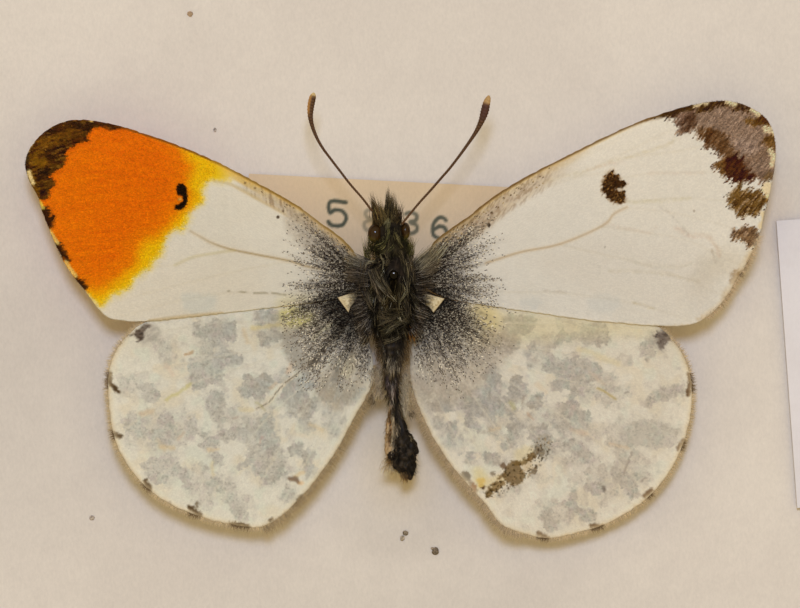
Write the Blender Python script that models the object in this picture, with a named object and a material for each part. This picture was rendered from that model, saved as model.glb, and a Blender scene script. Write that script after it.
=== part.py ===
"""An open, shallow wooden insect collection drawer: a dovetailed tray lined with
cork and cream paper, holding one set butterfly on its pin over a small data
label, with a blank card beside it.

Metres, +Z up. The origin is on the underside, straight below the insect pin.
+Y is towards the drawer's back and the insect's head, -Y is the front with the
knobs, and "left" is -X.
"""

import math

import bmesh
import bpy
from mathutils import Vector

# ---------------------------------------------------------------- dimensions
MM = 0.001
GAP = 0.3 * MM  # clearance between pieces that touch

# drawer case
OUTER_X = 156.0 * MM
OUTER_Y = 130.0 * MM
OUTER_Z = 28.5 * MM
SIDE_T = 6.5 * MM  # side and back boards
FRONT_T = 10.0 * MM
BASE_T = 3.0 * MM
BASE_TONGUE = 3.0 * MM  # how far the base panel reaches into the boards
LID_SEAT_W = 3.0 * MM  # rebate round the top inner edge
LID_SEAT_H = 3.5 * MM

# dovetails
TAIL_COUNT = 3
TAIL_LENGTH = SIDE_T
TAIL_WIDE = 5.6 * MM
TAIL_NARROW = 4.0 * MM
TAIL_FIRST_Z = 4.6 * MM
TAIL_PITCH = 7.0 * MM
TAIL_GAP = 0.25 * MM

# lining
CORK_T = 6.0 * MM
PAPER_T = 0.3 * MM

# front hardware
FRONT_MID_Z = 14.25 * MM
KNOB_X = 43.0 * MM
KNOB_SPIGOT_R = 2.0 * MM
CARD_FRAME_W = 24.0 * MM
CARD_FRAME_H = 14.0 * MM
CARD_FRAME_D = 1.5 * MM
BRASS_T = 0.6 * MM
WINDOW_W = 18.0 * MM
WINDOW_H = 9.0 * MM
EAR_W = 4.0 * MM
EAR_H = 4.4 * MM
EAR_PIN_X = 14.2 * MM

# insect pin
PIN_R = 0.25 * MM
PIN_HEAD_R = 0.52 * MM
PIN_POINT_Z = 4.3 * MM
PIN_TOP_Z = 23.5 * MM
PIN_HOLE_R = PIN_R + GAP

# the insect is laid out on a plan grid centred on the pin, this far per unit
PLAN = 0.061 * MM
WING_T = 0.25 * MM
FOREWING_Z = 12.90 * MM  # middle of the forewing plates at the body
HINDWING_Z = 12.34 * MM
TIP_RISE = 0.4 * MM  # how far the wings rise at the span's ends
HALF_SPAN = 22.8 * MM
ANTENNA_Z = 14.1 * MM

# cards
LABEL_SIZE = (16.4 * MM, 8.4 * MM, 0.25 * MM)
LABEL_AT = (-0.95 * MM, 1.69 * MM)
LABEL_TURN = math.radians(-2.96)
CARD_SIZE = (35.0 * MM, 17.7 * MM, 0.3 * MM)
CARD_AT = (41.6 * MM, -3.97 * MM)
CARD_TURN = math.radians(4.18)

# faces that follow from those
X_IN = OUTER_X / 2 - SIDE_T
Y_FRONT = -OUTER_Y / 2
Y_FRONT_IN = Y_FRONT + FRONT_T
Y_BACK = OUTER_Y / 2
Y_BACK_IN = Y_BACK - SIDE_T
CORK_Z = BASE_T + GAP
PAPER_Z = CORK_Z + CORK_T + GAP
PAPER_TOP = PAPER_Z + PAPER_T
CARD_Z = PAPER_TOP + GAP

# ------------------------------------------------------- wing and body plans
# Outlines run from the wing's root along its leading edge, round the tip and
# back along its trailing edge. Units of PLAN from the pin, x right, y to the
# head.
LEFT_FOREWING = [
    (-34, 13), (-42, 26), (-56, 40), (-74, 53), (-94, 68), (-114, 80),
    (-134, 91), (-164, 107), (-194, 121), (-224, 133), (-254, 143),
    (-284, 152), (-309, 156), (-330, 154), (-346, 146), (-359, 134),
    (-367, 120), (-369, 108), (-365, 88), (-357, 68), (-348, 44),
    (-337, 22), (-321, -6), (-306, -25), (-290, -39), (-277, -44),
    (-244, -45), (-204, -41), (-169, -37), (-126, -32), (-84, -27),
    (-50, -21), (-36, -12), (-33, 2),
]
RIGHT_FOREWING = [
    (30, 15), (40, 33), (56, 46), (76, 60), (96, 76), (116, 89),
    (146, 106), (176, 121), (206, 136), (236, 150), (266, 161),
    (296, 170), (326, 175), (346, 172), (363, 164), (374, 154),
    (380, 138), (381, 118), (377, 92), (371, 66), (364, 38), (354, 15),
    (342, -5), (330, -25), (312, -41), (294, -49), (266, -50),
    (226, -47), (186, -43), (146, -37), (96, -30), (52, -22), (34, -12),
    (29, 2),
]
LEFT_HINDWING = [
    (-33, -16), (-70, -24), (-120, -30), (-174, -36), (-224, -40),
    (-250, -47), (-266, -60), (-279, -76), (-286, -100), (-285, -130),
    (-281, -158), (-272, -180), (-257, -202), (-236, -221), (-212, -234),
    (-184, -244), (-150, -251), (-132, -251), (-114, -241), (-93, -221),
    (-74, -198), (-55, -170), (-40, -142), (-28, -121), (-21, -106),
    (-21, -89), (-24, -69), (-28, -54), (-33, -39),
]
RIGHT_HINDWING = [
    (28, -16), (60, -24), (110, -31), (170, -38), (225, -44), (262, -50),
    (280, -66), (291, -82), (298, -106), (298, -134), (292, -162),
    (281, -188), (264, -212), (242, -232), (214, -248), (186, -257),
    (154, -263), (127, -257), (107, -248), (92, -229), (75, -210),
    (56, -187), (39, -161), (26, -134), (18, -109), (16, -89),
    (18, -69), (23, -54), (28, -39),
]
LEFT_ANTENNA = [
    (-18, 63), (-30, 81), (-47, 99), (-64, 119), (-77, 138), (-82, 151),
    (-85, 166), (-84, 175), (-80, 183),
]
RIGHT_ANTENNA = [
    (14, 60), (24, 72), (35, 85), (60, 112), (75, 132), (83, 144),
    (88, 153), (91, 164), (93, 173), (94, 179),
]
# centre x, centre y, half width, half height and height of the middle
ABDOMEN = [
    (-1.0, -73.5, 4.0, 5.0, 13.0), (-1.0, -77, 9.0, 15.0, 13.0),
    (-1.5, -88, 9.5, 19.0, 12.95), (-1.5, -103, 7.5, 16.0, 12.9),
    (-0.5, -121, 3.4, 10.0, 12.75), (1.5, -135, 5.5, 12.0, 12.6),
    (3.5, -152, 9.5, 15.0, 12.5), (6.0, -170, 13.0, 17.0, 12.4),
    (9.0, -184, 13.5, 16.0, 12.35), (13.0, -196, 7.5, 9.0, 12.3),
    (16.0, -202, 2.5, 3.0, 12.3),
]


# ------------------------------------------------------------------- helpers
def material(name, colour, roughness, metallic=0.0):
    """A Principled finish with one colour, roughness and metallic value."""
    made = bpy.data.materials.new(name)
    made.use_nodes = True
    shader = made.node_tree.nodes["Principled BSDF"]
    shader.inputs["Base Color"].default_value = (*colour, 1.0)
    shader.inputs["Roughness"].default_value = roughness
    shader.inputs["Metallic"].default_value = metallic
    made.diffuse_color = (*colour, 1.0)
    return made


def finish(name, bm, finish_material, smooth=False):
    """Turns a bmesh into a named object with its faces pointing out."""
    bmesh.ops.recalc_face_normals(bm, faces=bm.faces)
    mesh = bpy.data.meshes.new(name)
    bm.to_mesh(mesh)
    bm.free()
    mesh.materials.append(finish_material)
    if smooth:
        mesh.shade_smooth()
        mesh.set_sharp_from_angle(angle=math.radians(40))
    obj = bpy.data.objects.new(name, mesh)
    bpy.context.scene.collection.objects.link(obj)
    return obj


def prism_into(bm, outline, axis, low, high):
    """A closed prism: a flat outline in the two other axes, run along axis."""

    def place(point, along):
        coords = list(point)
        coords.insert(axis, along)
        return coords

    lower = [bm.verts.new(place(p, low)) for p in outline]
    upper = [bm.verts.new(place(p, high)) for p in outline]
    count = len(outline)
    bm.faces.new(lower)
    bm.faces.new(list(reversed(upper)))
    for i in range(count):
        j = (i + 1) % count
        bm.faces.new((lower[i], upper[i], upper[j], lower[j]))


def box_into(bm, low, high):
    outline = [(low[1], low[2]), (high[1], low[2]), (high[1], high[2]), (low[1], high[2])]
    prism_into(bm, outline, 0, low[0], high[0])


def box(name, low, high, finish_material):
    bm = bmesh.new()
    box_into(bm, low, high)
    return finish(name, bm, finish_material)


def turned(name, profile, centre, finish_material, segments=20):
    """A turned piece whose profile of (radius, y) pairs spins round a Y axis.

    The first and the last profile points lie on the axis.
    """
    bm = bmesh.new()
    cx, cz = centre
    start = bm.verts.new((cx, profile[0][1], cz))
    end = bm.verts.new((cx, profile[-1][1], cz))
    rings = []
    for radius, y in profile[1:-1]:
        rings.append([
            bm.verts.new((
                cx + radius * math.cos(2 * math.pi * k / segments),
                y,
                cz + radius * math.sin(2 * math.pi * k / segments),
            ))
            for k in range(segments)
        ])
    cap_and_bridge(bm, start, rings, end)
    return finish(name, bm, finish_material, smooth=True)


def cap_and_bridge(bm, start, rings, end):
    """Joins rings of equal count into a closed skin with a point at each end."""
    count = len(rings[0])
    for k in range(count):
        n = (k + 1) % count
        bm.faces.new((start, rings[0][k], rings[0][n]))
        for a, b in zip(rings, rings[1:]):
            bm.faces.new((a[k], b[k], b[n], a[n]))
        bm.faces.new((end, rings[-1][n], rings[-1][k]))


def cylinder_into(bm, axis, centre, radius, low, high, segments=16):
    outline = [
        (
            centre[0] + radius * math.cos(2 * math.pi * (k + 0.5) / segments),
            centre[1] + radius * math.sin(2 * math.pi * (k + 0.5) / segments),
        )
        for k in range(segments)
    ]
    prism_into(bm, outline, axis, low, high)


def cutter(name, bm):
    """A guide solid that other pieces are cut with; it isn't part of the drawer."""
    obj = finish(name, bm, GUIDE)
    obj.hide_render = True
    obj.display_type = "WIRE"
    return obj


def cut(obj, tool):
    mod = obj.modifiers.new("Cut_" + tool.name, "BOOLEAN")
    mod.operation = "DIFFERENCE"
    mod.solver = "EXACT"
    mod.object = tool


def smooth_closed(points, steps):
    """A closed Catmull-Rom curve through the points, steps pieces per span."""
    count = len(points)
    out = []
    for i in range(count):
        p0, p1, p2, p3 = (Vector(points[(i + k - 1) % count]) for k in range(4))
        for s in range(steps):
            t = s / steps
            out.append(
                0.5 * (
                    2 * p1
                    + (p2 - p0) * t
                    + (2 * p0 - 5 * p1 + 4 * p2 - p3) * t * t
                    + (3 * p1 - p0 - 3 * p2 + p3) * t * t * t
                )
            )
    return out


def smooth_open(points, steps):
    """An open Catmull-Rom curve through points of any dimension."""
    pts = [Vector(p) for p in points]
    pts = [2 * pts[0] - pts[1]] + pts + [2 * pts[-1] - pts[-2]]
    out = []
    for i in range(1, len(pts) - 2):
        p0, p1, p2, p3 = pts[i - 1 : i + 3]
        for s in range(steps):
            t = s / steps
            out.append(
                0.5 * (
                    2 * p1
                    + (p2 - p0) * t
                    + (2 * p0 - 5 * p1 + 4 * p2 - p3) * t * t
                    + (3 * p1 - p0 - 3 * p2 + p3) * t * t * t
                )
            )
    out.append(pts[-2])
    return out


def wing_rise(x):
    """The set wings lift a little towards the ends of the span."""
    return TIP_RISE * (abs(x) / HALF_SPAN) ** 2


def wing(name, plan, middle_z, finish_material):
    """A thin plate over a wing's outline, on three rings about its middle."""
    outline = [Vector((p[0] * PLAN, p[1] * PLAN)) for p in smooth_closed(plan, 1)]
    centre = sum(outline, Vector((0.0, 0.0))) / len(outline)
    bm = bmesh.new()

    def layer(offset):
        rings = []
        for share in (1.0, 0.62, 0.28):
            ring = []
            for p in outline:
                q = centre + (p - centre) * share
                ring.append(bm.verts.new((q.x, q.y, middle_z + offset + wing_rise(q.x))))
            rings.append(ring)
        mid = bm.verts.new((centre.x, centre.y, middle_z + offset + wing_rise(centre.x)))
        return rings, mid

    upper, upper_mid = layer(WING_T / 2)
    lower, lower_mid = layer(-WING_T / 2)
    count = len(outline)
    for k in range(count):
        n = (k + 1) % count
        for rings, mid in ((upper, upper_mid), (lower, lower_mid)):
            bm.faces.new((rings[0][k], rings[0][n], rings[1][n], rings[1][k]))
            bm.faces.new((rings[1][k], rings[1][n], rings[2][n], rings[2][k]))
            bm.faces.new((rings[2][k], rings[2][n], mid))
        bm.faces.new((upper[0][k], upper[0][n], lower[0][n], lower[0][k]))
    return finish(name, bm, finish_material)


def ellipsoid_into(bm, centre, radii, across=16, along=10):
    """An ellipsoid with its poles on Y."""
    cx, cy, cz = centre
    rx, ry, rz = radii
    start = bm.verts.new((cx, cy - ry, cz))
    end = bm.verts.new((cx, cy + ry, cz))
    rings = []
    for i in range(1, along):
        a = math.pi * i / along
        y = cy - ry * math.cos(a)
        s = math.sin(a)
        rings.append([
            bm.verts.new((
                cx + rx * s * math.cos(2 * math.pi * (k + 0.5) / across),
                y,
                cz + rz * s * math.sin(2 * math.pi * (k + 0.5) / across),
            ))
            for k in range(across)
        ])
    cap_and_bridge(bm, start, rings, end)


def tube_along(name, centres, radii, finish_material, sides=6):
    """A thin round piece that follows points and tapers by radii."""
    bm = bmesh.new()
    rings = []
    for i, c in enumerate(centres):
        before = centres[max(i - 1, 0)]
        after = centres[min(i + 1, len(centres) - 1)]
        ahead = (after - before).normalized()
        side = ahead.cross(Vector((0, 0, 1))).normalized()
        up = side.cross(ahead).normalized()
        rings.append([
            bm.verts.new(
                c
                + side * (radii[i] * math.cos(2 * math.pi * k / sides))
                + up * (radii[i] * math.sin(2 * math.pi * k / sides))
            )
            for k in range(sides)
        ])
    bm.faces.new(rings[0])
    bm.faces.new(list(reversed(rings[-1])))
    for a, b in zip(rings, rings[1:]):
        for k in range(sides):
            n = (k + 1) % sides
            bm.faces.new((a[k], b[k], b[n], a[n]))
    return finish(name, bm, finish_material, smooth=True)


def antenna(name, plan, finish_material):
    """A thread with a small club at its end, level with the head."""
    points = smooth_open([(p[0] * PLAN, p[1] * PLAN, 0.0) for p in plan], 3)
    total = sum((b - a).length for a, b in zip(points, points[1:]))
    run = 0.0
    centres, radii = [], []
    for i, p in enumerate(points):
        if i:
            run += (p - points[i - 1]).length
        share = run / total
        centres.append(Vector((p.x, p.y, ANTENNA_Z + 0.3 * MM * share)))
        club = max(0.0, (share - 0.78) / 0.22)
        radii.append(0.09 * MM + 0.15 * MM * math.sin(min(club * 1.25, 1.0) * math.pi * 0.62) ** 2)
    return tube_along(name, centres, radii, finish_material)


def card(name, size, at, turn, low_z, finish_material):
    """A rectangle of card lying flat, turned about its own middle."""
    half_x, half_y = size[0] / 2, size[1] / 2
    c, s = math.cos(turn), math.sin(turn)
    outline = [
        (at[0] + x * c - y * s, at[1] + x * s + y * c)
        for x, y in ((-half_x, -half_y), (half_x, -half_y), (half_x, half_y), (-half_x, half_y))
    ]
    bm = bmesh.new()
    prism_into(bm, outline, 2, low_z, low_z + size[2])
    return finish(name, bm, finish_material)


# --------------------------------------------------------------------- start
for old in list(bpy.data.objects):
    bpy.data.objects.remove(old, do_unlink=True)

GUIDE = material("guide", (0.5, 0.5, 0.5), 0.5)
WOOD = (0.33, 0.15, 0.06)
wood_front = material("wood_front", WOOD, 0.38)
wood_back = material("wood_back", WOOD, 0.42)
wood_side_left = material("wood_side_left", WOOD, 0.42)
wood_side_right = material("wood_side_right", WOOD, 0.42)
base_wood = material("base_wood", (0.42, 0.27, 0.14), 0.6)
cork = material("cork", (0.42, 0.24, 0.12), 0.9)
lining_paper = material("lining_paper", (0.62, 0.55, 0.45), 0.85)
knob_wood_left = material("knob_wood_left", (0.24, 0.10, 0.04), 0.3)
knob_wood_right = material("knob_wood_right", (0.24, 0.10, 0.04), 0.3)
frame_brass = material("frame_brass", (0.72, 0.50, 0.20), 0.32, 1.0)
pin_brass_left = material("pin_brass_left", (0.72, 0.50, 0.20), 0.32, 1.0)
pin_brass_right = material("pin_brass_right", (0.72, 0.50, 0.20), 0.32, 1.0)
front_card_paper = material("front_card_paper", (0.72, 0.66, 0.52), 0.8)
pin_black = material("pin_black", (0.01, 0.01, 0.012), 0.22)
label_paper = material("label_paper", (0.66, 0.52, 0.38), 0.85)
white_card = material("white_card", (0.74, 0.70, 0.71), 0.7)
thorax_hair = material("thorax_hair", (0.035, 0.028, 0.020), 0.8)
head_hair = material("head_hair", (0.045, 0.035, 0.022), 0.75)
abdomen_skin = material("abdomen_skin", (0.03, 0.022, 0.016), 0.7)
orange_wing = material("orange_wing", (0.72, 0.24, 0.04), 0.7)
white_wing = material("white_wing", (0.68, 0.63, 0.50), 0.7)
left_hind = material("left_hind", (0.64, 0.60, 0.48), 0.7)
right_hind = material("right_hind", (0.64, 0.60, 0.48), 0.7)
antenna_left_skin = material("antenna_left_skin", (0.06, 0.04, 0.02), 0.5)
antenna_right_skin = material("antenna_right_skin", (0.06, 0.04, 0.02), 0.5)


# --------------------------------------------------------------- drawer case
def tail_edges(index, flare):
    """Low and high edge of a tail, flare = 0 at the shoulder, 1 at the end."""
    middle = TAIL_FIRST_Z + TAIL_WIDE / 2 + index * TAIL_PITCH
    half = (TAIL_NARROW + (TAIL_WIDE - TAIL_NARROW) * flare) / 2
    return middle - half, middle + half


def side_outline():
    """A side board in (y, z): a long rectangle with tails at both ends."""
    front_shoulder = Y_FRONT_IN + TAIL_GAP
    back_shoulder = Y_BACK_IN - TAIL_GAP
    front_end = Y_FRONT_IN - TAIL_LENGTH
    back_end = Y_BACK
    outline = [(front_shoulder, 0.0), (back_shoulder, 0.0)]
    for i in range(TAIL_COUNT):
        low0, high0 = tail_edges(i, 0.0)
        low1, high1 = tail_edges(i, 1.0)
        outline += [(back_shoulder, low0), (back_end, low1), (back_end, high1), (back_shoulder, high0)]
    outline += [(back_shoulder, OUTER_Z), (front_shoulder, OUTER_Z)]
    for i in reversed(range(TAIL_COUNT)):
        low0, high0 = tail_edges(i, 0.0)
        low1, high1 = tail_edges(i, 1.0)
        outline += [(front_shoulder, high0), (front_end, high1), (front_end, low1), (front_shoulder, low0)]
    return outline


def socket_cutters(name, shoulder, end, past):
    """Sockets for the tails at both ends of a front or back board."""
    bm = bmesh.new()
    direction = 1.0 if end > shoulder else -1.0
    overshoot = shoulder - direction * 1.0 * MM
    stop = end + direction * past
    length = abs(end - shoulder)
    for sign in (-1, 1):
        low_x = sign * (X_IN - TAIL_GAP)
        high_x = sign * (OUTER_X / 2 + 1.0 * MM)
        for i in range(TAIL_COUNT):
            low_n, high_n = tail_edges(i, -1.0 * MM / length)
            low_w, high_w = tail_edges(i, 1.0 + past / length)
            outline = [
                (overshoot, low_n - TAIL_GAP), (stop, low_w - TAIL_GAP),
                (stop, high_w + TAIL_GAP), (overshoot, high_n + TAIL_GAP),
            ]
            prism_into(bm, outline, 0, min(low_x, high_x), max(low_x, high_x))
    return cutter(name, bm)


bm = bmesh.new()
box_into(
    bm,
    (-X_IN - BASE_TONGUE - GAP, Y_FRONT_IN - BASE_TONGUE - GAP, -1 * MM),
    (X_IN + BASE_TONGUE + GAP, Y_BACK_IN + BASE_TONGUE + GAP, BASE_T + GAP),
)
base_rabbet = cutter("guide_base_rabbet", bm)

bm = bmesh.new()
box_into(
    bm,
    (-X_IN - LID_SEAT_W, Y_FRONT_IN - LID_SEAT_W, OUTER_Z - LID_SEAT_H),
    (X_IN + LID_SEAT_W, Y_BACK_IN + LID_SEAT_W, OUTER_Z + 1 * MM),
)
lid_rebate = cutter("guide_lid_rebate", bm)

front_sockets = socket_cutters(
    "guide_front_sockets", Y_FRONT_IN + TAIL_GAP, Y_FRONT_IN - TAIL_LENGTH, TAIL_GAP
)
back_sockets = socket_cutters(
    "guide_back_sockets", Y_BACK_IN - TAIL_GAP, Y_BACK, 1 * MM
)

bm = bmesh.new()
for sign in (-1, 1):
    cylinder_into(bm, 1, (sign * KNOB_X, FRONT_MID_Z), KNOB_SPIGOT_R + GAP, Y_FRONT - 1 * MM, Y_FRONT + 5.7 * MM, 20)
    cylinder_into(bm, 1, (sign * EAR_PIN_X, FRONT_MID_Z), 0.8 * MM, Y_FRONT - 1 * MM, Y_FRONT + 5.5 * MM, 12)
front_holes = cutter("guide_front_holes", bm)

front = box("drawer_front", (-OUTER_X / 2, Y_FRONT, 0), (OUTER_X / 2, Y_FRONT_IN, OUTER_Z), wood_front)
for tool in (front_sockets, base_rabbet, lid_rebate, front_holes):
    cut(front, tool)

back = box("drawer_back", (-OUTER_X / 2, Y_BACK_IN, 0), (OUTER_X / 2, Y_BACK, OUTER_Z), wood_back)
for tool in (back_sockets, base_rabbet, lid_rebate):
    cut(back, tool)

for side_name, sign, side_wood in (
    ("drawer_side_left", -1, wood_side_left),
    ("drawer_side_right", 1, wood_side_right),
):
    bm = bmesh.new()
    edges = sorted((sign * X_IN, sign * OUTER_X / 2))
    prism_into(bm, side_outline(), 0, edges[0], edges[1])
    side = finish(side_name, bm, side_wood)
    for tool in (base_rabbet, lid_rebate):
        cut(side, tool)

box(
    "base_panel",
    (-X_IN - BASE_TONGUE, Y_FRONT_IN - BASE_TONGUE, 0),
    (X_IN + BASE_TONGUE, Y_BACK_IN + BASE_TONGUE, BASE_T),
    base_wood,
)

# -------------------------------------------------------------------- lining
bm = bmesh.new()
cylinder_into(bm, 2, (0, 0), PIN_HOLE_R, PIN_POINT_Z - GAP, PIN_TOP_Z + 1 * MM)
pin_bore = cutter("guide_pin_bore", bm)

cork_sheet = box(
    "cork_sheet",
    (-X_IN + GAP, Y_FRONT_IN + GAP, CORK_Z),
    (X_IN - GAP, Y_BACK_IN - GAP, CORK_Z + CORK_T),
    cork,
)
cut(cork_sheet, pin_bore)
paper = box(
    "paper_lining",
    (-X_IN + GAP, Y_FRONT_IN + GAP, PAPER_Z),
    (X_IN - GAP, Y_BACK_IN - GAP, PAPER_TOP),
    lining_paper,
)
cut(paper, pin_bore)

# ------------------------------------------------------------ front hardware
KNOB_PROFILE = [  # radius, distance in front of the drawer's face, in mm
    (0.0, -5.4), (2.0, -5.4), (2.0, 0.3), (4.3, 0.3), (4.3, 1.2), (3.0, 2.4),
    (2.5, 4.2), (3.2, 6.2), (4.9, 7.8), (6.0, 9.6), (5.8, 11.2), (4.2, 12.5),
    (2.0, 13.1), (0.0, 13.3),
]
for knob_name, sign, knob_wood in (("knob_left", -1, knob_wood_left), ("knob_right", 1, knob_wood_right)):
    turned(
        knob_name,
        [(r * MM, Y_FRONT - d * MM) for r, d in KNOB_PROFILE],
        (sign * KNOB_X, FRONT_MID_Z),
        knob_wood,
    )

frame_back = Y_FRONT - GAP
frame_face = frame_back - CARD_FRAME_D
frame_low = FRONT_MID_Z - CARD_FRAME_H / 2
frame_high = FRONT_MID_Z + CARD_FRAME_H / 2
bm = bmesh.new()
box_into(bm, (-CARD_FRAME_W / 2 + BRASS_T, frame_face + BRASS_T, frame_low + BRASS_T), (CARD_FRAME_W / 2 - BRASS_T, frame_back + 1 * MM, frame_high + 1 * MM))
frame_pocket = cutter("guide_frame_pocket", bm)
bm = bmesh.new()
box_into(bm, (-WINDOW_W / 2, frame_face - 1 * MM, FRONT_MID_Z - WINDOW_H / 2), (WINDOW_W / 2, frame_back + 1 * MM, FRONT_MID_Z + WINDOW_H / 2))
frame_window = cutter("guide_frame_window", bm)
bm = bmesh.new()
for sign in (-1, 1):
    cylinder_into(bm, 1, (sign * EAR_PIN_X, FRONT_MID_Z), 0.8 * MM, frame_face - 1 * MM, frame_back + 1 * MM, 12)
ear_holes = cutter("guide_ear_holes", bm)

# the stamped frame: a shallow tray with an ear at each side, seen in (x, z)
half_w = CARD_FRAME_W / 2
ear_low, ear_high = FRONT_MID_Z - EAR_H / 2, FRONT_MID_Z + EAR_H / 2
bm = bmesh.new()
prism_into(
    bm,
    [
        (-half_w, frame_low), (half_w, frame_low), (half_w, ear_low),
        (half_w + EAR_W - 1.2 * MM, ear_low), (half_w + EAR_W, FRONT_MID_Z - 1.0 * MM),
        (half_w + EAR_W, FRONT_MID_Z + 1.0 * MM), (half_w + EAR_W - 1.2 * MM, ear_high),
        (half_w, ear_high), (half_w, frame_high), (-half_w, frame_high),
        (-half_w, ear_high), (-half_w - EAR_W + 1.2 * MM, ear_high),
        (-half_w - EAR_W, FRONT_MID_Z + 1.0 * MM), (-half_w - EAR_W, FRONT_MID_Z - 1.0 * MM),
        (-half_w - EAR_W + 1.2 * MM, ear_low), (-half_w, ear_low),
    ],
    1, frame_back - BRASS_T, frame_back,
)
card_frame = finish("card_frame", bm, frame_brass)
bm = bmesh.new()
box_into(bm, (-half_w, frame_face, frame_low), (half_w, frame_back - BRASS_T / 2, frame_high))
frame_body = cutter("guide_frame_body", bm)
union = card_frame.modifiers.new("Body", "BOOLEAN")
union.operation = "UNION"
union.solver = "EXACT"
union.object = frame_body
for tool in (frame_pocket, frame_window, ear_holes):
    cut(card_frame, tool)

for pin_name, sign, pin_brass in (
    ("card_frame_pin_left", -1, pin_brass_left),
    ("card_frame_pin_right", 1, pin_brass_right),
):
    head_seat = frame_back - BRASS_T - GAP
    turned(
        pin_name,
        [
            (0.0, Y_FRONT + 5.2 * MM), (0.25 * MM, Y_FRONT + 4.4 * MM), (0.5 * MM, Y_FRONT + 3.4 * MM),
            (0.5 * MM, head_seat), (1.3 * MM, head_seat), (1.2 * MM, head_seat - 0.4 * MM),
            (0.7 * MM, head_seat - 0.75 * MM), (0.0, head_seat - 0.85 * MM),
        ],
        (sign * EAR_PIN_X, FRONT_MID_Z),
        pin_brass,
        segments=12,
    )

box(
    "front_card",
    (-half_w + BRASS_T + GAP, frame_face + BRASS_T + GAP, frame_low + BRASS_T + GAP),
    (half_w - BRASS_T - GAP, frame_face + BRASS_T + GAP + 0.25 * MM, frame_high - GAP),
    front_card_paper,
)

# --------------------------------------------------------------------- cards
label = card("data_label", LABEL_SIZE, LABEL_AT, LABEL_TURN, CARD_Z, label_paper)
cut(label, pin_bore)
card("blank_card", CARD_SIZE, CARD_AT, CARD_TURN, CARD_Z, white_card)

# ---------------------------------------------------------------- insect pin
bm = bmesh.new()
pin_profile = [  # radius, height
    (0.11 * MM, PIN_POINT_Z + 0.8 * MM), (PIN_R, PIN_POINT_Z + 2.2 * MM),
    (PIN_R, PIN_TOP_Z - 0.72 * MM), (PIN_HEAD_R, PIN_TOP_Z - 0.62 * MM),
    (PIN_HEAD_R, PIN_TOP_Z - 0.32 * MM), (0.36 * MM, PIN_TOP_Z - 0.08 * MM),
]
pin_rings = [
    [
        bm.verts.new((r * math.cos(math.pi * k / 6), r * math.sin(math.pi * k / 6), z))
        for k in range(12)
    ]
    for r, z in pin_profile
]
cap_and_bridge(bm, bm.verts.new((0, 0, PIN_POINT_Z)), pin_rings, bm.verts.new((0, 0, PIN_TOP_Z)))
finish("insect_pin", bm, pin_black, smooth=True)

# -------------------------------------------------------------------- insect
bm = bmesh.new()
ellipsoid_into(bm, (-0.15 * MM, -1.15 * MM, 13.0 * MM), (1.55 * MM, 2.95 * MM, 1.95 * MM))
thorax = finish("thorax", bm, thorax_hair, smooth=True)
cut(thorax, pin_bore)

bm = bmesh.new()
ellipsoid_into(bm, (-0.18 * MM, 2.90 * MM, 13.2 * MM), (0.85 * MM, 0.75 * MM, 0.95 * MM), 14, 8)
head = finish("head", bm, head_hair, smooth=True)
for eye_name, eye_x in (("guide_eye_left", -0.95), ("guide_eye_right", 0.60)):
    bm = bmesh.new()
    ellipsoid_into(bm, (eye_x * MM, 2.80 * MM, 13.2 * MM), (0.50 * MM, 0.58 * MM, 0.62 * MM), 12, 8)
    eye = cutter(eye_name, bm)
    grown = head.modifiers.new("Grow_" + eye_name, "BOOLEAN")
    grown.operation = "UNION"
    grown.solver = "EXACT"
    grown.object = eye

bm = bmesh.new()
abdomen_rings = []
for cx, cy, half_width, half_height, mid_z in ABDOMEN[1:-1]:
    abdomen_rings.append([
        bm.verts.new((
            (cx + half_width * math.cos(2 * math.pi * k / 12)) * PLAN,
            cy * PLAN,
            mid_z * MM + half_height * PLAN * math.sin(2 * math.pi * k / 12),
        ))
        for k in range(12)
    ])
cap_and_bridge(
    bm,
    bm.verts.new((ABDOMEN[0][0] * PLAN, ABDOMEN[0][1] * PLAN, ABDOMEN[0][4] * MM)),
    abdomen_rings,
    bm.verts.new((ABDOMEN[-1][0] * PLAN, ABDOMEN[-1][1] * PLAN, ABDOMEN[-1][4] * MM)),
)
finish("abdomen", bm, abdomen_skin, smooth=True)

wing("forewing_left", LEFT_FOREWING, FOREWING_Z, orange_wing)
wing("forewing_right", RIGHT_FOREWING, FOREWING_Z, white_wing)
wing("hindwing_left", LEFT_HINDWING, HINDWING_Z, left_hind)
wing("hindwing_right", RIGHT_HINDWING, HINDWING_Z, right_hind)
antenna("antenna_left", LEFT_ANTENNA, antenna_left_skin)
antenna("antenna_right", RIGHT_ANTENNA, antenna_right_skin)
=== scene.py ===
import math

import bpy
import numpy as np
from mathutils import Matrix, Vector
from mathutils.geometry import delaunay_2d_cdt


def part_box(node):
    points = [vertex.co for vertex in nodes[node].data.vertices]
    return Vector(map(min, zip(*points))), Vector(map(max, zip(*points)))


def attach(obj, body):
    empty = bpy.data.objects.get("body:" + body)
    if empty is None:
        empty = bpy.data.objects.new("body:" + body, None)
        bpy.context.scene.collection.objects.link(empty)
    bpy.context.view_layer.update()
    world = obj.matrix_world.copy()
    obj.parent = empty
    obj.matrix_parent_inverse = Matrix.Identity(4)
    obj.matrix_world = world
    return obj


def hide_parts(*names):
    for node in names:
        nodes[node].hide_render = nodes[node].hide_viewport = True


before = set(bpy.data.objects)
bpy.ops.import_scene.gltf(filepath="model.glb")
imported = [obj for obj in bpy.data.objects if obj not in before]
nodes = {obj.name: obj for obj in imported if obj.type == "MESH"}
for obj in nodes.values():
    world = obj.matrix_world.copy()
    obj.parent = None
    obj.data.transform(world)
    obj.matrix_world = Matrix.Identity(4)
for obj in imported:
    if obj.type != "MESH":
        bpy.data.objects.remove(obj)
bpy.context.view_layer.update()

MM = 0.001
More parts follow.
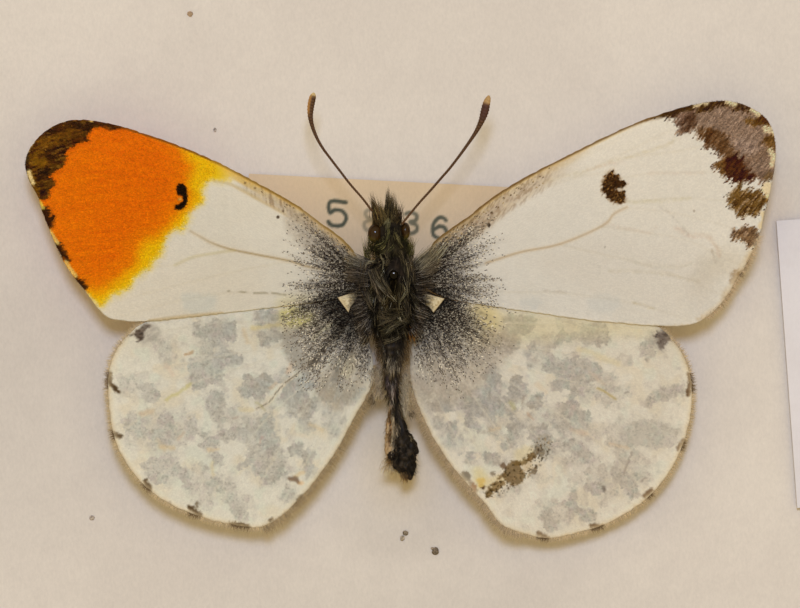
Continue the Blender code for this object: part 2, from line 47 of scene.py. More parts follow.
PLAN = 0.061 * MM          # one step of the view's 800 x 608 grid, at the wings' height
PIN_AT = (394.0, 276.0)    # where the insect pin stands in that grid
VIEW_MID = (400.0, 304.0)  # the grid's middle, straight under the camera
CAM_D = 320.0 * MM         # camera height over the wings
WING_REF = 12.9 * MM
LINING_TOP = 9.9 * MM
CAM_X = (VIEW_MID[0] - PIN_AT[0]) * PLAN
CAM_Y = (PIN_AT[1] - VIEW_MID[1]) * PLAN


# ------------------------------------------------------------------ small tools
def lin(r, g, b):
    """An sRGB colour from 0 to 255 as linear light."""
    out = []
    for c in (r, g, b):
        c = c / 255.0
        out.append(c / 12.92 if c <= 0.04045 else ((c + 0.055) / 1.055) ** 2.4)
    return tuple(out)


def lin_array(c):
    c = np.clip(c / 255.0, 0, 1)
    return np.where(c <= 0.04045, c / 12.92, ((c + 0.055) / 1.055) ** 2.4)


def smooth(lo, hi, v):
    t = np.clip((v - lo) / (hi - lo), 0.0, 1.0)
    return t * t * (3 - 2 * t)


def to_world(px, py, z=WING_REF):
    """A point of the view's grid, at height z, in metres."""
    share = (CAM_D + WING_REF - z) / CAM_D
    return (
        CAM_X + (np.asarray(px) - VIEW_MID[0]) * PLAN * share,
        CAM_Y + (VIEW_MID[1] - np.asarray(py)) * PLAN * share,
    )


def hash01(ix, iy, seed):
    ix = ix.astype(np.int64).astype(np.uint64)
    iy = iy.astype(np.int64).astype(np.uint64)
    h = (ix * np.uint64(374761393) + iy * np.uint64(668265263) + np.uint64(seed) * np.uint64(2246822519)) & np.uint64(0xFFFFFFFF)
    h = ((h ^ (h >> np.uint64(13))) * np.uint64(1274126177)) & np.uint64(0xFFFFFFFF)
    h = ((h ^ (h >> np.uint64(16))) * np.uint64(2654435761)) & np.uint64(0xFFFFFFFF)
    h = h ^ (h >> np.uint64(15))
    return h.astype(np.float64) / 4294967295.0


def vnoise(x, y, seed):
    """Smooth value noise from -1 to 1, one cell per unit."""
    x = np.asarray(x, float) + 1000.0
    y = np.asarray(y, float) + 1000.0
    ix, iy = np.floor(x), np.floor(y)
    fx, fy = x - ix, y - iy
    fx = fx * fx * (3 - 2 * fx)
    fy = fy * fy * (3 - 2 * fy)
    a = hash01(ix, iy, seed)
    b = hash01(ix + 1, iy, seed)
    c = hash01(ix, iy + 1, seed)
    d = hash01(ix + 1, iy + 1, seed)
    return 2 * ((a * (1 - fx) + b * fx) * (1 - fy) + (c * (1 - fx) + d * fx) * fy) - 1


def fbm(x, y, seed, octaves=3):
    total, size, norm = 0.0, 1.0, 0.0
    x = np.asarray(x, float)
    y = np.asarray(y, float)
    for k in range(octaves):
        total = total + vnoise(x * 2**k + 17.3 * k, y * 2**k - 9.1 * k, seed + 31 * k) * size
        norm += size
        size *= 0.5
    return total / norm


def catmull(points, closed=False, steps=12):
    pts = [np.array(p, float) for p in points]
    out = []
    n = len(pts)
    if closed:
        get = lambda i: pts[i % n]
        spans = n
    else:
        ext = [2 * pts[0] - pts[1]] + pts + [2 * pts[-1] - pts[-2]]
        get = lambda i: ext[i + 1]
        spans = n - 1
    for i in range(spans):
        p0, p1, p2, p3 = get(i - 1), get(i), get(i + 1), get(i + 2)
        for s in range(steps):
            t = s / steps
            out.append(0.5 * (2 * p1 + (p2 - p0) * t + (2 * p0 - 5 * p1 + 4 * p2 - p3) * t * t + (3 * p1 - p0 - 3 * p2 + p3) * t**3))
    if not closed:
        out.append(pts[-1])
    return np.array(out)


def resample(line, gap, closed=False):
    line = np.asarray(line, float)
    if closed:
        line = np.vstack([line, line[:1]])
    seg = np.sqrt(((line[1:] - line[:-1]) ** 2).sum(1))
    run = np.concatenate([[0], np.cumsum(seg)])
    count = max(int(round(run[-1] / gap)), 2)
    at = np.linspace(0, run[-1], count + 1)
    if closed:
        at = at[:-1]
    return np.stack([np.interp(at, run, line[:, k]) for k in range(line.shape[1])], 1)


def seg_distance(P, A, B):
    """Distance of points P to the nearest of the segments A-B, and where on the run."""
    best = np.full(len(P), 1e18)
    where = np.zeros(len(P))
    D = B - A
    L2 = np.maximum((D**2).sum(1), 1e-18)
    step = max(1, int(3e6 // max(len(A), 1)))
    for s in range(0, len(P), step):
        Q = P[s : s + step]
        t = np.clip(((Q[:, None, :] - A[None]) * D[None]).sum(2) / L2[None], 0, 1)
        near = A[None] + t[..., None] * D[None]
        d2 = ((Q[:, None, :] - near) ** 2).sum(2)
        k = d2.argmin(1)
        idx = np.arange(len(Q))
        best[s : s + step] = np.sqrt(d2[idx, k])
        where[s : s + step] = (k + t[idx, k]) / len(A)
    return best, where


def line_distance(P, line):
    line = np.asarray(line, float)
    return seg_distance(P, line[:-1], line[1:])


def inside(P, poly):
    A, B = poly, np.roll(poly, -1, axis=0)
    odd = np.zeros(len(P), bool)
    x, y = P[:, 0], P[:, 1]
    for (ax, ay), (bx, by) in zip(A, B):
        if ay == by:
            continue
        cross = (ay > y) != (by > y)
        xs = (bx - ax) * (y - ay) / (by - ay) + ax
        odd ^= cross & (x < xs)
    return odd


def signed(P, points, closed_curve=True, steps=8):
    """Signed distance to a closed curve through the points, negative inside."""
    poly = catmull(points, True, steps) if closed_curve else np.asarray(points, float)
    d, _ = seg_distance(P, poly, np.roll(poly, -1, axis=0))
    return np.where(inside(P, poly), -d, d)


def mesh_object(name, V, faces, material, smooth_shade=True, second=None, which=None):
    """A mesh object from vertex and face arrays; faces is a list of (M, 3) or (M, 4) arrays."""
    V = np.asarray(V, np.float32)
    faces = [np.asarray(f, np.int32) for f in faces if len(f)]
    # faces look outwards: a closed mesh wound the other way round has a negative volume
    fan = np.concatenate([f[:, [0, i, i + 1]] for f in faces for i in range(1, f.shape[1] - 1)])
    p = V[fan].astype(float) - V[0]
    if np.einsum("ij,ij->", p[:, 0], np.cross(p[:, 1], p[:, 2])) < 0:
        faces = [f[:, ::-1] for f in faces]
    mesh = bpy.data.meshes.new(name)
    mesh.vertices.add(len(V))
    mesh.vertices.foreach_set("co", V.ravel())
    loops = np.concatenate([f.ravel() for f in faces])
    sizes = np.concatenate([np.full(len(f), f.shape[1], np.int32) for f in faces])
    mesh.loops.add(len(loops))
    mesh.loops.foreach_set("vertex_index", loops)
    starts = np.concatenate([[0], np.cumsum(sizes)[:-1]]).astype(np.int32)
    mesh.polygons.add(len(sizes))
    mesh.polygons.foreach_set("loop_start", starts)
    mesh.polygons.foreach_set("loop_total", sizes)
    mesh.polygons.foreach_set("use_smooth", np.full(len(sizes), smooth_shade, bool))
    if second is not None:
        mesh.polygons.foreach_set("material_index", np.asarray(which, np.int32))
    mesh.update(calc_edges=True)
    mesh.validate()
    mesh.materials.append(material)
    if second is not None:
        mesh.materials.append(second)
    obj = bpy.data.objects.new(name, mesh)
    bpy.context.scene.collection.objects.link(obj)
    return obj


def set_colour(obj, name, rgb):
    layer = obj.data.attributes.new(name, "FLOAT_COLOR", "POINT")
    data = np.ones((len(rgb), 4), np.float32)
    data[:, :3] = rgb
    layer.data.foreach_set("color", data.ravel())


def set_vector(obj, name, vec):
    layer = obj.data.attributes.new(name, "FLOAT_VECTOR", "POINT")
    layer.data.foreach_set("vector", np.asarray(vec, np.float32).ravel())


def set_float(obj, name, val):
    layer = obj.data.attributes.new(name, "FLOAT", "POINT")
    layer.data.foreach_set("value", np.asarray(val, np.float32))


def piece(obj, slot, *replaced):
    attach(obj, "root")
    if replaced:
        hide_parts(*replaced)
    return obj


# ------------------------------------------------------------------- materials
class Nodes:
    """A short way to lay out a material's nodes."""

    def __init__(self, name):
        self.mat = bpy.data.materials.new(name)
        self.mat.use_nodes = True
        self.tree = self.mat.node_tree
        self.shader = self.tree.nodes["Principled BSDF"]

    def new(self, kind, **settings):
        node = self.tree.nodes.new(kind)
        for key, value in settings.items():
            setattr(node, key, value)
        return node

    def link(self, a, b):
        self.tree.links.new(a, b)

    def coords(self, scale=(1, 1, 1), attribute=None):
        if attribute:
            source = self.new("ShaderNodeAttribute", attribute_name=attribute).outputs["Vector"]
        else:
            source = self.new("ShaderNodeTexCoord").outputs["Object"]
        mapping = self.new("ShaderNodeMapping")
        mapping.inputs["Scale"].default_value = scale
        self.link(source, mapping.inputs["Vector"])
        return mapping.outputs["Vector"]

    def noise(self, vector, scale, detail=3.0, rough=0.55, distort=0.0):
        n = self.new("ShaderNodeTexNoise")
        n.inputs["Scale"].default_value = scale
        n.inputs["Detail"].default_value = detail
        n.inputs["Roughness"].default_value = rough
        n.inputs["Distortion"].default_value = distort
        self.link(vector, n.inputs["Vector"])
        return n.outputs["Fac"]

    def voronoi(self, vector, scale, feature="F1", randomness=1.0):
        n = self.new("ShaderNodeTexVoronoi", feature=feature)
        n.inputs["Scale"].default_value = scale
        n.inputs["Randomness"].default_value = randomness
        self.link(vector, n.inputs["Vector"])
        return n

    def ramp(self, fac, stops, interpolation="LINEAR"):
        r = self.new("ShaderNodeValToRGB")
        r.color_ramp.interpolation = interpolation
        while len(r.color_ramp.elements) < len(stops):
            r.color_ramp.elements.new(0.5)
        for element, (at, colour) in zip(r.color_ramp.elements, stops):
            element.position = at
            element.color = (*colour, 1.0)
        self.link(fac, r.inputs["Fac"])
        return r.outputs["Color"]

    def span(self, value, lo, hi, out_lo=0.0, out_hi=1.0, smooth_step=True):
        m = self.new("ShaderNodeMapRange", clamp=True)
        if smooth_step:
            m.interpolation_type = "SMOOTHSTEP"
        m.inputs["From Min"].default_value = lo
        m.inputs["From Max"].default_value = hi
        m.inputs["To Min"].default_value = out_lo
        m.inputs["To Max"].default_value = out_hi
        self.link(value, m.inputs["Value"])
        return m.outputs["Result"]

    def math(self, operation, a, b=None):
        m = self.new("ShaderNodeMath", operation=operation)
        for socket, v in zip(m.inputs, (a, b)):
            if v is None:
                continue
            if isinstance(v, (int, float)):
                socket.default_value = v
            else:
                self.link(v, socket)
        return m.outputs["Value"]

    def mix(self, fac, a, b, blend="MIX"):
        m = self.new("ShaderNodeMix", data_type="RGBA", blend_type=blend)
        if isinstance(fac, (int, float)):
            m.inputs["Factor"].default_value = fac
        else:
            self.link(fac, m.inputs["Factor"])
        for socket, v in ((m.inputs["A"], a), (m.inputs["B"], b)):
            if isinstance(v, tuple):
                socket.default_value = (*v, 1.0)
            else:
                self.link(v, socket)
        for output in m.outputs:
            if output.type == "RGBA":
                return output

    def bump(self, height, strength, distance, normal=None):
        b = self.new("ShaderNodeBump")
        b.inputs["Strength"].default_value = strength
        b.inputs["Distance"].default_value = distance
        self.link(height, b.inputs["Height"])
        if normal is not None:
            self.link(normal, b.inputs["Normal"])
        return b.outputs["Normal"]

    def done(self, colour=None, roughness=None, normal=None, **constants):
        s = self.shader
        for socket, v in (("Base Color", colour), ("Roughness", roughness), ("Normal", normal)):
            if v is None:
                continue
            if isinstance(v, (int, float)):
                s.inputs[socket].default_value = v
            elif isinstance(v, tuple):
                s.inputs[socket].default_value = (*v, 1.0)
            else:
                self.link(v, s.inputs[socket])
        for key, v in constants.items():
            s.inputs[key.replace("_", " ").title().replace("Ior", "IOR")].default_value = v
        return self.mat


def wood(name, along, dark, mid, light, seed, gloss=0.38):
    """Polished straight-grained wood; along is the axis that the grain runs on."""
    n = Nodes(name)
    scale = [170.0, 170.0, 170.0]
    scale[along] = 9.0
    v = n.coords(tuple(scale))
    offset = n.new("ShaderNodeVectorMath", operation="ADD")
    offset.inputs[1].default_value = (seed * 3.1, seed * 7.7, seed * 1.3)
    n.link(v, offset.inputs[0])
    v = offset.outputs["Vector"]
    broad = n.noise(v, 0.32, 2.0, 0.5, 0.6)
    bands = n.noise(v, 1.9, 4.0, 0.6, 0.9)
    fine = n.noise(v, 9.0, 3.0, 0.7, 0.2)
    grain = n.math("ADD", n.math("MULTIPLY", bands, 0.62), n.math("MULTIPLY", broad, 0.38))
    colour = n.ramp(grain, [(0.36, dark), (0.5, mid), (0.66, light)])
    pore_scale = [1500.0, 1500.0, 1500.0]
    pore_scale[along] = 60.0
    pores = n.voronoi(n.coords(tuple(pore_scale)), 1.0)
    pore = n.span(pores.outputs["Distance"], 0.05, 0.24, 1.0, 0.0)
    few = n.span(fine, 0.42, 0.62)
    pore = n.math("MULTIPLY", pore, few)
    colour = n.mix(n.math("MULTIPLY", pore, 0.62), colour, tuple(c * 0.28 for c in dark))
    tone = n.span(fine, 0.2, 0.8, 0.9, 1.08, False)
    shade = n.new("ShaderNodeCombineColor")
    for i in range(3):
        n.link(tone, shade.inputs[i])
    colour = n.mix(1.0, colour, shade.outputs["Color"], "MULTIPLY")
    rough = n.span(bands, 0.3, 0.7, gloss - 0.06, gloss + 0.1, False)
    height = n.math("SUBTRACT", n.math("MULTIPLY", bands, 0.25), n.math("MULTIPLY", pore, 0.8))
    return n.done(colour, rough, n.bump(height, 0.5, 0.00006), coat_weight=0.25, coat_roughness=0.22)


def paper(name, colour_a, colour_b, seed=0.0, grain=0.5, specks=0.0, blotch=0.5, painted_shade=()):
    """Matte paper: felted fibre grain, faint blotches, a few flecks, and soft patches of painted shade that darken or
    warm the colour where shade falls.
    """
    n = Nodes(name)
    v = n.coords()
    soft = n.noise(v, 95.0 + seed, 3.0, 0.5)
    mid = n.noise(v, 700.0 + seed, 4.0, 0.6)
    fine = n.noise(n.coords((1.0, 0.55, 1.0)), 6500.0, 3.0, 0.7)
    amount = n.span(n.math("ADD", n.math("MULTIPLY", soft, blotch), n.math("MULTIPLY", mid, 1.0 - blotch)), 0.35, 0.65)
    colour = n.mix(amount, colour_a, colour_b)
    tone = n.span(fine, 0.25, 0.75, 1.0 - 0.075 * grain, 1.0 + 0.06 * grain, False)
    shade = n.new("ShaderNodeCombineColor")
    for i in range(3):
        n.link(tone, shade.inputs[i])
    colour = n.mix(1.0, colour, shade.outputs["Color"], "MULTIPLY")
    # painted shade: each patch darkens or warms the paper's colour over an oval
    for (px, py), (rx, ry), near_by, tone in painted_shade:
        wx, wy = to_world(px, py, LINING_TOP)
        rx, ry = rx * PLAN, ry * PLAN
        gap = n.new("ShaderNodeVectorMath", operation="DISTANCE")
        n.link(n.coords((1 / rx, 1 / ry, 0.0)), gap.inputs[0])
        gap.inputs[1].default_value = (wx / rx, wy / ry, 0.0)
        colour = n.mix(n.span(gap.outputs["Value"], near_by, 1.0, 1.0, 0.0), colour, tone, "MULTIPLY")
    if specks:
        spots = n.voronoi(n.coords(), 260.0)
        dots = n.span(spots.outputs["Distance"], 0.02, 0.055, 1.0, 0.0)
        pick = n.span(n.noise(n.coords(), 240.0, 1.0), 0.62, 0.66)
        colour = n.mix(n.math("MULTIPLY", n.math("MULTIPLY", dots, pick), specks), colour, lin(120, 96, 66))
    fibre = n.noise(n.coords((1.0, 0.35, 1.0)), 2600.0, 4.0, 0.65, 0.8)
    height = n.math("ADD", n.math("MULTIPLY", fibre, 0.5), n.math("MULTIPLY", fine, 0.5))
    return n.done(colour, 0.88, n.bump(height, 0.35 * grain, 0.00003), specular_ior_level=0.25)


def attribute_skin(name, roughness=0.65, grain=True, sheen=0.0, tone=0.10, bump_depth=0.00002, spec=0.3, thin=0.0):
    """A surface coloured by the mesh's own colour layer, with a fine scaly grain; thin is how much light it passes."""
    n = Nodes(name)
    base = n.new("ShaderNodeAttribute", attribute_name="tint").outputs["Color"]
    if grain:
        v = n.coords(attribute="rows")
        cells = n.voronoi(v, 1.0, randomness=0.75)
        cell_tone = n.new("ShaderNodeSeparateColor")
        n.link(cells.outputs["Color"], cell_tone.inputs["Color"])
        value = n.span(cell_tone.outputs["Red"], 0.0, 1.0, 1.0 - tone, 1.0 + tone * 0.7, False)
        edge = n.span(cells.outputs["Distance"], 0.25, 0.75, 1.0, 1.0 - tone * 0.7)
        value = n.math("MULTIPLY", value, edge)
        shade = n.new("ShaderNodeCombineColor")
        for i in range(3):
            n.link(value, shade.inputs[i])
        base = n.mix(1.0, base, shade.outputs["Color"], "MULTIPLY")
        normal = n.bump(n.math("SUBTRACT", 1.0, cells.outputs["Distance"]), 0.5, bump_depth)
    else:
        v = n.coords()
        f = n.noise(v, 9000.0, 2.0, 0.6)
        value = n.span(f, 0.3, 0.7, 1.0 - tone, 1.0 + tone * 0.7, False)
        shade = n.new("ShaderNodeCombineColor")
        for i in range(3):
            n.link(value, shade.inputs[i])
        base = n.mix(1.0, base, shade.outputs["Color"], "MULTIPLY")
        normal = n.bump(f, 0.4, bump_depth)
    if thin:
        through = n.new("ShaderNodeBsdfTranslucent")
        n.link(n.new("ShaderNodeAttribute", attribute_name="glow").outputs["Color"], through.inputs["Color"])
        both = n.new("ShaderNodeMixShader")
        both.inputs["Fac"].default_value = thin
        n.link(n.shader.outputs["BSDF"], both.inputs[1])
        n.link(through.outputs["BSDF"], both.inputs[2])
        n.link(both.outputs["Shader"], n.tree.nodes["Material Output"].inputs["Surface"])
    return n.done(base, roughness, normal, specular_ior_level=spec, sheen_weight=sheen)


MAHOGANY = (lin(72, 34, 18), lin(120, 62, 33), lin(158, 92, 52))
wood_x = wood("mahogany_x", 0, *MAHOGANY, seed=1.0)
wood_x2 = wood("mahogany_back", 0, *MAHOGANY, seed=5.0)
wood_y = wood("mahogany_left", 1, *MAHOGANY, seed=2.0)
wood_y2 = wood("mahogany_right", 1, *MAHOGANY, seed=3.0)
base_wood = wood("base_ply", 0, lin(120, 92, 60), lin(165, 130, 88), lin(190, 158, 112), seed=4.0, gloss=0.6)
knob_wood = wood("knob_wood", 1, lin(46, 20, 10), lin(78, 36, 18), lin(104, 54, 28), seed=6.0, gloss=0.26)

n = Nodes("cork_grain")
v = n.coords()
cells = n.voronoi(v, 900.0)
spots = n.noise(v, 260.0, 3.0, 0.6)
colour = n.ramp(n.math("ADD", n.math("MULTIPLY", cells.outputs["Distance"], 0.6), n.math("MULTIPLY", spots, 0.6)), [(0.3, lin(98, 66, 40)), (0.5, lin(168, 124, 80)), (0.8, lin(196, 156, 108))])
cork_mat = n.done(colour, 0.9, n.bump(cells.outputs["Distance"], 0.6, 0.0002))

n = Nodes("aged_brass")
v = n.coords()
tarnish = n.noise(v, 330.0, 4.0, 0.6, 0.4)
fine = n.noise(n.coords((1.0, 1.0, 0.2)), 5000.0, 2.0)
colour = n.ramp(tarnish, [(0.35, lin(146, 104, 44)), (0.5, lin(190, 148, 76)), (0.7, lin(214, 176, 104))])
rough = n.math("ADD", n.span(tarnish, 0.3, 0.7, 0.46, 0.24, False), n.math("MULTIPLY", fine, 0.08))
brass_mat = n.done(colour, rough, n.bump(fine, 0.25, 0.00002), metallic=1.0)

# painted shade on the lining: a warm shadow tint between the hindwings and round the abdomen, darker under the
# abdomen's tip, darker towards the bottom and the left, and a warm shadow tint left of the white card
lining_mat = paper("lining_paper", lin(215, 203, 186), lin(208, 196, 180), grain=0.85, specks=0.55, blotch=0.7, painted_shade=(
    ((400, 445), (66, 90), 0.25, (1.0, 0.955, 0.84)),
    ((398, 520), (90, 60), 0.30, (0.915, 0.915, 0.915)),
    ((410, 640), (420, 150), 0.10, (0.91, 0.915, 0.92)),
    ((-30, 400), (260, 330), 0.10, (0.90, 0.905, 0.92)),
    ((770, 222), (34, 70), 0.20, (1.0, 0.965, 0.92)),
))
label_mat = None
card_mat = paper("white_card", lin(216, 208, 203), lin(211, 202, 196), seed=11.0, grain=0.35)
front_card_mat = paper("front_card", lin(224, 214, 190), lin(216, 204, 178), seed=7.0, grain=0.6, specks=0.3)

n = Nodes("black_enamel")
v = n.coords()
dust = n.noise(v, 4200.0, 3.0, 0.6)
enamel_mat = n.done(n.ramp(dust, [(0.4, (0.014, 0.012, 0.010)), (0.75, (0.021, 0.017, 0.013))]), n.span(dust, 0.3, 0.8, 0.02, 0.045, False), n.bump(dust, 0.03, 0.00001), metallic=1.0, specular_tint=(0.0, 0.0, 0.0, 1.0))

# --------------------------------------------------------- the light and camera
scene = bpy.context.scene
scene.view_settings.view_transform = "Standard"
scene.view_settings.look = "None"

cam_data = bpy.data.cameras.new("camera")
cam_data.sensor_width = 36.0
cam_data.lens = 36.0 * CAM_D / (800 * PLAN)
cam_data.clip_start = 0.01
cam_data.clip_end = 20.0
cam = bpy.data.objects.new("camera", cam_data)
cam.location = (CAM_X, CAM_Y, WING_REF + CAM_D)
scene.collection.objects.link(cam)
scene.camera = cam


def area_light(name, at, target, size, power, colour):
    data = bpy.data.lights.new(name, "AREA")
    data.shape = "DISK"
    data.size = size
    data.energy = power
    data.color = colour
    obj = bpy.data.objects.new(name, data)
    obj.location = at
    obj.rotation_euler = (Vector(target) - Vector(at)).to_track_quat("-Z", "Y").to_euler()
    obj.visible_camera = False
    scene.collection.objects.link(obj)
    return obj


KEY_TILT = math.radians(16.5)
KEY_D = 0.75
area_light(
    "key_light",
    (0.0, math.sin(KEY_TILT) * KEY_D, 0.012 + math.cos(KEY_TILT) * KEY_D),
    (0.0, 0.0, 0.012),
    0.165,
    3.82,
    (0.502, 0.639, 1.0),
)

world = bpy.data.worlds.new("pale_room")
world.use_nodes = True
background = world.node_tree.nodes["Background"]
background.inputs["Color"].default_value = (1.0, 0.846, 0.499, 1.0)
background.inputs["Strength"].default_value = 0.78
scene.world = world

n = Nodes("pale_floor")
f = n.noise(n.coords(), 14.0, 3.0)
floor_mat = n.done(n.ramp(f, [(0.3, (0.62, 0.61, 0.60)), (0.7, (0.66, 0.65, 0.64))]), 0.8)
floor = mesh_object(
    "floor",
    [(-3, -3, -0.0002), (3, -3, -0.0002), (3, 3, -0.0002), (-3, 3, -0.0002)],
    [np.array([[0, 1, 2, 3]])],
    floor_mat,
    False,
)


# --------------------------------------------------------------- drawer pieces
def wear(node, material, bevel=0.0):
    """Gives a node of the case its finish and slightly rounded edges."""
    obj = nodes[node]
    obj.data.materials.clear()
    obj.data.materials.append(material)
    if bevel:
        weld = obj.modifiers.new("Weld", "WELD")
        weld.merge_threshold = 0.00001
        round_off = obj.modifiers.new("Edges", "BEVEL")
        round_off.width = bevel
        round_off.segments = 3
        round_off.limit_method = "ANGLE"
        round_off.angle_limit = math.radians(50)
        round_off.harden_normals = False


wear("drawer_front", wood_x, 0.00035)
wear("drawer_back", wood_x2, 0.00030)
wear("drawer_side_left", wood_y, 0.00025)
wear("drawer_side_right", wood_y2, 0.00025)
wear("base_panel", base_wood, 0.0003)
wear("cork_sheet", cork_mat)
wear("paper_lining", lining_mat)
wear("card_frame", brass_mat, 0.00012)
wear("front_card", front_card_mat)


def lathe(name, profile, centre, axis, material, segments=48, steps=6):
    """A turned piece: a smooth profile of (radius, height) spun round an axis."""
    line = catmull(profile, False, steps)
    line[:, 0] = np.maximum(line[:, 0], 0.0)
    line[0, 0] = 0.0
    line[-1, 0] = 0.0
    a = np.linspace(0, 2 * math.pi, segments, endpoint=False)
    V, F3, F4 = [], [], []
    def put(r, h, ang):
        if axis == 1:
            return (centre[0] + r * math.cos(ang), h, centre[1] + r * math.sin(ang))
        return (centre[0] + r * math.cos(ang), centre[1] + r * math.sin(ang), h)
    V.append(put(0.0, line[0, 1], 0.0))
    for r, h in line[1:-1]:
        for ang in a:
            V.append(put(r, h, ang))
    V.append(put(0.0, line[-1, 1], 0.0))
    rings = len(line) - 2
    last = len(V) - 1
    for k in range(segments):
        m = (k + 1) % segments
        F3.append((0, 1 + m, 1 + k))
        F3.append((last, 1 + (rings - 1) * segments + k, 1 + (rings - 1) * segments + m))
        for j in range(rings - 1):
            a0 = 1 + j * segments
            b0 = a0 + segments
            F4.append((a0 + k, a0 + m, b0 + m, b0 + k))
    F3, F4 = np.array(F3), np.array(F4)
    rising = (line[-1, 1] > line[0, 1]) == (axis == 2)
    if not rising:
        F3, F4 = F3[:, ::-1], F4[:, ::-1]
    return mesh_object(name, np.array(V), [F3, F4], material)


def lathe_sharp(profile):
    """Doubles the corner points so that the smooth profile keeps its edges."""
    out = [profile[0]]
    for p, q in zip(profile, profile[1:]):
        p, q = np.array(p, float), np.array(q, float)
        out.append(tuple(p + (q - p) * 0.12))
        out.append(tuple(q - (q - p) * 0.12))
    out.append(profile[-1])
    return out


low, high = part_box("knob_left")
knob_z = (low.z + high.z) / 2
face_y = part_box("drawer_front")[0].y
for side, node in ((-1, "knob_left"), (1, "knob_right")):
    low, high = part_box(node)
    cx = (low.x + high.x) / 2
    profile = [
        (0.0, 5.4), (1.95, 5.35), (2.0, 5.0), (2.0, 0.0), (2.05, -0.28), (4.15, -0.30), (4.3, -0.5),
        (4.3, -1.0), (4.1, -1.3), (3.3, -1.9), (2.75, -2.8), (2.5, -4.0), (2.6, -5.2), (3.1, -6.3),
        (4.2, -7.3), (5.3, -8.4), (5.9, -9.6), (5.95, -10.6), (5.4, -11.7), (4.2, -12.6), (2.4, -13.1), (0.0, -13.28),
    ]
    profile = [(r * MM, face_y + h * MM) for r, h in profile]
    piece(lathe(f"turned_{node}", profile, (cx, knob_z), 1, knob_wood, 56, 4), "knob_wood", node)
for node in ("card_frame_pin_left", "card_frame_pin_right"):
    low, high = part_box(node)
    cx, cz = (low.x + high.x) / 2, (low.z + high.z) / 2
    y0, y1 = high.y, low.y
    profile = [
        (0.0, y0), (0.00025, y0 - 0.0008), (0.0005, y0 - 0.0018), (0.0005, y1 + 0.0009), (0.00055, y1 + 0.00084),
        (0.00122, y1 + 0.00084), (0.0013, y1 + 0.00078), (0.00118, y1 + 0.00045), (0.0008, y1 + 0.00015), (0.0004, y1 + 0.00003), (0.0, y1),
    ]
    piece(lathe(f"domed_{node}", profile, (cx, cz), 1, brass_mat, 28, 4), "brass", node)

low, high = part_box("insect_pin")
pin_low, pin_high = low.z, high.z
profile = [
    (0.0, low.z), (0.00008, low.z + 0.0005), (0.00018, low.z + 0.0014), (0.00025, low.z + 0.0024), (0.00025, low.z + 0.006), (0.00025, high.z - 0.004),
    (0.00018, high.z - 0.0009), (0.00018, high.z - 0.00056), (0.00021, high.z - 0.00050), (0.00025, high.z - 0.00042),
    (0.00028, high.z - 0.00032), (0.00028, high.z - 0.00022), (0.000265, high.z - 0.00013), (0.00023, high.z - 0.00006), (0.00018, high.z - 0.000024), (0.00011, high.z - 0.000008), (0.0, high.z),
]
piece(lathe("black_pin", profile, (0.0, 0.0), 2, enamel_mat, 32, 5), "black_enamel", "insect_pin")


# --------------------------------------------------------------------- the cards
def card_mesh(name, corners, z0, thick, step, lift, material, slot, node):
    """A card as a fine sheet with thickness; corners go round from the lower left."""
    c = np.array(corners, float)
    w = np.linalg.norm(c[1] - c[0])
    h = np.linalg.norm(c[3] - c[0])
    nu, nv = max(int(w / step), 4), max(int(h / step), 4)
    u, v = np.meshgrid(np.linspace(0, 1, nu + 1), np.linspace(0, 1, nv + 1))
    ex, ey = (c[1] - c[0]), (c[3] - c[0])
    xy = c[0] + u[..., None] * ex + v[..., None] * ey
    z = z0 + lift(u, v)
    top = np.dstack([xy, z + thick]).reshape(-1, 3)
    idx = np.arange(len(top)).reshape(nv + 1, nu + 1)
    rim = np.concatenate([idx[0, :], idx[1:, -1], idx[-1, -2::-1], idx[-2:0:-1, 0]])
    low_side = np.dstack([xy, z]).reshape(-1, 3)[rim]
    low = len(top) + np.arange(len(rim))
    a, b, d, e = idx[:-1, :-1].ravel(), idx[:-1, 1:].ravel(), idx[1:, 1:].ravel(), idx[1:, :-1].ravel()
    faces = [np.stack([a, b, d, e], 1), np.stack([rim, low, np.roll(low, -1), np.roll(rim, -1)], 1)]
    # the underside in strips across the card, with the two end strips taking up the side edges
    near, far = low[: nu + 1], low[nu + nv : 2 * nu + nv + 1][::-1]
    faces.append(np.stack([far[1:-2], far[2:-1], near[2:-1], near[1:-2]], 1))
    faces.append(np.concatenate([[far[0], far[1], near[1], near[0]], low[2 * nu + nv + 1 :][::-1]])[None])
    faces.append(np.concatenate([[far[-2], far[-1]], low[nu + 1 : nu + nv][::-1], [near[-1], near[-2]]])[None])
    obj = mesh_object(name, np.vstack([top, low_side]), faces, material, False)
    piece(obj, slot, node)
    return obj, rim, xy.reshape(-1, 2)


def corners_of(node_mid, size, turn):
    cs, sn = math.cos(turn), math.sin(turn)
    return [
        (node_mid[0] + x * cs - y * sn, node_mid[1] + x * sn + y * cs)
        for x, y in ((-size[0] / 2, -size[1] / 2), (size[0] / 2, -size[1] / 2), (size[0] / 2, size[1] / 2), (-size[0] / 2, size[1] / 2))
    ]


LABEL_SIZE, LABEL_AT, LABEL_TURN = (16.4 * MM, 8.4 * MM), (-0.95 * MM, 1.69 * MM), math.radians(-2.96)
CARD_SIZE, CARD_AT, CARD_TURN = (35.0 * MM, 17.7 * MM), (41.6 * MM, -4.15 * MM), math.radians(4.18)

n = Nodes("label_paper")
base = n.new("ShaderNodeAttribute", attribute_name="tint").outputs["Color"]
fine = n.noise(n.coords((1.0, 0.55, 1.0)), 6500.0, 3.0, 0.7)
tone = n.span(fine, 0.25, 0.75, 0.95, 1.04, False)
shade = n.new("ShaderNodeCombineColor")
for i in range(3):
    n.link(tone, shade.inputs[i])
label_mat = n.done(n.mix(1.0, base, shade.outputs["Color"], "MULTIPLY"), 0.85, n.bump(fine, 0.25, 0.00003), specular_ior_level=0.25)

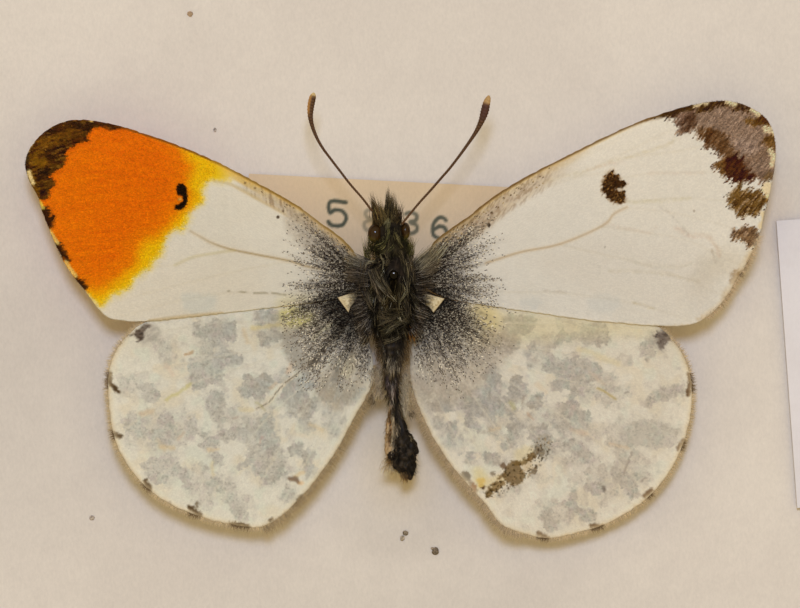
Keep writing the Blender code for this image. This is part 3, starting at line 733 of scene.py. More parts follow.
label_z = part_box("data_label")[0].z
label, rim, xy = card_mesh(
    "typed_label", corners_of(LABEL_AT, LABEL_SIZE, LABEL_TURN), label_z - 0.00012, 0.00022, 0.00009,
    lambda u, v: 0.00010 * (2 * u - 1) ** 2 + 0.00004 * np.sin(5 * v + 2 * u),
    label_mat, "label_paper", "data_label",
)
# plain figures, typed a little unevenly in dark ink that has spread
FIGURES = {
    "5": [[(9, -13), (-8, -13), (-8, -1), (-3, -4), (4, -4), (9, 0), (10, 5), (7, 11), (0, 13), (-6, 12), (-9, 9)]],
    "8": [[(0, -1), (-6, -4), (-7, -9), (-3, -13), (3, -13), (7, -9), (6, -4), (0, -1), (-7, 3), (-8, 8), (-4, 13), (4, 13), (8, 8), (7, 3), (0, -1)]],
    "3": [[(-7, -11), (-2, -13), (4, -12), (7, -8), (5, -3), (-1, -1), (6, 2), (8, 7), (4, 12), (-2, 13), (-8, 11)]],
    "6": [[(7, -10), (3, -13), (-3, -12), (-8, -5), (-9, 3), (-7, 10), (0, 13), (7, 10), (8, 4), (5, -1), (-1, -2), (-7, 2)]],
}
ink = np.zeros(len(xy))
turn = math.radians(2.96)
for figure, (gx, gy), strength in (("5", (337, 214), 0.84), ("8", (371, 220), 0.34), ("3", (411, 223), 0.62), ("6", (440, 228), 0.78)):
    for stroke in FIGURES[figure]:
        pts = catmull(stroke, False, 6)
        small = 0.92 if figure == "5" else 0.80
        rx = small * (pts[:, 0] * math.cos(turn) - pts[:, 1] * math.sin(turn)) + gx
        ry = small * (pts[:, 0] * math.sin(turn) + pts[:, 1] * math.cos(turn)) + gy
        wx, wy = to_world(rx, ry, label_z)
        d, _ = line_distance(xy, np.stack([wx, wy], 1))
        d = d / PLAN + 0.5 * fbm(xy[:, 0] / PLAN / 3, xy[:, 1] / PLAN / 3, 5)
        ink = np.maximum(ink, strength * smooth(3.1, 0.7, d))
blot = fbm(xy[:, 0] / PLAN / 60, xy[:, 1] / PLAN / 60, 8)
paper_rgb = np.array([209, 183, 146.0]) + blot[:, None] * np.array([4, 5, 6.0])
paper_rgb = paper_rgb * (1 - ink[:, None]) + np.array([52, 58, 46.0]) * ink[:, None]
rgb = lin_array(paper_rgb)
set_colour(label, "tint", np.vstack([rgb, rgb[rim]]))

card_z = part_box("blank_card")[0].z
card_mesh(
    "white_card_sheet", corners_of(CARD_AT, CARD_SIZE, CARD_TURN), card_z - 0.00012, 0.00028, 0.0006,
    lambda u, v: 0.00007 * (1 - u) ** 3 * (0.6 + 0.4 * v) + 0.0002 * u**4,
    card_mat, "white_card", "blank_card",
)



# ----------------------------------------------------------- the insect's skins
THIN_TOP, THIN_LOW = 0.40, 0.82
wing_mat = attribute_skin("scaled_wing", 0.85, True, 0.0, 0.075, 0.00002, 0.03, THIN_TOP)
under_mat = attribute_skin("wing_underside", 0.85, True, 0.0, 0.075, 0.00002, 0.03, THIN_LOW)
scale_mat = attribute_skin("loose_scales", 0.8, False, 0.0, 0.14, 0.00001, 0.03)
hair_mat = attribute_skin("dry_hair", 0.68, False, 0.0, 0.18, 0.00001, 0.05)
skin_mat = attribute_skin("dried_skin", 0.55, False, 0.0, 0.22, 0.00004, 0.12)


def to_px(x, y, z):
    share = (CAM_D + WING_REF - z) / CAM_D
    return np.stack([VIEW_MID[0] + (x - CAM_X) / (PLAN * share), VIEW_MID[1] - (y - CAM_Y) / (PLAN * share)], 1)


def plan_px(points):
    return [(PIN_AT[0] + x, PIN_AT[1] - y) for x, y in points]


def near(P, points, pad):
    q = np.asarray(points, float)
    return (P[:, 0] > q[:, 0].min() - pad) & (P[:, 0] < q[:, 0].max() + pad) & (P[:, 1] > q[:, 1].min() - pad) & (P[:, 1] < q[:, 1].max() + pad)


def area(P, points, pad=16.0, steps=6):
    """Signed distance in grid steps to a smooth closed outline, cut off at pad."""
    out = np.full(len(P), float(pad))
    m = near(P, points, pad)
    if m.any():
        out[m] = np.minimum(signed(P[m], points, True, steps), pad)
    return out


def stroke(P, points, pad=12.0, steps=6):
    """Distance to a smooth open line, and how far along it, cut off at pad."""
    out, along = np.full(len(P), float(pad)), np.zeros(len(P))
    m = near(P, points, pad)
    if m.any():
        d, w = line_distance(P[m], catmull(points, False, steps))
        out[m] = np.minimum(d, pad)
        along[m] = w
    return out, along


def warp(P, size, cell, seed):
    return P + size * np.stack([fbm(P[:, 0] / cell, P[:, 1] / cell, seed, 2), fbm(P[:, 0] / cell, P[:, 1] / cell, seed + 7, 2)], 1)


def lay(C, mask, rgb):
    C += np.clip(mask, 0, 1)[:, None] * (np.asarray(rgb, float) - C)


def grainy(P, seed, cell=1.6):
    return vnoise(P[:, 0] / cell, P[:, 1] / cell, seed)


LEFT_FOREWING = [(-34,13),(-42,26),(-56,40),(-74,53),(-94,68),(-114,80),(-134,91),(-164,107),(-194,121),(-224,133),(-254,143),(-284,152),(-309,156),(-330,154),(-346,146),(-359,134),(-367,120),(-368,108),(-363,93),(-355.5,79),(-351,64),(-344,46),(-334,23),(-322,2),(-309,-14),(-300,-27),(-290,-38),(-277,-44),(-244,-45),(-204,-41),(-169,-37),(-126,-32),(-84,-27),(-50,-21),(-36,-12),(-33,2)]
RIGHT_FOREWING = [(30,15),(40,33),(56,46),(76,60),(96,76),(116,89),(146,106),(176,121),(206,136),(236,150),(266,161),(296,170),(326,175),(346,172),(363,164),(374,154),(380,138),(381,118),(377,92),(371,66),(364,38),(354,15),(342,-5),(330,-25),(312,-41),(294,-49),(266,-50),(226,-47),(186,-43),(146,-37),(96,-30),(52,-22),(34,-12),(29,2)]
LEFT_HINDWING = [(-33,-16),(-70,-24),(-120,-30),(-174,-36),(-224,-40),(-250,-47),(-266,-60),(-279,-76),(-286,-100),(-285,-130),(-281,-158),(-272,-180),(-257,-202),(-236,-221),(-212,-234),(-184,-244),(-150,-251),(-132,-251),(-114,-241),(-93,-221),(-74,-198),(-55,-170),(-40,-142),(-28,-121),(-21,-106),(-21,-89),(-24,-69),(-28,-54),(-33,-39)]
RIGHT_HINDWING = [(28,-16),(60,-24),(110,-31),(170,-38),(225,-44),(262,-50),(280,-66),(291,-82),(298,-106),(298,-134),(292,-162),(281,-188),(264,-212),(242,-232),(214,-248),(186,-257),(154,-263),(127,-257),(107,-248),(92,-229),(75,-210),(56,-187),(39,-161),(26,-134),(18,-109),(16,-89),(18,-69),(23,-54),(28,-39)]

# veins, in steps of the view's grid
VEINS = {
    "rf": [
        [(428, 266), (446, 243), (480, 217), (540, 180), (600, 149), (642, 125)],
        [(430, 270), (470, 236), (520, 199), (575, 177), (606, 171), (628, 157), (660, 146), (700, 130), (742, 112)],
        [(575, 177), (621, 154), (664, 133), (700, 118)],
        [(628, 157), (680, 150), (730, 140), (772, 140)],
        [(606, 171), (613, 182), (615, 195), (614, 212)],
        [(612, 180), (649, 173), (704, 172), (771, 168)],
        [(615, 197), (630, 201), (688, 198), (766, 204)],
        [(430, 276), (493, 261), (521, 252), (560, 244), (602, 226), (614, 214), (628, 208), (670, 212), (720, 224), (757, 238)],
        [(602, 226), (646, 232), (690, 241), (744, 266)],
        [(560, 244), (624, 259), (680, 276), (728, 298)],
        [(430, 284), (500, 291), (566, 293), (640, 304), (694, 322)],
    ],
    "lf": [
        [(360, 266), (345, 246), (310, 222), (250, 187), (190, 158), (140, 136)],
        [(358, 270), (320, 240), (282, 211), (259, 200), (243, 190), (218, 181), (186, 178), (160, 168), (120, 156), (60, 140)],
        [(218, 181), (170, 160), (120, 142), (80, 130)],
        [(186, 178), (181, 190), (180, 202), (183, 214)],
        [(184, 186), (140, 176), (90, 172), (30, 172)],
        [(181, 200), (140, 201), (90, 206), (44, 212)],
        [(356, 276), (334, 271), (309, 267), (287, 261), (251, 253), (234, 250), (215, 245), (193, 232), (180, 220), (130, 228), (56, 238)],
        [(234, 250), (215, 253), (193, 257), (175, 265), (130, 266), (70, 276)],
        [(287, 261), (240, 270), (180, 284), (96, 306)],
        [(352, 284), (320, 293), (290, 295), (234, 292), (180, 300), (122, 316)],
    ],
    "lh": [
        [(362, 318), (300, 322), (222, 322), (142, 334)],
        [(362, 322), (300, 340), (200, 360), (110, 378)],
        [(360, 325), (310, 344), (250, 364), (191, 384), (166, 400), (146, 414), (115, 436)],
        [(358, 330), (330, 348), (304, 366), (297, 374), (285, 383), (276, 393), (269, 402), (257, 408), (231, 421), (195, 446), (148, 487)],
        [(330, 348), (304, 384), (262, 424), (235, 465), (196, 513)],
        [(350, 345), (310, 400), (285, 440), (262, 480), (240, 526)],
        [(360, 350), (334, 410), (306, 462), (272, 520)],
        [(366, 350), (350, 400), (298, 500)],
    ],
    "rh": [
        [(424, 318), (500, 323), (580, 326), (662, 340)],
        [(426, 322), (500, 343), (590, 356), (620, 365), (690, 384)],
        [(428, 326), (500, 360), (560, 378), (598, 390), (616, 399), (680, 444)],
        [(430, 332), (470, 352), (530, 396), (574, 424), (610, 452), (648, 494)],
        [(450, 345), (500, 398), (545, 446), (572, 482), (596, 528)],
        [(440, 350), (476, 400), (514, 458), (542, 536)],
        [(432, 352), (456, 410), (484, 460), (506, 528)],
        [(426, 352), (438, 400), (478, 482)],
    ],
}
ROOT = {"rf": (418.0, 272.0), "lf": (366.0, 272.0), "lh": (372.0, 318.0), "rh": (416.0, 318.0)}
MID_Z = {"rf": 12.90 * MM, "lf": 12.90 * MM, "lh": 12.34 * MM, "rh": 12.34 * MM}


def wing_height(key, P):
    """Height of a wing's upper skin over the drawer's underside, at points of the view's grid."""
    x = (P[:, 0] - PIN_AT[0]) * PLAN
    z = MID_Z[key] + 0.4 * MM * (np.abs(x) / (22.8 * MM)) ** 2
    seed = {"rf": 11, "lf": 23, "lh": 37, "rh": 41}[key]
    z = z + 0.075 * MM * fbm(P[:, 0] / 62, P[:, 1] / 62, seed, 2) + 0.012 * MM * fbm(P[:, 0] / 11, P[:, 1] / 11, seed + 3, 2)
    if key in ("lh", "rh"):
        # the front part lies snugly under the forewing and bends away from it below
        front = "lf" if key == "lh" else "rf"
        cover = catmull(plan_px(LEFT_FOREWING if key == "lh" else RIGHT_FOREWING), True, 4)
        d, _ = seg_distance(P, cover, np.roll(cover, -1, axis=0))
        d = np.where(inside(P, cover), -d, d)
        snug = MID_Z[front] + 0.4 * MM * (np.abs(x) / (22.8 * MM)) ** 2 - 0.17 * MM
        snug = snug + 0.075 * MM * fbm(P[:, 0] / 62, P[:, 1] / 62, {"lf": 23, "rf": 11}[front], 2)
        z = z + smooth(46, 2, d) * (snug - z)
    for k, vein in enumerate(VEINS[key]):
        d, along = stroke(P, vein, 9.0)
        z = z + (0.030 * MM * (1 - 0.65 * along)) * np.exp(-((d / 1.5) ** 2)) - 0.012 * MM * np.exp(-((d / 5.0) ** 2))
    if key == "rf":
        for line in (
            [(660, 207), (674, 218), (688, 234), (704, 237), (721, 254)],
            [(610, 272), (649, 273), (699, 282)],
            [(624, 259), (646, 265), (679, 268), (690, 264)],
            [(634, 303), (654, 309)],
        ):
            d, _ = stroke(P, line, 9.0)
            z = z - 0.035 * MM * np.exp(-((d / 2.2) ** 2))
    if key == "rh":
        d = area(P, [(484, 494), (492, 484), (505, 470), (522, 460), (540, 440), (550, 444), (540, 462), (524, 486), (505, 486)], 10)
        z = z + 0.03 * MM * smooth(4, -3, d) * (1 + 1.2 * fbm(P[:, 0] / 3.5, P[:, 1] / 3.5, 77, 2))
        # the outer margin hangs a little
        z = z - 0.75 * MM * smooth(235, 300, np.hypot(P[:, 0] - 414, P[:, 1] - 300))
    if key == "rf":
        z = z - 0.85 * MM * smooth(48, 8, np.hypot(P[:, 0] - 728, P[:, 1] - 290))
    return z


def fill_points(edge, gap, margin):
    """A regular triangular scatter of points inside a closed line, kept off the line by margin."""
    from mathutils.kdtree import KDTree

    tree = KDTree(len(edge))
    for i, p in enumerate(edge):
        tree.insert((p[0], p[1], 0.0), i)
    tree.balance()
    A, B = edge, np.roll(edge, -1, axis=0)
    out = []
    y = edge[:, 1].min() + gap * 0.37
    row = 0
    while y < edge[:, 1].max():
        hit = (A[:, 1] > y) != (B[:, 1] > y)
        xs = np.sort((B[hit, 0] - A[hit, 0]) * (y - A[hit, 1]) / (B[hit, 1] - A[hit, 1]) + A[hit, 0])
        for a, b in zip(xs[0::2], xs[1::2]):
            x = math.ceil((a - (row % 2) * gap / 2) / gap) * gap + (row % 2) * gap / 2
            while x < b:
                if x - a > 4 * gap and b - x > 4 * gap or tree.find((x, y, 0.0))[2] > margin:
                    out.append((x, y))
                x += gap
        y += gap * 0.866
        row += 1
    out = np.array(out)
    far = np.array([tree.find((p[0], p[1], 0.0))[2] for p in out])
    return out[far > margin], far[far > margin]


def triangulate(edge, inner):
    pts = [Vector((float(p[0]), float(p[1]))) for p in np.vstack([edge, inner])]
    count = len(edge)
    loops = [(i, (i + 1) % count) for i in range(count)]
    verts, _, tris, orig, _, _ = delaunay_2d_cdt(pts, loops, [], 1, 1e-6)
    place = {}
    for i, sources in enumerate(orig):
        for s in sources:
            place[s] = i
    back = np.full(len(verts), -1)
    for s, i in place.items():
        back[i] = s
    tris = np.array([list(t) for t in tris if len(t) == 3])
    tris = back[tris]
    return tris[(tris >= 0).all(1)]


def wing(key, name, outline, slot, node, paint, paint_under, gap):
    edge = resample(catmull(plan_px(outline), True, 14), gap, True)
    seed = {"rf": 5, "lf": 6, "lh": 7, "rh": 8}[key]
    edge = edge + 0.45 * np.stack([vnoise(edge[:, 0] / 4, edge[:, 1] / 4, seed), vnoise(edge[:, 0] / 4, edge[:, 1] / 4, seed + 3)], 1)
    if key in ("lf", "rf"):
        # the stout front vein makes the front edge a little fuller
        front = catmull(plan_px(outline[1:12]), False, 8)
        d, _ = line_distance(edge, front)
        tang = np.roll(edge, -1, axis=0) - np.roll(edge, 1, axis=0)
        tang /= np.linalg.norm(tang, axis=1, keepdims=True)
        out = np.stack([tang[:, 1], -tang[:, 0]], 1)
        out *= np.sign(((edge - edge.mean(0)) * out).sum(1))[:, None]
        edge = edge + 0.62 * smooth(4.0, 2.0, d)[:, None] * out
    inner, far = fill_points(edge, gap, gap * 0.62)
    coarse, coarse_far = fill_points(edge, gap * 3.2, gap * 1.6)
    top_tris = triangulate(edge, inner)
    low_tris = triangulate(edge, coarse)

    def turned(tris, P, up):
        a, b, c = P[tris[:, 0]], P[tris[:, 1]], P[tris[:, 2]]
        # the grid's y runs down, so a turn that is clockwise here faces up
        cross = (b[:, 0] - a[:, 0]) * (c[:, 1] - a[:, 1]) - (b[:, 1] - a[:, 1]) * (c[:, 0] - a[:, 0])
        flip = (cross < 0) != up
        flip = ~flip
        tris = tris.copy()
        tris[flip] = tris[flip][:, ::-1]
        return tris

    TP = np.vstack([edge, inner])
    LP = np.vstack([edge, coarse])
    top_tris = turned(top_tris, TP, True)
    low_tris = turned(low_tris, LP, False)
    top_far = np.concatenate([np.zeros(len(edge)), far])
    low_far = np.concatenate([np.zeros(len(edge)), coarse_far])
    zt = wing_height(key, TP)
    zl = wing_height(key, LP) - (0.03 + 0.07 * smooth(0, 9, low_far)) * MM
    x, y = to_world(TP[:, 0], TP[:, 1], WING_REF)
    top = np.stack([x, y, zt], 1)
    x, y = to_world(LP[:, 0], LP[:, 1], WING_REF)
    low_v = np.stack([x, y, zl], 1)
    m, t = len(edge), len(TP)
    a = np.arange(m)
    b = (a + 1) % m
    quads = np.stack([a, b, b + t, a + t], 1)
    # the rim must face outwards: the edge runs one way or the other round the wing
    turn = ((edge[:, 0] * np.roll(edge[:, 1], -1)) - (np.roll(edge[:, 0], -1) * edge[:, 1])).sum()
    if turn < 0:
        quads = quads[:, ::-1]
    rim = np.vstack([quads[:, [0, 1, 2]], quads[:, [0, 2, 3]]])[:, ::-1]
    below = np.concatenate([np.zeros(len(top_tris)), np.ones(len(low_tris)), np.zeros(len(rim))])
    obj = mesh_object(name, np.vstack([top, low_v]), [top_tris, low_tris + t, rim], wing_mat, True, under_mat, below)
    # the wing's own place in the picture is measured where its skin is, not at the pin's height
    P = to_px(top[:, 0], top[:, 1], top[:, 2])
    C = paint(P, top_far)
    U = paint_under(to_px(low_v[:, 0], low_v[:, 1], low_v[:, 2]), low_far)
    seen = lin_array(C) * np.array([0.99, 1.04, 1.09])
    # the skin passes part of the light: its own colour makes up for that, and "glow" tints what comes through
    glow = np.sqrt(np.clip(seen, 0.01, 1)) * np.array([1.0, 0.93, 0.82])
    own = np.clip((seen - THIN_TOP * glow * 0.30) / (1 - THIN_TOP), 0.18 * seen, 0.95)
    low_seen = lin_array(U)
    low_glow = np.clip(low_seen, 0.01, 1) ** 0.25 * np.array([1.0, 0.93, 0.80])
    set_colour(obj, "tint", np.vstack([own, low_seen]))
    set_colour(obj, "glow", np.vstack([glow, low_glow]))
    rx, ry = ROOT[key]
    Q = np.vstack([TP, LP])
    r = np.hypot(Q[:, 0] - rx, Q[:, 1] - ry)
    ang = np.arctan2(Q[:, 1] - ry, Q[:, 0] - rx)
    if rx < 390:
        ang = np.arctan2(Q[:, 1] - ry, rx - Q[:, 0])
    set_vector(obj, "rows", np.stack([r / 1.9, ang * 230 / 1.25, np.zeros(len(r))], 1))
    piece(obj, slot, node)
    return edge


def kites(name, P, z, direction, length, width, colour, slot, lift=0.02, sink=0.0, seed=3):
    """Loose scales: flat closed kites with a keel, lying on a surface with their tips a little up."""
    k = len(P)
    ids = np.arange(k)
    wob = 1 + 0.25 * (hash01(ids, ids * 0 + 1, seed) - 0.5)
    dx, dy = np.cos(direction), np.sin(direction)
    nx, ny = -dy, dx
    L, W = length * wob, width * (1 + 0.3 * (hash01(ids, ids * 0 + 2, seed) - 0.5)) / 2
    base = P - np.stack([dx, dy], 1) * (L * 0.5)[:, None]
    tip = P + np.stack([dx, dy], 1) * (L * 0.5)[:, None]
    mid = P + np.stack([dx, dy], 1) * (L * 0.22)[:, None]
    left = mid + np.stack([nx, ny], 1) * W[:, None]
    right = mid - np.stack([nx, ny], 1) * W[:, None]
    zz = [z + (0.004 - sink) * MM, z + (0.55 * lift) * MM, z + (0.55 * lift) * MM, z + lift * MM]
    tilt = (hash01(ids, ids * 0 + 3, seed) - 0.5) * 0.5 * lift * MM
    zz[1] = zz[1] + tilt
    zz[2] = zz[2] - tilt
    zz[3] = zz[3] + 0.004 * MM
    V = np.zeros((k, 4, 3))
    for i, (q, h) in enumerate(zip((base, left, right, tip), zz)):
        x, y = to_world(q[:, 0], q[:, 1], WING_REF)
        V[:, i] = np.stack([x, y, h], 1)
    o = (ids * 4)[:, None]
    F = np.concatenate([o + np.array([0, 1, 3]), o + np.array([0, 3, 2]), o + np.array([0, 2, 1]), o + np.array([1, 2, 3])])
    obj = mesh_object(name, V.reshape(-1, 3), [F], scale_mat, False)
    C = np.repeat(colour, 4, axis=0).reshape(k, 4, 3).copy()
    C[:, 3] = C[:, 3] * 1.08
    C[:, 0] = C[:, 0] * 0.85
    set_colour(obj, "tint", lin_array(C.reshape(-1, 3)))
    piece(obj, slot)
    return obj


def scatter(box, gap, seed, jitter=0.9):
    """A jittered grid of points over a box of the view's grid."""
    x = np.arange(box[0], box[2], gap)
    y = np.arange(box[1], box[3], gap)
    X, Y = np.meshgrid(x, y)
    X, Y = X.ravel(), Y.ravel()
    i, j = np.round(X / gap), np.round(Y / gap)
    return np.stack([X + gap * jitter * (hash01(i, j, seed) - 0.5), Y + gap * jitter * (hash01(i, j, seed + 1) - 0.5)], 1)


def dice(P, seed):
    return hash01(np.round(P[:, 0] * 16), np.round(P[:, 1] * 16), seed)



# ------------------------------------------------------------- forewing markings
def patch(P, points, pad=8.0):
    """Signed distance to a straight-sided closed outline, cut off at pad."""
    out = np.full(len(P), float(pad))
    m = near(P, points, pad)
    if m.any():
        out[m] = np.minimum(signed(P[m], np.asarray(points, float), False), pad)
    return out


def combed(P, way, amount, width, seed):
    """Moves points to and fro along a direction, each narrow lane by its own amount: ragged, hairy borders."""
    u = np.array(way, float) / math.hypot(*way)
    across = P[:, 0] * -u[1] + P[:, 1] * u[0]
    along = P[:, 0] * u[0] + P[:, 1] * u[1]
    n = vnoise(across / width, along / (width * 7), seed)
    return P + (amount * n)[:, None] * u[None]


def lanes(P, way, width, length, seed):
    u = np.array(way, float) / math.hypot(*way)
    return vnoise((P[:, 0] * -u[1] + P[:, 1] * u[0]) / width, (P[:, 0] * u[0] + P[:, 1] * u[1]) / length, seed)


LF_APEX = [(20, 150), (20, 190), (30, 196), (37, 201), (42, 199.5), (47, 198), (50, 193), (53, 187), (54, 182), (51, 178), (54, 174), (59, 170), (63, 165), (66, 159), (67.5, 154), (67, 150), (72, 148), (75, 145), (80, 142), (88, 142), (89, 136), (91, 131), (96, 128.5), (106, 128.5), (118, 129.5), (130, 130), (122, 124), (100, 112), (60, 108), (30, 124)]
LF_SPOTS = [
    [(37, 209), (44, 206), (48, 207), (52, 214), (56, 219), (52, 225), (49, 231), (42, 226), (36, 214)],
    [(52, 246), (60, 242), (64, 248), (68, 255), (69, 261), (64, 260), (58, 256)],
    [(70, 279), (78, 277), (84, 282), (88, 289), (84, 292), (76, 288)],
]
LF_ORANGE = [(20, 110), (120, 105), (170, 130), (184, 148), (190, 160), (195, 166), (191, 173), (189, 181), (191, 190), (191, 200), (188, 208), (182, 213), (177, 219), (170, 227), (163, 233), (156, 238), (149, 241), (142, 247), (139, 256), (136, 265), (128, 272), (118, 281), (108, 289), (97, 292), (88, 290), (60, 290), (20, 230)]
LF_YELLOW = [(20, 110), (130, 100), (210, 140), (240, 168), (232, 177), (222, 181), (211, 181), (206, 185), (204, 194), (203, 202), (198, 207), (190, 209), (190, 216), (187, 223), (183, 229), (175, 231), (168, 235), (164, 241), (163, 249), (160, 256), (155, 262), (151, 268), (145, 272), (139, 276), (133, 282), (128, 288), (121, 292), (112, 297), (107, 302), (101, 307), (95, 303), (88, 298), (60, 296), (20, 240)]
RF_APEX = [(640, 121), (656, 117), (668, 119), (674, 118), (675, 123), (680, 126), (675, 132), (682, 134), (689, 132), (695, 132), (695, 138), (701, 138), (705, 141), (704, 149), (711, 149), (718, 153), (720, 158), (716, 163), (711, 168), (717, 170), (720, 175), (726, 180), (733, 183), (737, 185), (744, 183), (752, 181), (758, 182), (764, 183), (770, 181), (780, 172), (784, 130), (760, 96), (700, 92), (660, 104)]
RF_SPOT2 = [(727, 199), (729, 193), (734, 189), (736, 184), (740, 184), (741, 189), (748, 189), (756, 192), (763, 193), (768, 197), (767, 204), (762, 209), (756, 216), (748, 215), (740, 219), (733, 211)]
RF_SPOT3 = [(730, 230), (738, 229), (745, 226), (754, 228), (759, 236), (754, 246), (746, 246), (740, 240), (733, 240)]
RF_DISCAL = [(608, 173), (613, 171), (617, 176), (622, 179), (625, 183), (624, 187), (617, 188), (614, 190), (617, 191.5), (624, 192), (626, 196), (625, 201), (620, 203), (613, 202), (607, 198), (603, 191), (602, 184), (604, 178)]
LF_DISCAL = [(177.5, 187), (179, 184), (183, 184), (186.5, 187.5), (187.5, 193), (188, 199), (186.5, 205), (182, 209.5), (176, 209.5), (175, 206), (178, 204), (182, 202.5), (183.5, 199), (181.5, 196.5), (178, 194.5), (177, 190)]


def ground(P, seed, rgb, swing=3.0):
    C = np.tile(np.array(rgb, float), (len(P), 1))
    C += (swing * fbm(P[:, 0] / 45, P[:, 1] / 45, seed, 2))[:, None] * np.array([1.0, 1.0, 1.1])
    C += (2.2 * fbm(P[:, 0] / 7, P[:, 1] / 7, seed + 1, 2))[:, None]
    C += (1.8 * grainy(P, seed + 2))[:, None]
    return C


def vein_tint(C, P, key, depth=5.0, width=1.3):
    for k, vein in enumerate(VEINS[key]):
        d, along = stroke(P, vein, 6.0)
        C -= (depth * np.exp(-((d / width) ** 2)) * (1 - 0.4 * along))[:, None] * np.array([0.8, 1.0, 1.35])


def basal_density(P, side, hind):
    """How thickly dark scales lie over the wing roots, from 0 to 1."""
    rx, ry = (414.0, 282.0) if side > 0 else (370.0, 284.0)
    dx, dy = (P[:, 0] - rx) * side, P[:, 1] - ry
    r = np.hypot(dx, dy)
    ang = np.degrees(np.arctan2(dy, dx))
    ray = vnoise(ang / 4.2, r / 70.0, 91 + int(side)) * 0.5 + vnoise(ang / 1.7, r / 30.0, 95 + int(side)) * 0.5
    if side > 0:
        reach = np.interp(ang, [-60, -45, -38, -25, -12, 0, 12, 25, 45, 60, 75, 95], [68, 103, 101, 93, 85, 86, 94, 94, 116, 116, 112, 96])
    else:
        reach = np.interp(ang, [-60, -45, -38, -25, -12, 0, 12, 25, 45, 60, 75, 95], [78, 99, 96, 86, 80, 86, 99, 112, 118, 120, 116, 104])
    d = r + 20 * ray
    return np.clip(smooth(1.10, 0.26, d / reach), 0, 1)


def cream_flap(P, side):
    """The pale bare triangle at each wing root."""
    if side < 0:
        poly = [(337.5, 297.5), (345, 295), (354.5, 292.5), (358.5, 294), (355, 301), (350.5, 307), (348.5, 312.5), (343, 305)]
    else:
        poly = [(422, 294), (426, 293.5), (435, 296), (444.5, 298.5), (440, 304.5), (433.5, 312.5), (429, 307), (424, 303)]
    poly = np.array(poly)
    return signed(P, poly, False)


def coal(P, side):
    """The blackest part of the wing roots, behind the bare triangles."""
    rx, ry = (414.0, 282.0) if side > 0 else (370.0, 284.0)
    dx, dy = (P[:, 0] - rx) * side, P[:, 1] - ry
    r, ang = np.hypot(dx, dy), np.degrees(np.arctan2(dy, dx))
    ray = vnoise(ang / 3.0, r / 40.0, 97 + int(side))
    size = 1.0 if side < 0 else 0.80
    return smooth(66, 38, (r + 14 * ray) / size) * smooth(8, 22, ang) * smooth(82, 62, ang)


def roots(C, P, side, hind):
    rho = basal_density(P, side, hind)
    rx, ry = (414.0, 282.0) if side > 0 else (370.0, 284.0)
    dx, dy = P[:, 0] - rx, P[:, 1] - ry
    r, ang = np.hypot(dx, dy), np.degrees(np.arctan2(dy, dx))
    comb = vnoise(ang / 1.15, r / 11.0, 311 + int(side)) * 0.6 + vnoise(ang / 2.4, r / 16.0, 313 + int(side)) * 0.4
    speck = grainy(P, 301 + int(side), 1.35)
    fine = smooth(0.30, 0.90, rho * 1.05 + 0.30 * comb + 0.22 * speck)
    lay(C, 0.58 * rho**0.9, (118, 110, 100))
    lay(C, fine * (0.18 + 0.50 * rho) * (rho > 0.02), (66, 60, 56))
    light = smooth(0.25, 0.8, -comb - 0.4 * speck) * smooth(0.15, 0.5, rho) * smooth(0.98, 0.7, rho)
    lay(C, 0.42 * light, (172, 164, 150))
    deep = smooth(0.80, 1.0, rho)
    lay(C, 0.62 * deep, (50, 44, 38))
    lay(C, 0.75 * coal(P, side), (34, 31, 29))


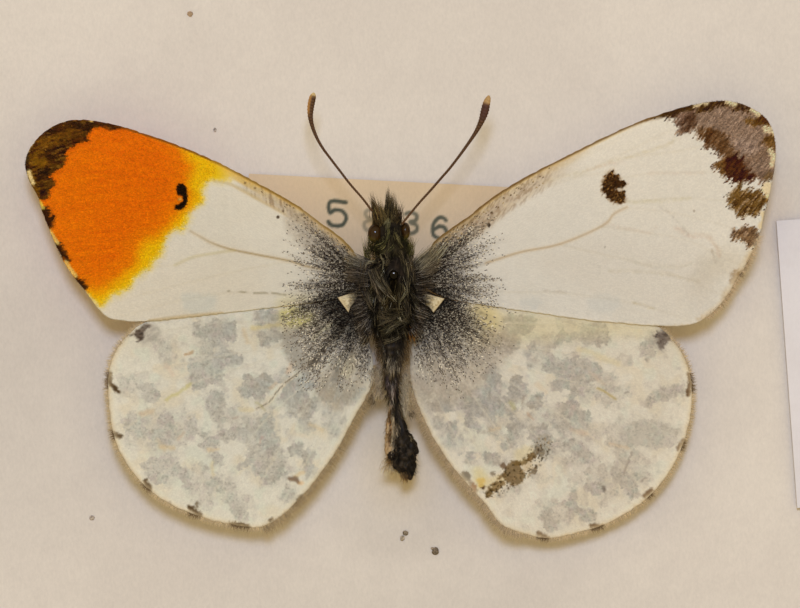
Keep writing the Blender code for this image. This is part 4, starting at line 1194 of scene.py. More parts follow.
def paint_lf(P, far):
    C = ground(P, 401, (209, 199, 178))
    lay(C, 0.5 * smooth(60, 0, area(P, [(110, 300), (150, 292), (230, 285), (228, 312), (150, 320), (112, 318)], 60)), (206, 192, 167))
    # the far wing's marbling seen dimly through the hind part
    for poly in ([(182, 296), (196, 292), (214, 295), (216, 308), (200, 314), (184, 309)],):
        lay(C, 0.55 * smooth(4, -4, area(warp(P, 2.5, 6, 12), poly)), (191, 188, 172))
    vein_tint(C, P, "lf", 4.0)
    # yellow that fades into the white, then orange that fades into the yellow
    Q = warp(P, 2.2, 8.0, 33) + 1.1 * np.stack([grainy(P, 61, 1.6), grainy(P, 62, 1.6)], 1)
    Q = combed(Q, (-1.0, 0.16), 1.1, 1.3, 35)
    yellow = area(Q, LF_YELLOW, 30) + 1.0 * grainy(P, 64, 1.3)
    orange = area(Q, LF_ORANGE, 30) + 0.8 * grainy(P, 66, 1.3)
    lay(C, smooth(8.0, -2.0, yellow) * 0.62, (214, 192, 128))
    lay(C, smooth(3.0, -4.5, yellow), (226, 186, 56))
    lay(C, smooth(0.0, -7.5, yellow), (230, 172, 10))
    # paler where the yellow runs out along the front edge
    lay(C, 0.75 * smooth(206, 236, P[:, 0]) * smooth(4, -4, yellow), (214, 184, 104))
    core = np.tile(np.array([218.0, 103.0, 2.0]), (len(P), 1))
    lay(core, smooth(160, 60, P[:, 0]) * smooth(215, 280, P[:, 1]) * 0.6, (211, 102, 4))
    lay(core, smooth(175, 140, P[:, 1]) * 0.6, (222, 104, 6))
    lay(core, smooth(120, 75, P[:, 0]) * 0.35, (222, 116, 6))
    core += (5.0 * fbm(P[:, 0] / 4, P[:, 1] / 4, 67, 2))[:, None] * np.array([1.0, 0.8, 0.1])
    core += (3.0 * grainy(P, 69, 1.4) + 5.0 * lanes(P, (-1.0, 0.12), 2.4, 26.0, 68))[:, None] * np.array([1.0, 0.8, 0.1])
    lay(core, 0.55 * smooth(-26, -6, orange), (224, 122, 4))
    amber = smooth(8.0, -1.0, orange)
    lay(C, 0.9 * amber, (228, 150, 6))
    m = smooth(2.5, -10.0, orange)
    C = C * (1 - m[:, None]) + core * m[:, None]
    for vein in VEINS["lf"]:
        d, _ = stroke(P, vein, 6.0)
        lay(C, 0.20 * np.exp(-((d / 1.3) ** 2)) * m, (188, 78, 2))
    # dark tip: olive-golden scales with blackish brown patches
    Q = warp(P, 2.0, 4.5, 71) + 0.8 * np.stack([grainy(P, 72, 1.7), grainy(P, 73, 1.7)], 1)
    Q = combed(Q, (-0.95, 0.30), 2.4, 1.2, 75)
    tip = smooth(1.3, -1.3, area(Q, LF_APEX, 20, 3))
    lay(C, 0.45 * smooth(4.5, 0.5, area(Q, LF_APEX, 20, 3)) * smooth(0.0, 0.4, tip + 0.4), (198, 84, 4))
    golden = np.tile(np.array([82.0, 50.0, 7.0]), (len(P), 1))
    lay(golden, smooth(-0.2, 0.5, fbm(P[:, 0] / 8, P[:, 1] / 8, 81, 2)) * 0.6, (100, 62, 8))
    R = combed(warp(P, 1.6, 4.0, 77), (-0.95, 0.30), 2.6, 1.3, 79)
    for poly, rgb, share in (
        ([(35, 148), (44, 138), (58, 135), (62, 141), (56, 147), (46, 147), (40, 152)], (108, 70, 12), 0.6),
        ([(33, 158), (40, 152), (48, 155), (47, 164), (40, 168), (33, 168)], (112, 76, 8), 0.75),
        ([(64, 128), (72, 130), (84, 133), (84, 139), (74, 138), (66, 136)], (102, 64, 10), 0.6),
        ([(32, 174), (37, 182), (42, 192), (46, 198), (40, 199), (35, 190)], (104, 70, 8), 0.7),
        ([(46, 129), (58, 124), (68, 124), (66, 131), (58, 134), (48, 134)], (50, 26, 6), 0.85),
        ([(66, 123), (76, 121), (88, 122), (97, 122), (92, 129), (84, 131), (76, 129), (68, 128)], (42, 22, 6), 0.85),
        ([(70, 140), (80, 138), (88, 141), (78, 143), (72, 147), (69, 146)], (78, 38, 4), 0.8),
        ([(56, 150), (62, 146), (68, 147), (67, 154), (62, 156), (56, 155)], (46, 20, 8), 0.95),
        ([(44, 150), (52, 148), (58, 152), (56, 157), (48, 156)], (58, 32, 10), 0.75),
        ([(36, 172), (42, 168), (50, 168), (49, 174), (42, 178), (38, 184), (36, 178)], (36, 18, 6), 0.95),
        ([(50, 164), (58, 161), (60, 166), (54, 170), (50, 169)], (66, 40, 6), 0.7),
        ([(40, 191), (46, 190), (48, 194), (43, 197), (40, 195)], (34, 12, 14), 0.9),
        ([(42, 182), (52, 180), (52, 188), (46, 190), (41, 188)], (66, 42, 10), 0.6),
        ([(26, 152), (30, 152), (29, 162), (28, 172), (24, 168)], (52, 40, 18), 0.8),
        ([(30, 140), (36, 134), (42, 132), (36, 140), (32, 146)], (62, 42, 6), 0.7),
        ([(97, 119), (112, 122), (124, 127), (126, 131), (110, 129), (98, 129)], (58, 30, 4), 0.85),
    ):
        lay(golden, share * smooth(1.8, -1.8, area(R, poly, 14)), rgb)
    lay(golden, 0.62 * smooth(0.05, 0.5, lanes(P, (-0.95, 0.30), 1.9, 8.0, 86) + 0.5 * fbm(P[:, 0] / 9, P[:, 1] / 9, 87, 2)), (46, 22, 6))
    lay(golden, 0.55 * smooth(0.35, 0.75, lanes(P, (-0.95, 0.30), 1.3, 6.0, 98)), (136, 98, 34))
    golden += (20 * lanes(P, (-0.95, 0.30), 1.2, 6.0, 83) + 9 * lanes(P, (-0.95, 0.30), 3.0, 14.0, 85) + 10 * grainy(P, 84, 1.4))[:, None] * np.array([1.0, 0.66, 0.12])
    C = C * (1 - tip[:, None]) + np.clip(golden, 5, 255) * tip[:, None]
    for poly in LF_SPOTS:
        d = area(Q, poly, 12)
        lay(C, 0.6 * smooth(3.0, 0.0, d), (170, 84, 6))
        lay(C, smooth(1.3, -1.6, d), (66, 38, 8))
        lay(C, 0.5 * smooth(-1.0, -3.0, d), (40, 18, 4))
    # pale strips outside the dark, and the yellow between the spots
    for line, rgb, w, share in (
        ([(28, 151), (30.5, 146), (33, 142)], (208, 182, 132), 2.6, 0.55),
        ([(29.5, 172), (31, 178), (33.5, 183)], (222, 196, 134), 3.4, 0.95),
        ([(38, 200), (41, 204), (43, 208)], (214, 186, 78), 3.0, 0.9),
        ([(50, 231), (55, 239), (58, 243)], (218, 186, 104), 3.2, 0.85),
        ([(66, 262), (72, 271), (76, 276)], (216, 182, 100), 3.4, 0.85),
        ([(85, 292), (91, 299), (97, 305)], (214, 190, 120), 3.0, 0.8),
    ):
        rim, _ = stroke(P, line, 10)
        lay(C, share * smooth(w, 0.9, rim), rgb)
    # the black comma on the crossvein
    D = P + 0.7 * np.stack([grainy(P, 91, 1.4), grainy(P, 92, 1.4)], 1)
    lay(C, smooth(0.9, -0.9, area(D, LF_DISCAL, 8)), (24, 11, 4))
    lay(C, 0.85 * smooth(2.6, 1.0, np.hypot(P[:, 0] - 180, (P[:, 1] - 199.3) * 1.25)), (196, 152, 76))
    # front edge: a golden band with brown flecks, dark at its very rim
    edge_line = catmull(plan_px(LEFT_FOREWING[:13]), False, 8)
    d, along = line_distance(P, edge_line)
    band = smooth(9.5, 4.0, d) * smooth(206, 256, P[:, 0])
    lay(C, band * (0.62 + 0.20 * grainy(P, 88, 2.2)), (200, 164, 100))
    lay(C, 0.75 * smooth(9.5, 6.0, d) * smooth(226, 240, P[:, 0]) * smooth(276, 252, P[:, 0]), (208, 168, 84))
    strip = smooth(15.5, 11.0, d) * smooth(236, 262, P[:, 0]) * smooth(352, 340, P[:, 0])
    lay(C, 0.55 * strip * smooth(3.0, 6.0, d), (186, 164, 130))
    rows = lanes(P, (0.12, 1.0), 1.15, 9.0, 94)
    lay(C, 0.72 * smooth(0.10, 0.55, rows) * strip, (138, 112, 82))
    lay(C, 0.50 * smooth(0.25, 0.7, -rows) * strip, (216, 196, 152))
    lay(C, 0.45 * np.exp(-(((d - 13.5) / 1.6) ** 2)) * smooth(222, 240, P[:, 0]) * smooth(300, 276, P[:, 0]), (186, 156, 104))
    lay(C, smooth(15, 6, d) * smooth(228, 262, P[:, 0]) * 0.35 * (0.5 + 0.5 * smooth(-0.2, 0.5, fbm(P[:, 0] / 3, P[:, 1] / 3, 89, 2))), (150, 138, 122))
    flecks = smooth(0.25, 0.6, fbm(P[:, 0] / 2.3, P[:, 1] / 2.3, 90, 2)) * smooth(13, 3, d) * smooth(215, 255, P[:, 0])
    lay(C, 0.45 * flecks * smooth(262, 300, P[:, 0]), (112, 92, 64))
    lay(C, 0.9 * smooth(2.1, 0.5, d) * smooth(104, 140, P[:, 0]) * smooth(240, 200, P[:, 0]), (112, 72, 24))
    lay(C, 0.9 * smooth(2.5, 0.6, d) * smooth(200, 240, P[:, 0]), (134, 101, 46))
    lay(C, smooth(3.4, 1.6, d) * smooth(1.2, 1.9, d) * smooth(130, 200, P[:, 0]) * 0.4, (206, 158, 62))
    lay(C, 0.85 * smooth(3.4, 1.4, np.hypot(P[:, 0] - 91.5, (P[:, 1] - 121.2) * 1.7)), (206, 168, 96))
    lay(C, 0.6 * smooth(3.0, 1.0, np.hypot(P[:, 0] - 64, (P[:, 1] - 122.2) * 1.7)), (186, 150, 104))
    # the rib that stays visible, and lesser lines
    d, along = stroke(P, [(190, 231), (200, 236.5), (210, 242), (220, 246), (232, 249.6), (246, 252.5), (262, 255.6), (290, 261), (306, 266), (334, 271)], 8)
    lay(C, (0.30 + 0.42 * smooth(0.05, 0.5, along)) * smooth(1.5, 0.3, d), (142, 120, 82))
    lay(C, 0.22 * smooth(4.0, 1.0, d), (202, 178, 140))
    d, _ = stroke(P, [(175, 265), (193, 257), (215, 253), (234, 250)], 8)
    lay(C, 0.30 * smooth(2.6, 0.5, d), (186, 170, 118))
    d, along = stroke(P, [(228, 291), (238, 291.5), (252, 293), (272, 293), (292, 296)], 8)
    lay(C, 0.50 * smooth(1.6, 0.3, d) * smooth(-0.3, 0.2, vnoise(P[:, 0] / 3.0, P[:, 1] / 9, 93)), (128, 116, 88))
    # painted shadow: a tan line along the hind margin stands for the shadow this edge casts on the hindwing
    d, _ = stroke(P, [(150, 321), (190, 316), (222, 313.5)], 8)
    lay(C, 0.55 * smooth(3.0, 0.8, d), (178, 152, 108))
    d, _ = stroke(P, [(214, 181), (230, 184), (244, 190), (258, 199)], 8)
    lay(C, 0.30 * smooth(2.4, 0.5, d), (176, 158, 116))
    for x, y, r, rgb in ((278, 217, 1.6, (60, 48, 36)), (283, 211, 1.2, (96, 80, 62)), (302, 215, 1.1, (96, 80, 62)), (308, 216, 1.0, (104, 88, 66)), (179.5, 157, 1.1, (178, 74, 4)), (245, 183, 1.2, (120, 96, 60)), (255, 188, 1.2, (124, 100, 66))):
        lay(C, 0.9 * smooth(r + 0.6, r - 0.6, np.hypot(P[:, 0] - x, P[:, 1] - y)), rgb)
    lay(C, 0.45 * smooth(10, -8, area(P, [(280, 302), (300, 297), (318, 300), (316, 312), (285, 316)], 20)), (214, 196, 130))
    m = smooth(7, -3, area(warp(P, 2.0, 4.0, 163), [(292, 211), (318, 222), (336, 238), (346, 256), (322, 258), (304, 244), (288, 226)], 12))
    lay(C, 0.45 * m, (158, 143, 122))
    C += (m * 15.0 * grainy(P, 165, 1.4))[:, None]
    roots(C, P, -1, False)
    d, along = line_distance(P, edge_line)
    near_root = smooth(296, 326, P[:, 0])
    lay(C, 0.85 * smooth(6.5, 3.0, d) * near_root, (184, 158, 118))
    lay(C, 0.55 * smooth(6.5, 3.0, d) * near_root * smooth(0.1, 0.7, rows), (138, 112, 78))
    lay(C, 0.9 * smooth(2.3, 0.7, d) * near_root, (138, 110, 62))
    return np.clip(C, 4, 245)


def paint_rf(P, far):
    C = ground(P, 431, (210, 200, 182))
    lay(C, 0.55 * smooth(70, 0, area(P, [(640, 120), (670, 140), (705, 170), (720, 200), (728, 230), (700, 205), (640, 190), (620, 150)], 70)), (217, 205, 184))
    lay(C, 0.5 * smooth(20, -20, area(P, [(540, 262), (600, 240), (690, 250), (720, 280), (690, 315), (600, 300)], 40)), (205, 193, 174))
    for poly in ([(588, 299), (602, 295), (618, 297), (621, 308), (606, 314), (590, 310)], [(520, 300), (534, 297), (544, 303), (536, 310), (522, 309)]):
        lay(C, 0.5 * smooth(3, -4, area(warp(P, 2.5, 6, 12), poly)), (196, 191, 178))
    vein_tint(C, P, "rf", 4.0)
    way = (-0.62, 0.78)
    Q = warp(P, 1.8, 5.0, 131) + 0.6 * np.stack([grainy(P, 132, 1.7), grainy(P, 133, 1.7)], 1)
    Q = combed(Q, way, 4.2, 1.15, 134)
    tip = smooth(1.0, -1.8, area(Q, RF_APEX, 20, 3))
    streak = lanes(P, way, 1.15, 8.0, 141)
    broad = lanes(P, way, 2.6, 14.0, 142)
    dark = np.tile(np.array([126.0, 99.0, 76.0]), (len(P), 1))
    for poly, rgb, share in (
        ([(696, 112), (716, 109), (738, 112), (756, 118), (762, 132), (764, 146), (752, 156), (738, 152), (724, 140), (706, 130), (694, 122)], (136, 111, 90), 0.85),
        ([(736, 140), (750, 140), (756, 150), (748, 156), (738, 152)], (140, 116, 98), 0.7),
        ([(652, 116), (668, 109), (680, 104), (698, 102), (694, 109), (684, 112), (674, 117), (664, 118)], (64, 40, 10), 0.95),
        ([(674, 116), (686, 112), (694, 112), (690, 122), (682, 130), (676, 128), (676, 120)], (98, 72, 56), 0.75),
        ([(684, 118), (692, 114), (697, 118), (694, 128), (688, 132), (682, 130)], (62, 36, 18), 0.7),
        ([(696, 112), (703, 104), (712, 100), (728, 100), (726, 106), (714, 108), (704, 112)], (62, 38, 8), 0.95),
        ([(732, 108), (736, 103), (744, 105), (753, 109), (750, 112), (740, 111)], (64, 38, 10), 0.95),
        ([(746, 118), (756, 119), (762, 112), (770, 122), (770, 127), (758, 126), (748, 124)], (92, 60, 16), 0.85),
        ([(759, 116), (764, 114), (768, 121), (764, 125), (759, 121)], (84, 50, 4), 0.8),
        ([(764, 138), (776, 134), (777, 146), (770, 149), (764, 145)], (88, 56, 14), 0.85),
        ([(696, 130), (710, 128), (726, 136), (732, 148), (736, 158), (726, 160), (718, 153), (706, 146), (698, 138)], (92, 62, 34), 0.85),
        ([(702, 132), (712, 130), (716, 138), (712, 144), (704, 140)], (84, 52, 24), 0.7),
        ([(712, 164), (722, 160), (726, 168), (722, 178), (716, 172)], (96, 62, 22), 0.8),
        ([(725, 160), (732, 156), (742, 160), (746, 168), (754, 176), (752, 182), (738, 185), (728, 180), (724, 170)], (66, 32, 8), 1.0),
        ([(742, 162), (750, 161), (752, 168), (746, 170)], (88, 62, 44), 0.6),
        ([(752, 162), (772, 160), (774, 172), (766, 182), (754, 178)], (124, 100, 80), 0.75),
        ([(764, 176), (772, 170), (772, 180), (766, 183)], (100, 74, 40), 0.7),
    ):
        lay(dark, share * smooth(2.4, -2.2, area(Q, poly, 14)), rgb)
    dark += (20 * streak + 9 * broad + 8 * grainy(P, 143, 1.5))[:, None] * np.array([1.0, 0.92, 0.82])
    # thin pale lanes between the hairs of the inner part
    thin = smooth(0.45, 0.85, streak) * smooth(-14, -1, area(Q, RF_APEX, 20, 3)) * smooth(2.0, -1.5, area(P, [(668, 108), (700, 108), (704, 128), (716, 146), (704, 148), (690, 134), (670, 134)], 14))
    C = C * (1 - tip[:, None]) + np.clip(dark, 12, 255) * tip[:, None]
    lay(C, 0.55 * thin, (196, 180, 158))
    for poly, rgb in ((RF_SPOT2, (94, 66, 28)), (RF_SPOT3, (110, 82, 54))):
        inner = area(Q, poly, 12, 3)
        m = smooth(1.6, -2.4, inner)
        spot = np.array(rgb, float) + (30 * streak + 12 * grainy(P, 144, 1.4))[:, None] * np.array([1.0, 0.9, 0.6])
        lay(spot, 0.6 * smooth(0.30, 0.75, lanes(P, way, 1.25, 7.0, 148)), (168, 140, 108))
        C = C * (1 - m[:, None]) + np.clip(spot, 16, 255) * m[:, None]
    D = combed(P + 1.2 * np.stack([grainy(P, 146, 1.4), grainy(P, 147, 1.4)], 1), (-0.62, 0.78), 2.6, 1.2, 149)
    d = area(D, RF_DISCAL, 8)
    lay(C, 0.30 * smooth(3.4, 0.0, d), (168, 138, 100))
    lay(C, 0.90 * smooth(1.8, -1.8, d), (92, 58, 24))
    lay(C, 0.85 * smooth(0.4, -2.4, d + 1.9 * grainy(P, 152, 1.5)), (44, 26, 8))
    lay(C, 0.35 * smooth(0.3, 0.75, grainy(P, 155, 1.5)) * smooth(1.0, -1.0, d), (104, 82, 50))
    lay(C, 0.5 * smooth(2, -2, area(Q, [(730, 273), (740, 272), (740, 282), (732, 282)], 8)), (128, 98, 66))
    # pale fringe, broken by the dark marks at the vein ends
    rim_line = catmull(plan_px(RIGHT_FOREWING[10:25]), False, 8)
    d, along = line_distance(P, rim_line)
    for line, w in (
        ([(694, 106), (700, 103.5), (706, 103)], 3.6), ([(727, 101), (731, 102), (734, 104)], 4.6), ([(752, 110), (755, 111.5), (758, 114)], 4.2),
        ([(764, 130), (771, 130), (774, 133)], 5.2), ([(769, 151), (773, 157), (771, 165)], 4.2), ([(763, 189), (769, 186), (768, 196)], 5.4),
        ([(763, 214), (765, 220), (761, 226)], 4.8), ([(756, 250), (752, 256), (750, 262)], 4.2),
    ):
        s, _ = stroke(Q * 0.35 + P * 0.65, line, 10)
        lay(C, 0.88 * smooth(w, w * 0.42, s) * smooth(11, 7, d), (214, 190, 146))
    # brownish, worn outer margin below the dark marks
    low_rim = smooth(228, 246, P[:, 1])
    lay(C, smooth(7.0, 1.0, d + 1.5 * fbm(P[:, 0] / 6, P[:, 1] / 6, 157, 2)) * low_rim * 0.5, (208, 186, 148))
    lay(C, smooth(3.2, 0.2, d + 1.2 * fbm(P[:, 0] / 4, P[:, 1] / 4, 158, 2)) * low_rim * 0.36, (196, 168, 126))
    for x, y, wx, wy, share in ((738, 275, 5.0, 7.0, 0.75), (704, 320, 9.0, 5.5, 0.7), (686, 327, 9.0, 4.0, 0.5), (725, 296, 5.0, 9.0, 0.45), (749, 257, 4.0, 6.0, 0.4)):
        q = np.hypot((P[:, 0] - x) / wx, (P[:, 1] - y) / wy) + 0.35 * grainy(P, 159, 1.8)
        lay(C, share * 0.55 * smooth(1.25, 0.35, q), (180, 152, 112))
        lay(C, share * 0.55 * smooth(0.7, 0.1, q) * smooth(-0.3, 0.5, grainy(P, 160, 1.6)), (132, 100, 62))
    # front edge
    d, along = line_distance(P, catmull(plan_px(RIGHT_FOREWING[:12]), False, 8))
    band = smooth(10.5, 5.0, d) * smooth(604, 540, P[:, 0])
    lay(C, band * (0.42 + 0.3 * grainy(P, 151, 2.2)), (192, 166, 116))
    strip = smooth(25, 15, d) * smooth(575, 525, P[:, 0])
    rows = lanes(P, (-0.55, 0.84), 0.95, 4.4, 161)
    lay(C, 0.62 * smooth(22, 12, d) * smooth(590, 530, P[:, 0]), (192, 171, 140))
    lay(C, 0.72 * strip * smooth(525, 490, P[:, 0]) * (0.8 + 0.3 * rows), (166, 143, 111))
    lay(C, 0.62 * smooth(0.0, 0.50, rows) * strip, (140, 114, 86))
    lay(C, 0.45 * smooth(0.15, 0.6, -rows) * strip, (210, 190, 156))
    lay(C, 0.45 * smooth(9.0, 4.0, d) * smooth(520, 545, P[:, 0]) * smooth(600, 570, P[:, 0]) * (0.7 + 0.4 * rows), (190, 160, 118))
    lay(C, 0.55 * smooth(24, 8, d) * smooth(5, 9, d) * smooth(585, 500, P[:, 0]) * (0.75 + 0.5 * fbm(P[:, 0] / 5, P[:, 1] / 5, 154, 2)), (180, 162, 142))
    flecks = smooth(0.2, 0.55, fbm(P[:, 0] / 2.3, P[:, 1] / 2.3, 153, 2)) * smooth(20, 5, d) * smooth(575, 520, P[:, 0])
    lay(C, 0.4 * flecks, (116, 96, 74))
    lay(C, smooth(2.3, 0.6, d) * 0.86, (108, 80, 42))
    lay(C, smooth(3.6, 1.8, d) * smooth(1.3, 2.1, d) * 0.45 * smooth(680, 600, P[:, 0]), (208, 168, 92))
    lay(C, smooth(5.0, 1.5, d) * smooth(646, 672, P[:, 0]) * smooth(700, 690, P[:, 0]), (64, 40, 12))
    # ribs and old creases
    d, along = stroke(P, [(486, 263), (521, 252), (560, 244), (602, 226), (614, 214), (627, 207)], 8)
    lay(C, (0.55 - 0.25 * along) * smooth(1.5, 0.3, d), (158, 128, 90))
    lay(C, 0.25 * smooth(3.4, 0.8, d), (200, 176, 140))
    for line, share, rgb, w in (
        ([(543, 182), (588, 170), (621, 159), (660, 148), (676, 138)], 0.30, (184, 166, 122), 2.6),
        ([(588, 170), (608, 164), (624, 163)], 0.22, (196, 160, 140), 2.4),
        ([(649, 173), (704, 173)], 0.25, (198, 172, 148), 2.8),
        ([(627, 202), (656, 201), (690, 198)], 0.32, (184, 170, 122), 2.8),
        ([(604, 223), (646, 232), (656, 228)], 0.28, (188, 162, 134), 2.8),
        ([(660, 207), (674, 218), (688, 234)], 0.34, (158, 146, 130), 2.0),
        ([(676, 228), (690, 236), (706, 236), (716, 246), (720, 256)], 0.36, (190, 158, 130), 3.6),
        ([(610, 272), (649, 273), (699, 282)], 0.28, (174, 160, 130), 2.4),
        ([(624, 259), (646, 265), (679, 268), (690, 264)], 0.26, (172, 162, 134), 2.4),
        ([(543, 291), (566, 292)], 0.35, (156, 142, 122), 1.8),
        ([(634, 303), (654, 309)], 0.40, (174, 156, 114), 2.0),
        ([(590, 262), (600, 268), (598, 276)], 0.24, (164, 154, 134), 1.6),
        ([(712, 250), (716, 262)], 0.40, (134, 114, 92), 1.8),
        ([(480, 315), (560, 320), (640, 326), (690, 326)], 0.45, (190, 164, 116), 2.6),
    ):
        d, _ = stroke(warp(P, 1.2, 4.0, 156), line, 9)
        lay(C, 0.85 * share * smooth(w * 1.25, 0.0, d) * (0.62 + 0.55 * grainy(P, 155, 2.2)), rgb)
    for x, y, r, rgb in ((489, 225, 2.4, (56, 46, 36)), (492, 213, 1.6, (100, 82, 60)), (694, 211, 1.1, (160, 142, 120)), (605, 247, 1.0, (158, 144, 124))):
        lay(C, smooth(r + 0.7, r - 0.7, np.abs(P[:, 0] - x) * 1.1 + np.abs(P[:, 1] - y) * 0.85), rgb)
    roots(C, P, 1, False)
    d, along = line_distance(P, catmull(plan_px(RIGHT_FOREWING[:12]), False, 8))
    near_root = smooth(486, 462, P[:, 0])
    lay(C, 0.55 * smooth(8.0, 4.5, d) * near_root, (152, 128, 94))
    lay(C, 0.50 * smooth(8.0, 4.5, d) * near_root * smooth(0.1, 0.7, rows), (116, 94, 62))
    lay(C, 0.7 * smooth(4.2, 2.8, d) * smooth(1.4, 2.4, d) * near_root, (178, 156, 122))
    lay(C, 0.9 * smooth(2.0, 0.7, d) * near_root, (118, 92, 54))
    return np.clip(C, 4, 245)


# ----------------------------------------------------------- hindwing markings
LH_BLOTCH = [
    [(192, 323), (200, 321), (206, 324), (214, 320), (222, 322), (228, 319), (236, 321), (238, 330), (237, 341), (230, 342), (224, 337), (222, 345), (216, 349), (210, 345), (208, 337), (200, 338), (193, 335)],
    [(255, 312), (262, 309), (272, 309), (280, 312), (280, 320), (276, 325), (262, 325), (255, 320)],
    [(258, 331), (264, 330), (268, 334), (269, 346), (264, 349), (259, 345)],
    [(271, 335), (278, 330), (284, 333), (281, 338), (279, 345), (274, 344)],
    [(189, 360), (196, 356), (200, 362), (206, 354), (214, 352), (220, 350), (228, 350), (236, 354), (243, 360), (240, 366), (230, 367), (224, 366), (222, 372), (225, 379), (218, 383), (210, 382), (206, 388), (200, 390), (193, 388), (191, 382), (187, 376), (187, 367)],
    [(220, 383), (225, 384), (225, 392), (224, 400), (223, 408), (226, 414), (222, 420), (218, 424), (213, 420), (209, 413), (205, 408), (205, 400), (207, 396), (212, 391), (220, 389)],
    [(242, 378), (247, 374), (256, 377), (262, 373), (270, 375), (273, 381), (272, 391), (266, 394), (262, 400), (252, 400), (243, 399), (240, 390)],
    [(281, 388), (288, 382), (296, 377), (306, 375), (314, 378), (319, 383), (316, 390), (311, 388), (307, 391), (309, 397), (314, 396), (320, 400), (319, 408), (314, 414), (312, 419), (304, 422), (300, 416), (298, 410), (290, 408), (284, 402), (280, 398), (284, 394)],
    [(319, 383), (326, 378), (338, 378), (346, 380), (356, 386), (366, 390), (364, 396), (356, 400), (346, 402), (336, 402), (326, 402), (320, 398)],
    [(257, 416), (264, 412), (270, 414), (274, 420), (276, 428), (280, 436), (281, 448), (276, 456), (268, 460), (262, 456), (262, 448), (260, 440), (256, 434), (258, 426)],
    [(240, 428), (248, 424), (255, 428), (254, 438), (246, 442), (240, 438)],
    [(222, 430), (230, 427), (238, 430), (238, 438), (230, 441), (223, 440)],
    [(200, 434), (208, 433), (216, 435), (221, 434), (220, 441), (218, 449), (209, 448), (201, 449)],
    [(187, 420), (193, 414), (197, 418), (197, 428), (194, 434), (195, 441), (189, 442), (186, 434), (184, 428)],
    [(121, 417), (132, 414), (142, 416), (146, 422), (140, 430), (150, 430), (160, 428), (158, 420), (160, 413), (168, 411), (175, 414), (176, 424), (172, 430), (177, 435), (176, 444), (168, 445), (160, 440), (148, 437), (138, 437), (128, 434), (122, 428)],
    [(136, 384), (142, 380), (150, 384), (158, 386), (161, 392), (158, 398), (152, 404), (146, 402), (142, 396), (138, 392)],
    [(144, 464), (150, 458), (160, 454), (170, 456), (178, 456), (181, 462), (184, 470), (180, 478), (170, 476), (168, 484), (160, 487), (152, 484), (148, 478), (144, 472)],
    [(181, 468), (187, 466), (191, 474), (193, 484), (191, 493), (185, 490), (181, 480)],
    [(207, 480), (214, 476), (221, 478), (224, 486), (220, 496), (212, 497), (206, 492), (204, 485)],
    [(211, 456), (216, 452), (222, 455), (222, 462), (216, 466), (211, 463)],
    [(237, 466), (243, 460), (248, 454), (254, 449), (256, 456), (252, 464), (246, 468), (240, 469)],
    [(256, 462), (264, 460), (272, 459), (280, 461), (286, 466), (286, 474), (280, 478), (276, 482), (270, 487), (264, 483), (258, 476), (254, 470)],
    [(286, 448), (292, 443), (300, 440), (303, 446), (300, 453), (294, 457), (288, 454)],
    [(303, 450), (309, 447), (314, 453), (313, 461), (307, 463), (303, 458)],
    [(303, 468), (311, 465), (318, 469), (315, 476), (308, 478), (303, 475)],
    [(280, 488), (286, 484), (293, 487), (299, 492), (297, 499), (288, 501), (281, 498)],
    [(225, 496), (233, 493), (240, 495), (241, 503), (244, 509), (250, 514), (250, 521), (241, 523), (234, 517), (230, 511), (226, 505)],
]
LH_FAINT = [
    [(119, 380), (128, 377), (134, 381), (132, 390), (124, 393)],
    [(127, 436), (140, 436), (141, 446), (131, 448)],
    [(289, 330), (300, 327), (308, 335), (305, 350), (301, 362), (296, 368), (291, 360), (290, 348), (292, 340)],
    [(147, 328), (154, 325), (160, 333), (164, 344), (160, 354), (152, 348), (148, 338)],
    [(274, 372), (284, 370), (288, 376), (282, 383), (275, 382)],
    [(214, 420), (225, 418), (226, 428), (222, 434), (214, 434)],
    [(319, 404), (332, 402), (342, 405), (345, 412), (338, 420), (332, 428), (324, 426), (319, 416)],
    [(241, 415), (256, 415), (256, 424), (243, 424)],
    [(192, 469), (204, 468), (212, 476), (208, 486), (198, 486), (193, 478)],
    [(197, 495), (210, 494), (216, 503), (210, 510), (200, 508)],
    [(241, 497), (251, 498), (252, 508), (244, 511)],
    [(256, 400), (268, 402), (276, 408), (272, 414), (260, 412)],
    [(218, 372), (229, 373), (229, 379), (221, 382)],
    [(302, 424), (310, 422), (313, 430), (306, 434)],
    [(131, 372), (146, 373), (146, 380), (133, 380)],
    [(160, 352), (172, 350), (178, 358), (166, 364)],
    [(288, 466), (295, 467), (294, 475), (288, 474)],
    [(142, 412), (150, 409), (161, 413), (162, 424), (158, 434), (147, 436), (140, 428)],
    [(126, 430), (148, 434), (166, 440), (176, 444), (177, 456), (152, 457), (146, 448), (128, 446)],
    [(198, 336), (207, 338), (207, 352), (200, 354)],
    [(213, 346), (222, 342), (230, 345), (228, 353), (214, 354)],
    [(238, 412), (258, 412), (262, 430), (262, 444), (246, 444), (238, 440)],
    [(250, 448), (262, 440), (282, 446), (288, 462), (284, 486), (262, 486), (252, 470)],
    [(298, 364), (312, 362), (320, 372), (318, 382), (302, 380)],
    [(276, 396), (284, 392), (292, 404), (300, 414), (296, 420), (284, 410)],
    [(296, 414), (308, 416), (316, 424), (312, 434), (300, 428)],
    [(344, 384), (358, 388), (366, 394), (358, 404), (344, 404)],
    [(190, 462), (206, 464), (210, 480), (208, 500), (198, 506), (190, 492)],
    [(150, 330), (160, 330), (170, 344), (176, 360), (164, 366), (154, 350)],
    [(221, 476), (232, 474), (240, 492), (230, 498), (222, 492)],
    [(118, 378), (138, 376), (146, 396), (136, 402), (122, 394)],
    [(176, 412), (188, 410), (190, 430), (184, 446), (176, 438)],
    [(256, 325), (280, 324), (284, 332), (262, 336)],
    [(225, 408), (242, 406), (244, 420), (228, 424)],
    [(330, 426), (342, 420), (348, 428), (338, 440), (330, 436)],
    [(286, 340), (296, 334), (304, 352), (300, 368), (290, 366)],
]
